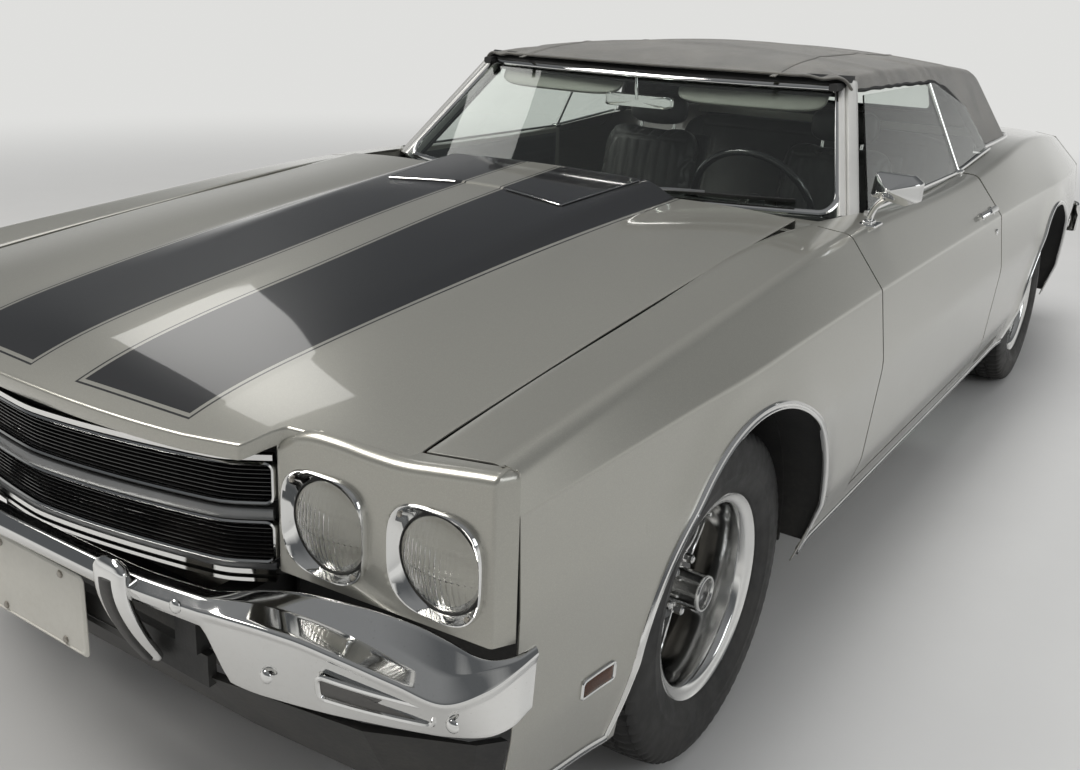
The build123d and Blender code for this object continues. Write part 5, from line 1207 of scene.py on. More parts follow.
class CAR_OT_bezels(bpy.types.Operator):
    """Form the lamp surrounds: a plan line from grille to fender, rolled at its corners and over the top,
    pressed in around each lamp, and set each lamp's bright ring, reflector and ribbed lens in the pressing"""

    bl_idname = "car.bezels"
    bl_label = "Lamp surrounds and headlamps"

    def execute(self, context):
        side = float(side_x(np.array([-2274.0]), np.array([700.0]))[0])
        corners = np.array([[(486, -2296)], [(486, -2336)], [(871, -2307)], [(side, -2274)]], float)
        plan = filleted(corners, (7.0, 9.0), (4, 7, 96, 9, 8))[:, 0]
        x, y = plan[:, 0], plan[:, 1]
        top = np.interp(x, BEZEL_TOP[:, 0], BEZEL_TOP[:, 1])
        top = np.convolve(np.pad(top, 6, mode="edge"), np.ones(13) / 13, "valid")
        back = np.where(x < 716, hood_front(x) - 5, -2274.0)
        r, low = 20.0, 604.0
        a = line(0, PI / 2, 9)[1:, None]
        v = line(0, 1, 84)[:, None]
        z = np.concatenate([np.full((1, len(x)), low + 3), low + (top - r - low) * v, top - r + r * np.sin(a),
                            top + 0 * a[:4]])
        depth = np.concatenate([[[14.0]], 0 * v, r * (1 - np.cos(a)), r + (a[:4] / a[3]) * 40])
        tuck = 0.32 * np.maximum(depth - 2, 0) * (x > 873)
        yy = np.minimum(y + depth * (x > 490), np.maximum(back, y))
        xx = np.broadcast_to(x, z.shape) - tuck
        for lx, lz in LAMPS:
            near = squarish(xx - lx + 3, z - lz - 4)
            yy = yy + 17 * smooth((82 - near) / 5) * (y < -2300)
        grid = np.stack([xx, yy, z], -1)
        piece("Lamp_surrounds", mirrored([grid]), "chassis", mat("paint"),
              ("from", (0, 0, 720)), 2.5,
              replaces=("bezels",))

        rings, lenses, bowls, dark, screws = [], [], [], [], []
        t = np.linspace(0, 2 * PI, 97)
        for lx, lz in LAMPS:
            face = float(np.interp(lx, (486, 871), (-2336, -2307)))
            outer = np.concatenate([ring(84, 84, 96, 3.2), ring(84, 84, 96, 3.2)[:1]]) + (-3, 4)
            inner = np.stack([73 * np.cos(t), 73 * np.sin(t)], -1)
            rows = []
            for mixed, out in ((0, 8), (0, 0), (0.04, -4), (0.12, -6.5), (0.24, -6), (0.42, -1.5), (0.7, 5),
                               (0.93, 9),
                               (1, 11), (1.02, 16)):
                p = outer * (1 - mixed) + inner * mixed
                rows.append(np.stack([lx + p[:, 0], np.full(97, face + out), lz + p[:, 1]], -1))
            rings.append(np.array(rows))
            s = line(0, 1, 12)[:, None]
            q = line(0, 1, 44)[:, None]
            lens = revolve(np.concatenate([11 - 17 * (1 - q**2), 72.5 * q + 0.01], 1), 180, "y",
                           (lx, face, lz))
            flute = np.abs(np.sin(PI * (lens[..., 0] - lx) / 9.5)) * (1 - 0.6
                * smooth((lens[..., 2] - lz - 26) / 6))
            band = smooth((6 - np.abs(lens[..., 2] - lz + 8)) / 3)
            lens[..., 1] -= (1.5 * flute + 1.2 * band) * smooth((0.93 - q) / 0.05)
            lenses.append(lens)
            bowls.append(revolve(np.concatenate([52 - 40 * s**2, 71 * s + 0.01], 1), 64, "y", (lx, face, lz)))
            dark.append(revolve([(18, 0.01), (18, 11), (20, 12), (30, 9), (50, 7)], 24, "y", (lx, face, lz)))
            dark.append(revolve([(12, 71.0), (8, 72.6), (10, 74.6), (16, 75)], 64, "y", (lx, face, lz)))
            for sx, sz in ((-63, 62), (58, -58)):
                screws.append(revolve([(-6.5, 0.01), (-6.5, 2), (-5.5, 3.6), (-2, 4)], 16, "y",
                                      (lx + sx, face, lz + sz)))
        piece("Headlamp_rings", mirrored(rings), "chassis", mat("chrome"), None)
        piece("Headlamp_lenses", mirrored(lenses), "chassis", mat("lamp glass"),
              ("along", (0, -1, 0)), 2.5, replaces=("headlamps",))
        piece("Headlamp_reflectors", mirrored(bowls), "chassis", mat("reflector"),
              ("along", (0, -1, 0)))
        piece("Headlamp_shields", mirrored(dark), "chassis", mat("rubber seal"), None)
        piece("Headlamp_screws", mirrored(screws), "chassis", mat("bare steel"), None)
        return {"FINISHED"}


MOULDING = [(-8, -5), (-8.5, 2), (-7, 5), (-3.5, 6), (-1.6, 3.4), (1.6, 3.4), (3.5, 6), (7, 5), (8.5, 2),
            (8, -5)]


def on_side(y, z, proud=0.0):
    """Points of the body side at (y, z), stood proud by a distance."""
    return np.stack([side_x(y, z) + proud, y, z], -1)


class CAR_OT_mouldings(bpy.types.Operator):
    """Run the bright grooved mouldings: a section carried round both wheel openings on the body's side, along
    the rockers, and along the foot at the car's front and rear ends"""

    bl_idname = "car.mouldings"
    bl_label = "Mouldings"

    def execute(self, context):
        strips = []
        for axle in (FRONT_AXLE_Y, REAR_AXLE_Y):
            a = np.radians(line(172, 6, 120))
            y, z = axle + 400 * np.cos(a), ARCH_Z + 400 * np.sin(a)
            f = line(1, 0, 14)[:-1]
            lead_y, lead_z = y[0] - 22 * f**1.6, z[0] - (z[0] - 282) * f
            tail = line(0, 1, 14)[1:]
            tail_y, tail_z = y[-1] + 14 * tail**1.6, z[-1] - (z[-1] - 276) * tail
            y, z = np.concatenate([lead_y, y, tail_y]), np.concatenate([lead_z, z, tail_z])
            thin = np.interp(np.arange(len(y)), [0, 14, len(y) - 22, len(y) - 1], [0.75, 1.0, 1.0, 0.5])
            strips += sweep(on_side(y, z), MOULDING, up=(1, 0, 0), scale=thin)
        y = line(-1168, 862, 80)
        section = [(a * 0.9, b * 0.8) for a, b in MOULDING]
        strips += sweep(on_side(y, np.full(80, 268.0)), section, up=(1, 0, 0))
        for y0, y1 in ((-2252, -1992), (1690, 2150)):
            y = line(y0, y1, 24)
            foot = spline(SIDE[:, 0], SIDE[:, 12], y) + 16
            strips += sweep(on_side(y, foot), section, up=(1, 0, 0))
        piece("Side_mouldings", mirrored(strips), "chassis", mat("chrome"), None)
        lips = []
        for axle in (FRONT_AXLE_Y, REAR_AXLE_Y):
            a = np.radians(line(186, -6, 60))
            y, z = axle + WELL_LIP_R * np.cos(a), ARCH_Z + WELL_LIP_R * np.sin(a)
            skin = on_side(y, z, -4.0)
            lips.append(skin + (np.stack([0 * y + WELL_END_X, y, z], -1) - skin)
                        * line(0, 1, 4)[:, None, None])
        piece("Wheel_well_lips", mirrored(lips), "chassis", mat("chassis paint"),
              ("along", (0, 0, 1)), 2.0)
        return {"FINISHED"}


WHEELS = (("fl", "front_left", FRONT_AXLE_Y, 1), ("fr", "front_right", FRONT_AXLE_Y, -1),
          ("rl", "rear_left", REAR_AXLE_Y, 1), ("rr", "rear_right", REAR_AXLE_Y, -1))


def set_on_wheels(grids, axle, sign):
    """Grids of a wheel at x = 0 for its middle plane, set on one of the car's four places."""
    flip = np.array([sign, 1.0, 1.0])
    return [(g + np.array([TRACK_HALF, 0, 0])) * flip + np.array([0, axle, AXLE_Z]) for g in grids]


class CAR_OT_wheels(bpy.types.Operator):
    """Turn the deep dished rims as profiles about the axle, and set five tapered spokes, nuts and a long
    cap"""

    bl_idname = "car.wheels"
    bl_label = "Rims"

    def execute(self, context):
        barrel = [(-108, 206), (-110, 203), (-108, 199), (-96, 190), (-60, 181), (0, 177), (20, 176.5),
                  (50, 178),
                  (82, 181), (97, 184.5), (102, 189), (103.5, 195), (105, 201), (107.5, 205), (109.5, 207.5),
                  (108, 209.5), (104, 209), (101, 205), (98, 196), (90, 190), (70, 188), (-80, 190),
                  (-96, 196), (-104, 205), (-108, 206)]
        bright = [revolve(barrel, 144)]
        cap = [(24, 44), (30, 43), (33, 38.5), (36, 37.5), (92, 37), (97, 37), (99.5, 35.5), (99.5, 32),
               (96, 30.5),
               (90, 30)]
        bright.append(revolve(cap, 48))
        dark = [revolve([(90, 30.2), (89, 24), (90, 22), (91, 12), (91, 0.01)], 48)]
        hub = [revolve([(2, 40), (2, 74), (14, 78), (24, 76), (30, 69), (31, 46), (30, 40)], 96)]
        spokes, edges, nuts = [], [], []
        r = line(64, 177, 26)
        t = (r - 64) / 113
        width = 21 - 9 * np.sin(PI * np.minimum(t * 1.15, 1)) + 13 * t**4
        rise = 28 + 7 * t - 15 * t**2 - 10 * t**6
        section = np.array([(-1, -1), (-1.0, -0.2), (-0.94, 0.0), (-0.72, 0.0), (-0.58, -0.22), (0.58, -0.22),
                            (0.72, 0.0), (0.94, 0.0), (1.0, -0.2), (1, -1), (-1, -1)])
        spoke = np.stack([
            rise[:, None] + 24 * section[None, :, 1] + 0 * width[:, None],
            width[:, None] * section[None, :, 0],
            np.broadcast_to(r[:, None], (26, 11)),
        ], -1)
        for k in range(5):
            angle = 72 * k + 18
            spokes.append(turned(spoke, angle, "x", (0, 0, 0)))
            for side in (-1, 1):
                path = np.stack([rise + 1.0, side * width * 0.84, r], -1)
                edges += [turned(g, angle, "x", (0, 0, 0)) for g in
                          sweep(path, ring(3.4, 1.9, 8), up=(1, 0, 0))]
            a = math.radians(angle + 36)
            nuts.append(revolve([(28, 11), (33, 11), (34, 9.5), (50, 9), (53, 6), (54, 0.01)], 6, "x",
                                (0, 56 * math.cos(a), 56 * math.sin(a))))
        valve = [revolve([(76, 4.5), (96, 4), (97, 0.01)], 16, "x", (0, 0, 172))]
        for code, place, axle, sign in WHEELS:
            body = "wheel_" + code
            piece("Rim_" + code, set_on_wheels(bright + valve, axle, sign), body,
                  mat("wheel chrome"),
                  None, replaces=("rim_" + place,))
            piece("Spokes_" + code, set_on_wheels(spokes + hub, axle, sign), body,
                  mat("spoke grey"), None)
            piece("Spoke_edges_" + code, set_on_wheels(edges + nuts, axle, sign), body,
                  mat("wheel chrome"), None)
            piece("Cap_ends_" + code, set_on_wheels(dark, axle, sign), body,
                  mat("gloss black"),
                  ("along", (sign, 0, 0)))
            drum = revolve([(-18, 60), (-16, 120), (-24, 142), (-70, 146)], 72)
            piece("Drum_" + code, set_on_wheels([drum], axle, sign), body, mat("cast iron"),
                  ("along", (sign, 0, 0)), 2.0)
        return {"FINISHED"}


class CAR_OT_tyres(bpy.types.Operator):
    """Turn the tyres: a section of bead, bulged wall and crowned tread, pressed in where its grooves and
    the slots between its blocks run"""

    bl_idname = "car.tyres"
    bl_label = "Tyres"

    def execute(self, context):
        blocks = sizes().tread_blocks
        around = np.linspace(0, 2 * PI, blocks * 5 + 1)
        across = np.unique(np.concatenate([line(-106, 106, 17)] + [
            (g - 5.2, g - 3.4, g + 3.4, g + 5.2) for g in (-66, -24, 24, 66)]))
        groove = sum(smooth((5.2 - np.abs(across - g)) / 1.9) for g in (-66, -24, 24, 66))
        crown = 338.0 - 5.5 * (across / 106) ** 4 - 1.5 * (across / 106) ** 2
        stagger = np.where(np.abs(across) > 66, 0.5, np.where(np.abs(across) > 24, 0.0, 0.5))
        skew = across / 106 * 0.7 * np.sign(across)
        phase = (around[None] * blocks / (2 * PI) + stagger[:, None] + skew[:, None]) % 1.0
        slot = smooth((0.15 - np.abs(phase - 0.5)) / 0.06)
        slot *= np.where(np.abs(across) < 24, 0.45, 1.0)[:, None]
        radius = crown[:, None] - 7.0 * np.maximum(groove[:, None], slot)
        tread = np.stack([np.broadcast_to(across[:, None], radius.shape), radius * np.cos(around),
                          radius * np.sin(around)], -1)
        wall = np.array([(106, 330), (111, 326), (116, 318), (119, 306), (122.5, 288), (124.3, 268),
                         (124, 256),
                         (124.6, 254), (124.6, 250), (123.6, 248), (121, 234), (117, 222), (113, 214),
                         (112, 211),
                         (106, 207), (99, 200), (92, 193)], float)
        scallop = np.zeros((len(wall), len(around)))
        scallop[:3] = np.array([[0.9], [0.75], [0.35]]) * 6 * smooth(
            (0.15 - np.abs((around * blocks / (2 * PI) + 0.5 + 0.7) % 1.0 - 0.5)) / 0.06)
        for code, place, axle, sign in WHEELS:
            grids = [tread]
            for s in (-1, 1):
                rr = wall[:, 1:] - scallop
                grids.append(np.stack([np.broadcast_to(s * wall[:, :1], rr.shape), rr * np.cos(around),
                                       rr * np.sin(around)], -1))
            piece("Tyre_" + code, set_on_wheels(grids, axle, sign), "wheel_" + code,
                  mat("tyre rubber"), ("from", (sign * TRACK_HALF, axle, AXLE_Z)),
                  replaces=("tyre_" + place,))
        return {"FINISHED"}


def screen(x, z, out=0.0, grow=0.0):
    """Points of the windshield: at each height an arc through its middle and both its corners, all leaning
    back. They may stand out square to the glass, and move sideways along the arc."""
    t = (z - 944) / 296
    half, corner, middle = 726 - 134 * t, -636 + 280 * t, -792 + 346 * t
    sag = corner - middle
    bend = (half**2 + sag**2) / (2 * sag)
    reach = np.sqrt(bend**2 - x**2)
    point = np.stack(np.broadcast_arrays(x, middle + bend - reach, z), -1)
    normal = np.stack(np.broadcast_arrays(x / reach, -1.0, 1.1 + 0 * z), -1)
    along = np.stack(np.broadcast_arrays(1.0 + 0 * z, x / reach, 0 * z), -1)
    normal = normal / np.linalg.norm(normal, axis=-1, keepdims=True)
    along = along / np.linalg.norm(along, axis=-1, keepdims=True)
    return point + np.asarray(out)[..., None] * normal + np.asarray(grow)[..., None] * along


def capped(grid):
    """A tube's grid, whose rows go round it, with both its open ends closed towards their middles."""
    ends = [np.stack([grid[:, k], np.broadcast_to(grid[:, k].mean(0), grid[:, k].shape)]) for k in (0, -1)]
    return [grid, *ends]


def loft(outline, rows, centre):
    """An outline in x and z, closed, scaled by each row's second number and set along y by its first."""
    p = np.concatenate([outline, outline[:1]])
    rows = np.asarray(rows, float)
    x = p[None, :, 0] * rows[:, 1:]
    z = p[None, :, 1] * rows[:, 1:]
    return np.stack([x, np.broadcast_to(rows[:, :1], x.shape), z], -1) + np.asarray(centre, float)


PILLAR = np.array([(-4, 2), (0, 7), (5, 9), (14, 9), (18, 5), (19.5, 1), (21, 5), (26, 9.5), (45, 9.5),
                   (50, 6), (52, 0),
                   (52, -34), (4, -30), (-6, -12), (-4, 2)], float)
HEADER = np.array([(1244, 3), (1246, 9), (1256, 11), (1270, 7), (1270, -16), (1244, -16), (1244, 3)], float)
STRIP = [(-5, -4), (-5, 2.5), (-2, 4.5), (3, 4), (5, 1), (5, -4)]


class CAR_OT_screen_surround(bpy.types.Operator):
    """Trim the windshield: a bright reveal carried round the glass, pillars of two bands with a groove
    between, carried up both edges, the dark seal over the glass and the wipers lying along its foot"""

    bl_idname = "car.screen_surround"
    bl_label = "Windshield surround"

    def execute(self, context):
        x, z = rounded_outline([(-726, 944), (726, 944), (592, 1240), (-592, 1240)], 30, 8, 40).T
        path = screen(x, z, 2.0)
        reveal = sweep(path, [(-9, -5), (-9, 1), (-6, 4), (4, 5.5), (8, 3), (9, -5)],
                       up=screen(x, z, 3.0) - path,
                       closed=True)
        z = line(938, 1257, 30)[None]
        pillar = screen(726 - 134 * (z - 944) / 296, z, PILLAR[:, 1:], PILLAR[:, :1])
        piece("Screen_pillars", mirrored(capped(pillar)), "chassis", mat("bright trim"), None,
              replaces=("windshield_frame",))
        piece("Screen_reveal", reveal, "chassis", mat("chrome"), None)
        header = screen(line(-622, 622, 80)[None], HEADER[:, :1], HEADER[:, 1:])
        piece("Screen_header_seal", capped(header), "chassis", mat("rubber seal"), None)
        inner = [capped(screen(726 - 134 * (z - 944) / 296, z, np.array([[-31], [-31], [-42], [-42], [-31]]),
                               np.array([[-8], [40], [34], [0], [-8]])))]
        cover = mirrored(inner[0]) + capped(screen(line(-600, 600, 60)[None],
                                                   np.array([[1236], [1262], [1262], [1236],
                                            [1236]]), np.array([[-18], [-18], [-40], [-30], [-18]])))
        piece("Screen_inner_covers", cover, "chassis", mat("dash vinyl"), None)
        arms, blades = [], []
        for x0 in (-470.0, 95.0):
            x = x0 + line(70, 520, 24)
            t = line(0, 1, 24)
            z = 958 + 6 * t
            blades += sweep(screen(x, z, 9.0), [(-2, -6), (2, -6), (3, 3), (1, 7), (-1, 7), (-3, 3)],
                            up=screen(x, z, 10.0) - screen(x, z, 9.0))
            pivot = np.array([x0, -812.0, 944.0])
            end = screen(np.array(x0 + 295.0), np.array(962.0), 17.0)
            k = line(0, 1, 12)[:, None]
            bow = pivot + (end - pivot) * k + np.array([0, -6.0, 9.0]) * np.sin(PI * k)
            arms += sweep(bow, ring(6, 2.2, 10, 3), up=(0, -0.7, 0.7), scale=line(1.3, 0.7, 12))
            arms.append(revolve([(-26, 12), (2, 12), (7, 9), (9, 0.01)], 20, "z", pivot))
        piece("Wiper_blades", blades, "chassis", mat("rubber seal"), None)
        piece("Wiper_arms", arms, "chassis", mat("satin grey"), None)
        return {"FINISHED"}


# Soft top sections: y, then the side's x at the belt, the shoulder's x and z, and the crown's z
TOP = np.array([
    (-470, 786, 612, 1252, 1272),
    (-300, 786, 618, 1274, 1308),
    (-60, 786, 620, 1282, 1329),
    (420, 782, 618, 1278, 1324),
    (820, 776, 606, 1258, 1302),
    (1180, 764, 592, 1226, 1266),
    (1380, 748, 574, 1200, 1240),
], float)
OPENING = np.array([(-470, 1240), (-200, 1242), (100, 1240), (395, 1232), (560, 1194), (676, 1138),
                    (740, 1050),
                    (768, 996), (1345, 992)], float)
TOP_EDGE_Z = 992.0
TOP_ROUND = 220.0
TOP_SLOPE = 1.349
TOP_END_Y = 1345 - 7 / TOP_SLOPE
TOP_START_Y = -452.0
BOWS = (-60.0, 330.0, 745.0, 1105.0)
REAR_OPENING = (425.0, 1180.0, 1298.0)
# The rows of the cloth's grid at the rear opening, and its columns on each side of the middle
REAR_OPENING_ROWS = (117, 125)
REAR_OPENING_COLUMNS = 21


def top_row(y):
    """The soft top table's four columns at an array of places along the car."""
    return [spline(TOP[:, 0], TOP[:, c], np.clip(y, -470, 1380)) for c in range(1, 5)]


def top_z(x, y):
    """Height of the raised top: the crowned roof, the leaning sides and the rear slope, the sides rolled
    into the rear and both softly into the roof, with a low crest over each bow and a slight sag between
    them."""
    x = np.abs(x)
    base, wide, edge, crown = top_row(y)
    side = 940 + (base - x) * (edge - 940) / (base - wide) - TOP_EDGE_Z
    rear = 985 + (1345 - y) * TOP_SLOPE - TOP_EDGE_Z
    a, b = np.maximum(TOP_ROUND - side, 0), np.maximum(TOP_ROUND - rear, 0)
    wall = np.where((a > 0) & (b > 0), TOP_ROUND - np.hypot(a, b), np.minimum(side, rear)) + TOP_EDGE_Z
    crests = sum(np.exp(-(((y - bow) / 34) ** 2)) for bow in BOWS)
    roof = crown - (crown - edge) * (x / wide) ** 2 + 5.0 * crests - 3.5
    return -12 * np.logaddexp(-roof / 12, -wall / 12)


def top_half(y, z):
    """Half width of the top's wall at y and height z, where it is its lower edge."""
    base, wide, edge, _ = top_row(y)
    rear = 985 + (1345 - y) * TOP_SLOPE - TOP_EDGE_Z
    b = np.clip(TOP_ROUND - rear, 0, TOP_ROUND)
    lift = TOP_ROUND - np.sqrt(TOP_ROUND**2 - b**2)
    return base - (z - 940 + lift) * (base - wide) / (edge - 940)


def top_grid():
    """The whole cloth as one grid, from the header back and across from edge to edge, its columns straight
    over the roof and drawn to the side opening and the rear corners near its edges."""
    i0, i1 = ((y - TOP_START_Y) / (TOP_END_Y - TOP_START_Y) for y in REAR_OPENING[1:])
    v = np.concatenate([line(0, i0, 118), line(i0, i1, 9)[1:],
                        i1 + (1 - i1) * np.sin(line(0, PI / 2, 14))[1:]])
    inner = np.concatenate([line(0, REAR_OPENING[0], 22), line(REAR_OPENING[0], 520, 6)[1:]])
    outer = line(0, 1, 34)[1:]
    y = TOP_START_Y + (TOP_END_Y - TOP_START_Y) * v[:, None]
    y = np.broadcast_to(y, (len(v), len(inner) + len(outer)))
    for _ in range(5):
        edge = top_half(y, np.interp(y, OPENING[:, 0], OPENING[:, 1]))
        x = np.concatenate([np.broadcast_to(inner, (len(v), len(inner))),
                            520 + (edge[:, len(inner):] - 520) * outer], 1)
        front = -456 + 88 * (x / 592) ** 2
        y = front + (TOP_END_Y - front) * v[:, None]
    z = top_z(x, y)
    away = edge - x
    pucker = 1.6 * np.sin(y / 17.0 + 1.2 * np.sin(y / 61.0)) * np.exp(-((away / 46) ** 2)) * (y < 560)
    corner = np.exp(-(((x - 560) / 70) ** 2) - ((y + 330) / 90) ** 2)
    fold = 5.0 * np.sin((x + 0.9 * y) / 19.0) * corner
    half = np.stack([x, y, z + pucker + fold], -1)
    return np.concatenate([half[:, :0:-1] * np.array([-1.0, 1, 1]), half], 1)


class CAR_OT_soft_top(bpy.types.Operator):
    """Stretch the cloth as one curved sheet over its bows, leave the rear opening, and add its seams, hem,
    side seals, base trim, bows and rails"""

    bl_idname = "car.soft_top"
    bl_label = "Soft top"

    def execute(self, context):
        cloth = top_grid()
        columns = cloth.shape[1]
        j0, j1 = columns // 2 - REAR_OPENING_COLUMNS, columns // 2 + REAR_OPENING_COLUMNS
        i0, i1 = REAR_OPENING_ROWS
        sheets = [cloth[:i0 + 1], cloth[i1:], cloth[i0:i1 + 1, :j0 + 1], cloth[i0:i1 + 1, j1:]]
        top = piece("Soft_top_cloth", sheets, "chassis", mat("top cloth"),
                    ("from", (0, 300, 900)), 3.0,
                    sharp=50, replaces=("soft_top",))
        y = line(-440, 1120, 90)
        seams = []
        x = 429 - 61 * (y + 440) / 1560
        for shift in (-5.0, 5.0):
            seams += sweep(np.stack([x + shift, y, top_z(x, y) + 0.8], -1), ring(1.2, 1.2, 6))
        seams += sweep(np.stack([x, y, top_z(x, y) + 0.5], -1), [(-8, -1), (-8, 0.6), (8, 0.6), (8, -1)])
        x = line(-520, 520, 70)
        for place in (1128.0, 1136.0):
            y = place + 0 * x
            seams += sweep(np.stack([x, y, top_z(x, y) + 0.8], -1), ring(1.6, 1.2, 6))
        hem = sweep(cloth[0] + np.array([0, 2.0, 1.0]), ring(7, 4.5, 12), up=(0, 0, 1))
        edging = mirrored(seams) + hem
        piping = piece("Soft_top_seams", edging, "chassis", mat("top cloth"), None)

        edge = cloth[:, -1]
        opening = edge[(edge[:, 1] < 772) & (edge[:, 2] > 990)]
        opening = opening[::2] + np.array([-7.0, 0, -3.0])
        wide = np.interp(opening[:, 1], [-470, 300, 560, 768], [0.7, 0.8, 1.25, 1.7])
        seal = sweep(opening, ring(11, 9, 16, 3), up=(0.8, 0, 0.6), scale=wide)
        piece("Top_side_seals", mirrored(seal), "chassis", mat("rubber seal"), None)
        outline = rounded_outline([(-425, 1180), (425, 1180), (425, 1298), (-425, 1298)], 30, 8, 30)
        x, y = outline.T
        frame_path = np.stack([x, y, top_z(x, y) + 1.5], -1)
        binding = sweep(frame_path, [(-15, -3), (-15, 1), (-12, 3), (12, 3), (15, 1), (15, -3)],
                        up=(0, 0.803, 0.596),
                        closed=True)
        piece("Rear_window_binding", binding, "chassis", mat("rubber seal"), None)
        y = np.concatenate([line(752, 1120, 24), 1120 + (TOP_END_Y - 1120) * np.sin(line(0, PI / 2, 26))[1:]])
        side = np.stack([top_half(y, TOP_EDGE_Z) + 7, y, 993 + 0 * y], -1)
        side[:, 1] += np.interp(y, [1120, TOP_END_Y], [0, 7])
        x = line(side[-1, 0] - 14, 0, 30)
        rear = np.stack([x, side[-1, 1] + 0 * x, 993 + 0 * x], -1)
        base = sweep(np.concatenate([side, rear]),
                     [(-6, -7), (-6, 1), (-4, 4), (0, 5.5), (4, 4), (6, 1), (6, -7)])
        piece("Top_base_trim", mirrored(base), "chassis", mat("chrome"), None)

        rails = []
        for bow in BOWS:
            x = line(-585, 585, 50)
            z = top_z(x, bow + 0 * x) - 13
            rails += sweep(np.stack([x, bow + 0 * x, z], -1), ring(9, 6, 12, 3))
        y = line(-400, 650, 60)
        z = np.interp(y, OPENING[:, 0], OPENING[:, 1]) + 4
        rail = np.stack([top_half(y, z) - 32, y, z], -1)
        rails += mirrored(sweep(rail, ring(13, 11, 16, 3)))
        piece("Top_bows_and_rails", rails, "chassis", mat("chassis paint"), None)
        return {"FINISHED"}


def door_pair(name, grids, material):
    """Grids of the driver's door as a piece on that door, and their mirror image on the other."""
    for sign, side, body in ((1.0, "left", "door_l"), (-1.0, "right", "door_r")):
        piece(f"{name}_{side}", [g * np.array([sign, 1.0, 1.0]) for g in grids], body, material, None)


def on_shoulder(y, z, proud=0.0):
    """Points of the flat slope between the shoulder's crest and its crease, stood out square to it."""
    row = side_row(y)
    slope = (row[4] - row[2]) / (row[3] - row[5])
    x = row[2] + slope * (row[3] - z)
    k = 1 / np.hypot(1, slope)
    return np.stack([x + proud * k, y + 0 * x, z + proud * k * slope], -1)


class CAR_OT_door_trim(bpy.types.Operator):
    """Fit the bright belt strips along the glass, the divider bars, the faceted door mirror on its stalk,
    the pull handles with their buttons and the locks"""

    bl_idname = "car.door_trim"
    bl_label = "Door trim and mirror"

    def execute(self, context):
        chrome = mat("chrome")
        y = line(-604, 312, 60)
        belt = sweep(np.stack([786 + 0 * y, y, 955 + 0 * y], -1), STRIP)
        door_pair("Door_belt_strip", belt, chrome)
        y = line(332, 756, 40)
        seam_z = spline(SIDE[:, 0], SIDE[:, 2], y)
        quarter = sweep(np.stack([np.interp(y, [332, 756], [785, 776]), y, seam_z + 6], -1), STRIP)
        divider = np.array([(786, 322.5, 948), (720, 320, 1090), (657, 317.5, 1227)])
        bar = sweep(divider, [(-5.5, -5), (-5.5, 3), (-3, 5), (3, 5), (5.5, 3), (5.5, -5)], up=(0.9, 0, 0.42))
        foot = [box_shell(772, 800, 306, 340, 946, 962, 5)]
        piece("Quarter_belt_and_divider", mirrored(quarter + bar + foot), "chassis", chrome, None)

        outline = rounded_outline([(-58, -24), (30, -37), (60, -24), (62, 20), (40, 36), (-50, 36)], 7, 5, 4)
        head = loft(outline, [(-38, 0.01), (-38, 0.10), (-36, 0.16), (-4, 0.965), (0, 1.0), (22, 1.0),
                              (27, 0.985),
                              (28, 0.95), (25, 0.92)], (890, -742, 1045))
        head = turned(head, -6, "z", (890, -742, 1045))
        face = turned(loft(outline, [(25, 0.925), (25, 0.5), (25, 0.01)], (890, -742, 1045)), -6, "z",
                      (890, -742, 1045))
        t = line(0, 1, 14)[:, None]
        stalk = np.array([832, -724, 950.0]) * (1 - t) ** 2 + 2 * t * (1 - t) * np.array([838, -726, 1000.0])
        stalk = sweep(stalk + t**2 * np.array([872, -738, 1022.0]), ring(8, 5, 16), up=(0, 1, 0))
        base = [box_shell(812, 858, -754, -690, 944, 953, 4), box_shell(820, 846, -742, -706, 950, 960, 4)]
        piece("Door_mirror_head", [head] + stalk + base, "door_l", chrome, None,
              replaces=("door_mirror",))
        piece("Door_mirror_glass", [face], "door_l", mat("reflector"), ("along", (0, 1, 0)))

        y = line(130, 262, 34)
        t = (y - 130) / 132
        rise = 4 + 21 * np.clip(np.sin(PI * t) * 1.6, 0, 1)
        grip = sweep(on_shoulder(y, 852 + 0 * y, rise), ring(9, 5, 14, 3), up=(0.795, 0, 0.607))
        pads = []
        for place, r in ((130.0, 12), (264.0, 15)):
            p = on_shoulder(np.array([place] * 3), np.array([852.0] * 3), np.array([-4.0, 4.0, 6.0]))
            pads += sweep(p, ring(r, r * 0.8, 20), up=(0, 1, 0), scale=[1, 1, 0.7])
        p = on_shoulder(np.array([284.0] * 4), np.array([852.0] * 4), np.array([-4.0, 14.0, 17.0, 18.0]))
        pads += sweep(p, ring(9.5, 9.5, 20), up=(0, 1, 0), scale=[1, 1, 0.85, 0.5])
        lock_x = float(side_x(np.array([270.0]), np.array([786.0]))[0])
        pads.append(revolve([(-4, 0.01), (-4, 11), (2, 11), (3.4, 9.5), (3.4, 5), (2.2, 4), (2.2, 0.01)],
                            24, "x",
                            (lock_x, 270, 786)))
        door_pair("Door_handle", grip + pads, chrome)
        return {"FINISHED"}


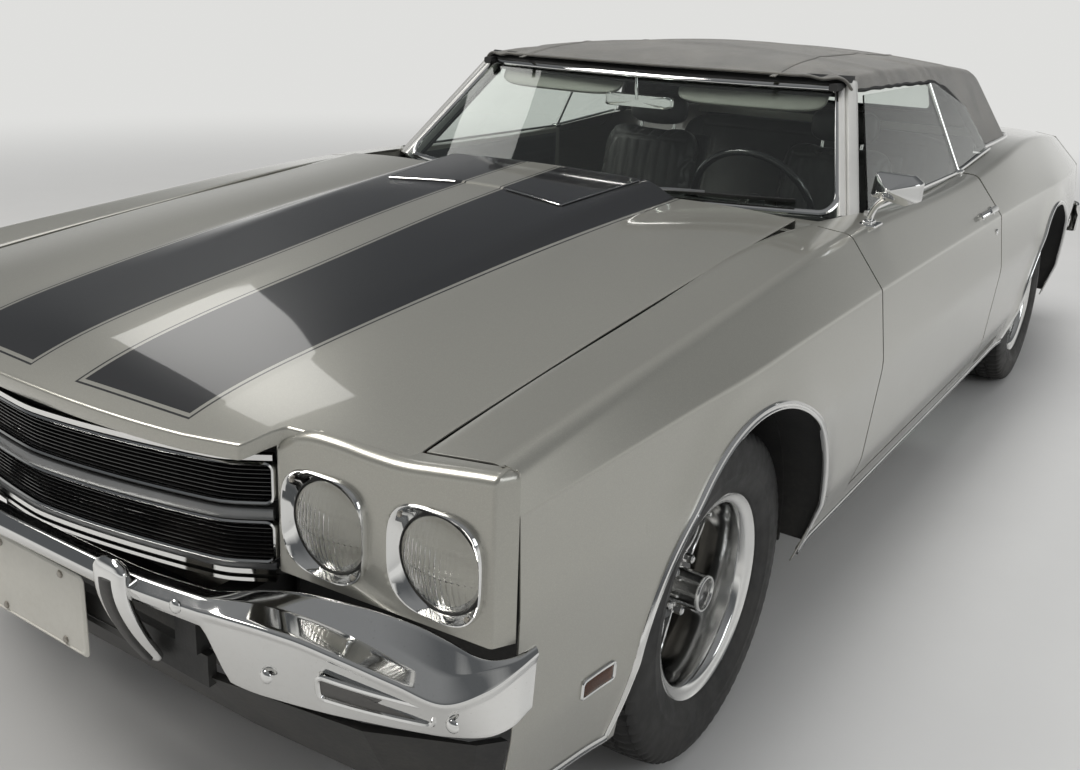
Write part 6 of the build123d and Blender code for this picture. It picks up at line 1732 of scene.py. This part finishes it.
class CAR_OT_lamps_and_plate(bpy.types.Operator):
    """Set the ribbed marker lamps into the sides and the blank plate at the front"""

    bl_idname = "car.lamps_and_plate"
    bl_label = "Marker lamps and plates"

    def execute(self, context):
        for name, y0, y1, z0, z1, lens_mat in (("Front_marker", -2106, -2026, 420, 452, "amber lens"),
                                               ("Rear_marker", 2076, 2176, 520, 556, "red lens")):
            outline = rounded_outline([(y0, z0), (y1, z0), (y1, z1), (y0, z1)], 7, 5, 6)
            y, z = outline.T
            rim = sweep(on_side(y, z, 1.5), ring(3.2, 3.2, 8), up=(1, 0, 0), closed=True)
            t = line(1, 0.01, 7)[:, None]
            yy = (y0 + y1) / 2 + (np.append(y, y[0])[None] - (y0 + y1) / 2) * t
            zz = (z0 + z1) / 2 + (np.append(z, z[0])[None] - (z0 + z1) / 2) * t
            lens = on_side(yy, zz, 1.0 + 4 * (1 - t**4))
            piece(name + "_rims", mirrored(rim), "chassis", mat("chrome"), None)
            piece(name + "_lenses", mirrored([lens]), "chassis", mat(lens_mat),
                  ("from", (0, y0, 440)), 1.5)
        outline = rounded_outline([(-152, -76), (152, -76), (152, 76), (-152, 76)], 12, 7, 12)
        rows = [(0, 0.01), (0, 0.90), (0.2, 0.925), (-1.6, 0.94), (-1.6, 0.965), (0, 0.985), (0.8, 1.0),
                (2.2, 1.0),
                (2.2, 0.01)]
        front = (0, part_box("plates")[0][1] / MM + 0.2, 448)
        plates = [loft(outline, rows, front)]
        bolts = []
        for sx in (-89, 89):
            bolts.append(revolve([(-4.5, 0.01), (-4.5, 4), (-3, 6.5), (0.5, 7)], 6, "y",
                                 (sx, front[1], front[2] + 62)))
            bolts.append(revolve([(-4.5, 0.01), (-4.5, 4), (-3, 6.5), (0.5, 7)], 6, "y",
                                 (sx, front[1], front[2] - 62)))
        piece("Blank_plates", plates, "chassis", mat("plate"), None, sharp=50,
              replaces=("plates",))
        piece("Plate_bolts", bolts, "chassis", mat("bare steel"), None)
        return {"FINISHED"}


def hood_flap_edge(u, v):
    """Places of the cowl flap on the hood: its front edge sweeps forwards away from the middle."""
    half = 268 + 34 * v
    x = u * half
    start = -1196 - 52 * np.clip(np.abs(u) * 1.15 - 0.2, 0, 1)
    return x, start + (-938 - start) * v


class CAR_OT_hood_flap(bpy.types.Operator):
    """Raise the flap at the rear of the hood's dome a little over the skin, with its bright front edge"""

    bl_idname = "car.hood_flap"
    bl_label = "Hood flap"

    def execute(self, context):
        u, v = np.concatenate([[-1], line(-0.995, 0.995, 61), [1]])[None], np.concatenate([[0],
            line(0.02, 1, 34)])[:, None]
        x, y = hood_flap_edge(u, v)
        inside = np.minimum(np.minimum((1 - np.abs(u)) / 0.005, v / 0.02), 1)
        z = hood_z(x, y) + 0.3 + 3.6 * inside
        flap = np.stack(np.broadcast_arrays(x, y, z), -1)
        piece("Hood_flap", [flap], "hood_lid", mat("striped paint"), ("along", (0, 0, 1)), 3.0)
        edges = []
        for u0, u1 in ((-0.99, -0.30), (0.30, 0.99)):
            x, y = hood_flap_edge(line(u0, u1, 30), np.zeros(30))
            edges += sweep(np.stack([x, y - 1, hood_z(x, y) + 3.4], -1), ring(3.0, 2.2, 8))
        for s in (-1, 1):
            v = line(0, 1, 24)
            x, y = hood_flap_edge(s * np.ones(24), v)
            edges += sweep(np.stack([x + s, y, hood_z(x, y) + 2.8], -1), ring(2.2, 1.8, 8))
        piece("Hood_flap_edges", edges, "hood_lid", mat("chrome"), None)
        return {"FINISHED"}


def pleats(points, middle, reach, pitch, depth, axis, sign, level, ends):
    """Sewn channels pressed into one side of a pad: a row of rounded ribs across x, faded out at the ends and
    towards the side rolls, moved along an axis where the points lie beyond a level."""
    p = points.copy()
    away = np.abs(p[..., 0] - middle)
    rib = np.abs(np.sin(PI * (p[..., 0] - middle + reach) / pitch)) ** 0.55 - 1
    other = 1 if axis == 2 else 2
    run = np.minimum(p[..., other] - ends[0], ends[1] - p[..., other])
    mask = smooth((reach - away) / 12) * smooth(run / 22) * smooth(sign * (p[..., axis] - level) / 24)
    border = np.exp(-(((away - reach) / 5.0) ** 2)) + np.exp(-((run / 5.0) ** 2)) * (away < reach)
    face = smooth(sign * (p[..., axis] - level) / 24) * (away < reach + 14) * (run > -14)
    p[..., axis] += sign * (depth * rib * mask - 5.0 * np.minimum(border, 1) * face)
    return p


def read_points(mesh):
    """A mesh's points as an array, in millimetres."""
    co = np.empty(len(mesh.vertices) * 3)
    mesh.vertices.foreach_get("co", co)
    return co.reshape(-1, 3) / MM


def write_points(mesh, points):
    """Puts an array of points, in millimetres, back into its mesh."""
    mesh.vertices.foreach_set("co", (points * MM).ravel())
    mesh.update()


def settled(obj):
    """The object's mesh with its modifiers applied, put in the place of its own."""
    bpy.context.view_layer.update()
    done = bpy.data.meshes.new_from_object(obj.evaluated_get(bpy.context.evaluated_depsgraph_get()))
    obj.modifiers.clear()
    obj.data = done
    return done


def swollen(name, grid, cap):
    """A pad from a closed form: remeshed to even squares and blown up as cloth under pressure, without
    weight, no point moving further than the cap."""
    obj = bpy.data.objects.new(name, quads([facing(grid, ("from", grid.mean((0, 1))))]))
    bpy.context.scene.collection.objects.link(obj)
    even = obj.modifiers.new("Even", "REMESH")
    even.mode, even.voxel_size = "VOXEL", 0.006
    mesh = settled(obj)
    start = read_points(mesh)
    cloth = obj.modifiers.new("Air", "CLOTH")
    cloth.settings.use_pressure = True
    cloth.settings.uniform_pressure_force = 4.0
    cloth.settings.effector_weights.gravity = 0.0
    cloth.collision_settings.use_collision = False
    cloth.point_cache.frame_start, cloth.point_cache.frame_end = 1, 20
    for step in range(1, 21):
        bpy.context.scene.frame_set(step)
    mesh = settled(obj)
    move = read_points(mesh) - start
    far = np.linalg.norm(move, axis=1, keepdims=True)
    write_points(mesh, start + move * np.minimum(1, cap / np.maximum(far, 1e-6)))
    bpy.context.scene.frame_set(1)
    return obj


def upholstered(name, obj, shape, flip=False):
    """The pad's final points from a function of them, smoothed once more, and mirrored for the other seat."""
    new = obj if not flip else bpy.data.objects.new(name, obj.data.copy())
    if flip:
        bpy.context.scene.collection.objects.link(new)
        write_points(new.data, read_points(new.data) * np.array([-1.0, 1, 1]))
        new.data.flip_normals()
    else:
        write_points(new.data, shape(read_points(new.data)))
        new.modifiers.new("Finer", "SUBSURF").levels = 1
        new.modifiers["Finer"].render_levels = 1
        settled(new)
    new.name = new.data.name = name
    return dress(new, "chassis", mat("seat vinyl"), 0.0)


SEAT_X = 365.0
BACK_AXIS = (0, 330.0, 780.0)
SEAT_MIDDLE = np.array([SEAT_X, 25.0, 482.0])


class CAR_OT_front_seats(bpy.types.Operator):
    """Upholster the front seats: cushions and backs swollen as cloth, pressed into sewn channels between side
    rolls, the backs leaned, with head restraints on posts, hard shells and bright side hinges"""

    bl_idname = "car.front_seats"
    bl_label = "Front seats"

    def execute(self, context):
        cushion_pad = swollen("Seat_cushion_left",
                              cushion(SEAT_X - 226, SEAT_X + 226, -224, 272, 432, 528, 5.5), 24)
        back_pad = swollen("Seat_back_left", cushion(SEAT_X - 216, SEAT_X + 216, 288, 366, 508, 1006, 5.5),
                           24)
        head_pad = swollen("Head_restraint_left",
                           cushion(SEAT_X - 118, SEAT_X + 118, 372, 436, 996, 1112, 3.6), 12)

        def cushion_shape(p):
            return pleats(p, SEAT_X, 165, 47.2, 7.0, 2, 1, 500, (-170, 215))

        def back_shape(p):
            waist = 1 - 0.07 * smooth((p[..., 2] - 780) / 220)
            p = p.copy()
            p[..., 0] = SEAT_X + (p[..., 0] - SEAT_X) * waist
            return turned(pleats(p, SEAT_X, 160, 45.8, 7.0, 1, -1, 320, (570, 940)), -14, "x", BACK_AXIS)

        pads = []
        for label, pad, shape in (("Seat_cushion", cushion_pad, cushion_shape),
                                  ("Seat_back", back_pad, back_shape),
                                  ("Head_restraint", head_pad, lambda p: p)):
            left = upholstered(label + "_left", pad, shape)
            pads += [left, upholstered(label + "_right", pad, shape, flip=True)]
        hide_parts("seats_front")

        shell = turned(box_shell(SEAT_X - 205, SEAT_X + 205, 372, 388, 520, 985, 8), -14, "x", BACK_AXIS)
        base = box_shell(SEAT_X - 205, SEAT_X + 205, -200, 250, 316, 432, 14)
        piece("Seat_shells", mirrored([shell, base]), "chassis", mat("dash vinyl"), None)
        posts, welts = [], []
        for dx in (-70, 70):
            posts += sweep([(SEAT_X + dx, 392, 960), (SEAT_X + dx, 398, 990), (SEAT_X + dx, 403, 1030)],
                           ring(6, 6, 12),
                           up=(0, 1, 0))
        for side in (-1, 1):
            posts += sweep([(SEAT_X + side * 232, 262, 470), (SEAT_X + side * 236, 282, 520),
                            (SEAT_X + side * 232, 296, 590)], ring(14, 4, 16, 3), up=(1, 0, 0))
        piece("Seat_brightwork", mirrored(posts), "chassis", mat("chrome"), None)
        rim = rounded_outline([(SEAT_X - 228, -226), (SEAT_X + 228, -226), (SEAT_X + 228, 276),
                               (SEAT_X - 228, 276)], 60,
                              10, 20)
        path = np.stack([rim[:, 0], rim[:, 1], 482 + 0 * rim[:, 0]], -1)
        welts += sweep(SEAT_MIDDLE + (path - SEAT_MIDDLE) * np.array([1.055, 1.05, 1]), ring(4, 4, 8),
                       closed=True)
        piece("Seat_welts", mirrored(welts), "chassis", mat("seat vinyl"), None)
        return {"FINISHED"}


class CAR_OT_rear_seat(bpy.types.Operator):
    """Shape the rear bench as two crowned pads with sewn channels over each place"""

    bl_idname = "car.rear_seat"
    bl_label = "Rear seat"

    def execute(self, context):
        low = cushion(-578, 578, 566, 992, 424, 560, 7, n=110)
        for middle in (-290, 290):
            low = pleats(low, middle, 190, 47.5, 7.0, 2, 1, 520, (610, 930))
        back = cushion(-578, 578, 985, 1095, 500, 985, 7, n=110)
        for middle in (-290, 290):
            back = pleats(back, middle, 190, 47.5, 7.0, 1, -1, 1015, (560, 930))
        back = turned(back, -14, "x", (0, 1040, 743.9))
        for name, grid in (("Rear_seat_cushion", low), ("Rear_seat_back", back)):
            pad = piece(name, [grid], "chassis", mat("seat vinyl"),
                        ("from", grid.mean((0, 1))), sharp=0,
                        replaces=("seat_rear",))
        return {"FINISHED"}


class CAR_OT_dash(bpy.types.Operator):
    """Roll the dash pad across the car, set round gauges into it, and fit the wheel with three spokes, the
    console with its selector, the mirror and the sun visors"""

    bl_idname = "car.dash"
    bl_label = "Dash and controls"

    def execute(self, context):
        x = np.concatenate([[-694], line(-692, 692, 60), [694]])
        outline = [(-738, 770), (-738, 902), (-690, 924), (-612, 926), (-564, 902), (-562, 868), (-596, 852),
                   (-600, 752), (-640, 706), (-700, 704), (-738, 740), (-738, 770)]
        corners = np.array([np.broadcast_to(p, (len(x), 2)) for p in outline], float)
        radii = (12.0, 40.0, 40.0, 12.0, 12.0, 12.0, 10.0, 20.0, 20.0, 14.0)
        skin = filleted(corners, radii, (3, 5) * 10 + (3,))
        dash = np.concatenate([np.broadcast_to(x[None, :, None], skin.shape[:2] + (1,)), skin], -1).copy()
        dash[..., 2] += 5 * np.exp(-(((dash[..., 0] - SEAT_X) / 190) ** 4)) * (dash[..., 2] > 880)
        piece("Dash_shell", capped(dash), "chassis", mat("dash vinyl"), None,
              replaces=("dashboard",))
        rings, dials, marks = [], [], []
        for gx, gz, r in ((262, 808, 44), (372, 808, 44), (466, 820, 26), (466, 782, 22), (540, 806, 26),
                          (188, 806, 26)):
            rings.append(revolve([(-602, r + 6), (-592, r + 5), (-588, r + 2), (-590, r - 1),
                                  (-598, r - 2)], 40, "y",
                                 (gx, 0, gz)))
            dials.append(revolve([(-597, r - 1), (-597, 0.01)], 40, "y", (gx, 0, gz)))
            for k in range(11):
                tick = box_shell(-0.8, 0.8, -596.6, -595.8, r - 9, r - 4, 0.3) + np.array([gx, 0, 0.0])
                marks.append(turned(tick, -130 + 26 * k, "y", (gx, 0, 0)) + np.array([0, 0, gz]))
            needle = box_shell(-1.2, 1.2, -595.5, -594.5, -4, r - 10, 0.4) + np.array([gx, 0, 0.0])
            marks.append(turned(needle, -112, "y", (gx, 0, 0)) + np.array([0, 0, gz]))
        piece("Gauge_rings", rings, "chassis", mat("chrome"), None)
        piece("Gauge_dials", dials, "chassis", mat("gloss black"), ("along", (0, 1, 0)))
        piece("Gauge_marks", marks, "chassis", mat("plate"), None)

        t = np.linspace(0, 2 * PI, 17)
        rim = revolve(np.stack([11 * np.sin(t), 188 + 11 * np.cos(t)], -1), 96, "z")
        rim[..., 2] += 1.4 * np.cos(36 * np.linspace(0, 2 * PI, 97))[None] * (rim[..., 2] > 3)
        hub = [revolve([(-32, 0.01), (-32, 26), (-28, 36), (-14, 42), (10, 44), (40, 36)], 40, "z")]
        spokes = []
        for angle in (0, 180, 270):
            a = math.radians(angle)
            r = line(30, 180, 12)
            path = np.stack([r * math.cos(a), r * math.sin(a), -6 + 0 * r], -1)
            spokes += sweep(path, ring(15, 3.2, 16, 3), scale=np.interp(r, [30, 180], [1.15, 0.8]))
        column = [revolve([(40, 36), (40, 34), (120, 32), (180, 33), (376, 40), (380, 0.01)], 32, "z")]
        place = np.array([SEAT_X, -350.0, 870.0])
        piece("Steering_wheel_rim", [turned(rim, 112, "x", (0, 0, 0)) + place], "steering",
              mat("gloss black"), None, replaces=("steering_wheel",))
        piece("Steering_spokes", [turned(g, 112, "x", (0, 0, 0)) + place for g in spokes], "steering",
              mat("satin grey"), None)
        piece("Steering_hub_and_column", [turned(g, 112, "x", (0, 0, 0)) + place for g in hub + column],
              "steering",
              mat("dash vinyl"), None)

        console = [box_shell(-92, 92, -478, 158, 402, 514, 16), box_shell(-70, 70, -60, 140, 508, 528, 10)]
        piece("Console_shell", console, "chassis", mat("dash vinyl"), None,
              replaces=("console",))
        gate = [box_shell(-42, 42, -380, -120, 510, 519, 5)]
        k = line(0, 1, 10)[:, None]
        lever = sweep(np.array([0, -240.0, 516]) * (1 - k) + np.array([0, -214.0, 618]) * k, ring(6, 6, 12),
                      up=(0, 1, 0))
        piece("Selector_gate_and_lever", gate + lever, "chassis", mat("chrome"), None)
        grip = cushion(-46, 46, -226, -202, 612, 640, 3, n=14)
        piece("Selector_grip", [grip], "chassis", mat("gloss black"),
              ("from", (0, -214, 626)))

        outline = rounded_outline([(-116, -20), (116, -20), (116, 20), (-116, 20)], 12, 7, 10)
        back = loft(outline, [(-10, 0.01), (-10, 0.86), (-8, 0.93), (-4, 0.98), (0, 1.0), (6, 1.0),
                              (7, 0.98), (6.4, 0.96)],
                    (10, -440, 1162))
        stem = sweep([(10, -450, 1166), (8, -452, 1196), (4, -446, 1226), (0, -440, 1250)], ring(5, 5, 12),
                     up=(0, 1, 0))
        piece("Inner_mirror_shell", [back] + stem, "chassis", mat("chrome"), None,
              replaces=("interior_mirror",))
        piece("Inner_mirror_glass", [loft(outline, [(6.4, 0.965), (6.4, 0.5), (6.4, 0.01)],
                                          (10, -440, 1162))], "chassis",
              mat("reflector"), ("along", (0, 1, 0)))
        for name, x0, x1 in (("Visor_left", 120, 560), ("Visor_right", -560, -74)):
            pad = cushion(x0, x1, -9, 9, -66, 66, 5, n=36)
            pad = turned(pad, -36, "x", (0, 0, 0)) + np.array([0, -368.0, 1222.0])
            pad[..., 1] += 60 * ((pad[..., 0] / 592) ** 2) - 12
            visor = piece(name, [pad], "chassis", mat("visor vinyl"),
                          ("from", pad.mean((0, 1))), sharp=0)
        return {"FINISHED"}


class CAR_OT_inner_trim(bpy.types.Operator):
    """Line the doors with ribbed cards, arm rests, pulls and cranks, and lay the carpet over floor and
    tunnel"""

    bl_idname = "car.inner_trim"
    bl_label = "Door cards and carpet"

    def execute(self, context):
        y, z = np.meshgrid(line(-846, 300, 80), line(380, 930, 60))
        rib = 2.0 * np.abs(np.sin(PI * (z - 700) / 24)) * (z > 700) * (z < 860) * smooth((y + 800)
            / 20) * smooth((270 - y) / 20)
        edge = np.minimum(np.minimum(y + 846, 300 - y), np.minimum(z - 380, 930 - z))
        card = np.stack([768 - 4 * smooth(edge / 8) - rib, y, z], -1)
        for sign, side, body in ((1.0, "left", "door_l"), (-1.0, "right", "door_r")):
            piece(f"Door_card_{side}", [card * np.array([sign, 1, 1])], body, mat("dash vinyl"),
                  ("along", (-sign, 0, 0)), 2.5)
        rest = cushion(716, 768, -304, 164, 636, 692, 4.5, n=30)
        door_pair("Arm_rest", [rest], mat("dash vinyl"))
        crank = sweep([(764, 90, 590), (744, 92, 590), (740, 120, 600), (738, 170, 618)], ring(6, 4, 12),
                      up=(0, 0, 1))
        crank.append(revolve([(722, 0.01), (722, 9), (740, 10), (740, 0.01)], 20, "x", (0, 170, 618)))
        crank.append(revolve([(745, 18), (766, 20)], 24, "x", (0, 90, 590)))
        pull = sweep([(764, -420, 760), (744, -410, 760), (742, -330, 764), (764, -320, 764)],
                     ring(5, 5, 12), up=(0, 0, 1))
        door_pair("Door_crank_and_pull", crank + pull, mat("chrome"))

        half = filleted(np.array([[(0.0, 405.0)], [(146.0, 405.0)], [(168.0, 313.0)], [(692.0, 313.0)]]),
                        (24.0, 16.0),
                        (12, 6, 6, 6, 20))[:, 0]
        across = np.concatenate([half[:0:-1] * np.array([-1, 1]), half])
        y = line(-884, 590, 60)
        floor = np.stack([np.broadcast_to(across[None, :, 0], (60, len(across))),
                          np.broadcast_to(y[:, None], (60, len(across))),
                          np.broadcast_to(across[None, :, 1], (60, len(across)))], -1)
        carpet = piece("Cabin_carpet", [floor], "chassis", mat("carpet"),
                       ("along", (0, 0, 1)), 4.0)
        return {"FINISHED"}


# Rear bumper stations, as the front one's, with y measured to the rear
REAR_BUMPER = np.array([
    (0, 0, 48, 588, 20, 590, 566, 432, 36),
    (500, 6.5, 48, 588, 20, 590, 566, 432, 36),
    (720, 24, 46, 588, 20, 590, 566, 432, 36),
    (812, 46, 34, 588, 17, 590, 566, 434, 30),
    (868, 84, 19, 586, 10, 588, 566, 438, 7),
    (890, 128, 18, 584, 8, 586, 566, 446, 6),
    (897, 176, 17, 580, 7, 582, 564, 456, 5),
], float)
REAR_END_Y = 2504.5
# How far the blade's face stands behind its plan, at three heights of the lamps in it
TAIL_LAMP_FACE = ((474, 506, 548), (19.3, 6.6, 2.0))


class CAR_OT_rear(bpy.types.Operator):
    """Bend the rear bumper as the front one, set its framed red lamps and pad, and crown the deck lid
    between its rolled rear edge and the seams beside it"""

    bl_idname = "car.rear"
    bl_label = "Rear bumper and deck"

    def execute(self, context):
        c = eased_columns(REAR_BUMPER, 110)
        plan = c[:, :2] * np.array([1.0, -1.0]) + np.array([0, REAR_END_Y])
        tangent = np.gradient(plan, axis=0)
        tangent /= np.linalg.norm(tangent, axis=1, keepdims=True)
        inward = np.stack([tangent[:, 1], -tangent[:, 0]], -1)
        inward[0] = (0, -1)
        back, back_z, scoop, scoop_z, ridge_z, low_z, low_in = (c[:, k] for k in range(2, 9))
        zero = 0 * back
        corners = np.array([np.stack(p, -1) for p in (
            (back + 2, back_z - 14), (back, back_z), (scoop, scoop_z), (zero, ridge_z),
            (3 + 0.1 * low_in, ridge_z - 60),
            (low_in, low_z), (low_in + 9, low_z + 3),
        )])
        roll = np.clip(scoop * 0.5, 3, 12)[:, None]
        soft = filleted(corners, (3.0, roll, 9.0, 60.0, 6.0), (2, 5, 6, 8, 6, 7, 8, 8, 12, 5, 2))
        grid = np.concatenate([plan[None] + inward[None] * soft[..., :1], soft[..., 1:]], -1)
        tip = grid[:, -1:].mean(0, keepdims=True) + 0 * grid[:, -1:]
        end = np.concatenate([grid[:, -1:], tip - np.array([0, 2.0, 0])], 1)
        piece("Rear_bumper_blade", mirrored([grid, end]), "chassis", mat("chrome"),
              ("from", (0, 2300, 520)),
              2.0, replaces=("rear_bumper",))
        outline = rounded_outline([(562, 474), (788, 476), (788, 546), (562, 548)], 14, 6, 10)
        outline = np.concatenate([outline, outline[:1]])
        t = line(1, 0.02, 7)[:, None, None]
        flat = outline.mean(0) + (outline[None] - outline.mean(0)) * t
        face_y = np.interp(flat[..., 0], plan[:, 0], plan[:, 1]) - np.interp(flat[..., 1], *TAIL_LAMP_FACE)
        lens = np.stack([flat[..., 0], face_y + 1.0 + 4 * (1 - t[..., 0]**4), flat[..., 1]], -1)
        path = np.stack([flat[0, :-1, 0], face_y[0, :-1] + 1.0, flat[0, :-1, 1]], -1)
        frames = sweep(path, ring(5, 5, 10), up=(0, 1, 0), closed=True)
        piece("Tail_lamp_frames", mirrored(frames), "chassis", mat("chrome"), None)
        piece("Tail_lamp_lenses", mirrored([lens]), "chassis", mat("red lens"),
              ("along", (0, 1, 0)), 2.0,
              replaces=("tail_lamps",))
        outline = rounded_outline([(-460, -26), (460, -26), (460, 26), (-460, 26)], 16, 7, 30)
        pad = loft(outline, [(0, 1.0), (3, 0.995), (5, 0.985), (5, 0.5), (5, 0.01)], (0, 0, 512))
        pad[..., 1] += REAR_END_Y - 5 - 9 * (pad[..., 0] / 500) ** 2 - 0.09 * (538 - pad[..., 2])
        piece("Rear_bumper_pad", [pad], "chassis", mat("black plastic"), ("along", (0, 1, 0)))

        x = np.concatenate([[-632], line(-632, 632, 61), [632]])
        lean = spline(SIDE[:, 0], SIDE[:, 2], np.array([1400.0, 1900.0, 2380.0]))
        crown = 1 - (x / 632) ** 2
        stations = ((1398, lean[0], 9), (1900, lean[1], 13), (2378, lean[2], 8), (2407, 884, 0),
                    (2407, 772, 0))
        corners = np.array([np.stack([y + 0 * crown, z + rise * crown], -1) for y, z, rise in stations])
        line_up = filleted(corners, (1200.0, 14.0, 6.0), (16, 8, 26, 8, 4, 5, 12))
        deck = np.concatenate([np.broadcast_to(x[None, :, None], line_up.shape[:2] + (1,)), line_up],
                              -1).copy()
        deck[:, (0, -1), 2] -= 14.0
        deck[:, (0, -1), 1] -= 2.0 * (deck[:, (0, -1), 1] > 2390)
        piece("Deck_lid_skin", [deck], "deck", mat("paint"), ("from", (0, 1800, 500)), 3.0, 0.8,
              replaces=("deck_lid",))
        return {"FINISHED"}


FINISHES = {
    "chassis_black": "chassis paint", "cast_grey": "cast iron", "plain_steel": "bare steel",
    "body_paint": "paint",
    "inner_black": "chassis paint", "lamp_glass": "lamp glass", "grille_black": "black plastic",
    "chrome": "chrome",
    "plate_paint": "plate", "lamp_red": "red lens", "clear_glass": "glass", "top_cloth": "top cloth",
    "dash_black": "dash vinyl", "seat_vinyl": "seat vinyl", "wheel_chrome": "wheel chrome",
    "tyre_rubber": "tyre rubber",
}
# Parts that take their own finish. The front valance is body-coloured metal but takes black chassis paint:
# painted shade for the dark under the front bumper.
OWN_FINISHES_AND_PAINTED_SHADE = {"engine_block": "engine paint", "front_valance": "chassis paint",
                "floor_pan": "chassis paint"}


class CAR_OT_finishes(bpy.types.Operator):
    """Give every carried-over part of the frame the finish of its slot, or its own; the valance's black is
    painted shade
    """

    bl_idname = "car.finishes"
    bl_label = "Finishes of the frame's parts"

    def execute(self, context):
        for part in frame["record"]["subparts"]:
            node = frame["nodes"][part["node"]]
            finish = OWN_FINISHES_AND_PAINTED_SHADE.get(part["node"], FINISHES[part["material_slot"]])
            for slot in node.material_slots:
                slot.material = mat(finish)
        return {"FINISHED"}


class CAR_PT_dresser(bpy.types.Panel):
    """The car's pieces in the order in which they are made"""

    bl_idname = "CAR_PT_dresser"
    bl_label = "Muscle car"
    bl_space_type = "VIEW_3D"
    bl_region_type = "UI"
    bl_category = "Muscle car"

    def draw(self, context):
        column = self.layout.column()
        for operator in OPERATORS:
            column.operator(operator.bl_idname)
        for settings in (context.scene.car_colours, context.scene.car_sizes):
            for name in settings.__annotations__:
                column.prop(settings, name)


OPERATORS = (
    CAR_OT_stage, CAR_OT_side_panels, CAR_OT_hood, CAR_OT_front_bumper, CAR_OT_grille, CAR_OT_bezels,
    CAR_OT_mouldings, CAR_OT_wheels, CAR_OT_tyres, CAR_OT_screen_surround, CAR_OT_soft_top, CAR_OT_door_trim,
    CAR_OT_lamps_and_plate, CAR_OT_hood_flap, CAR_OT_rear, CAR_OT_front_seats, CAR_OT_rear_seat, CAR_OT_dash,
    CAR_OT_inner_trim, CAR_OT_finishes,
)
CLASSES = (CarColours, CarSizes, *OPERATORS, CAR_PT_dresser)


def register():
    for cls in CLASSES:
        bpy.utils.register_class(cls)
    bpy.types.Scene.car_colours = PointerProperty(type=CarColours)
    bpy.types.Scene.car_sizes = PointerProperty(type=CarSizes)


def unregister():
    del bpy.types.Scene.car_sizes
    del bpy.types.Scene.car_colours
    for cls in reversed(CLASSES):
        bpy.utils.unregister_class(cls)


def main():
    """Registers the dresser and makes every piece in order."""
    register()
    build_groups()
    build_materials(colours(), sizes())
    for operator in OPERATORS:
        group_name, name = operator.bl_idname.split(".")
        getattr(getattr(bpy.ops, group_name), name)()


if __name__ == "__main__":
    main()
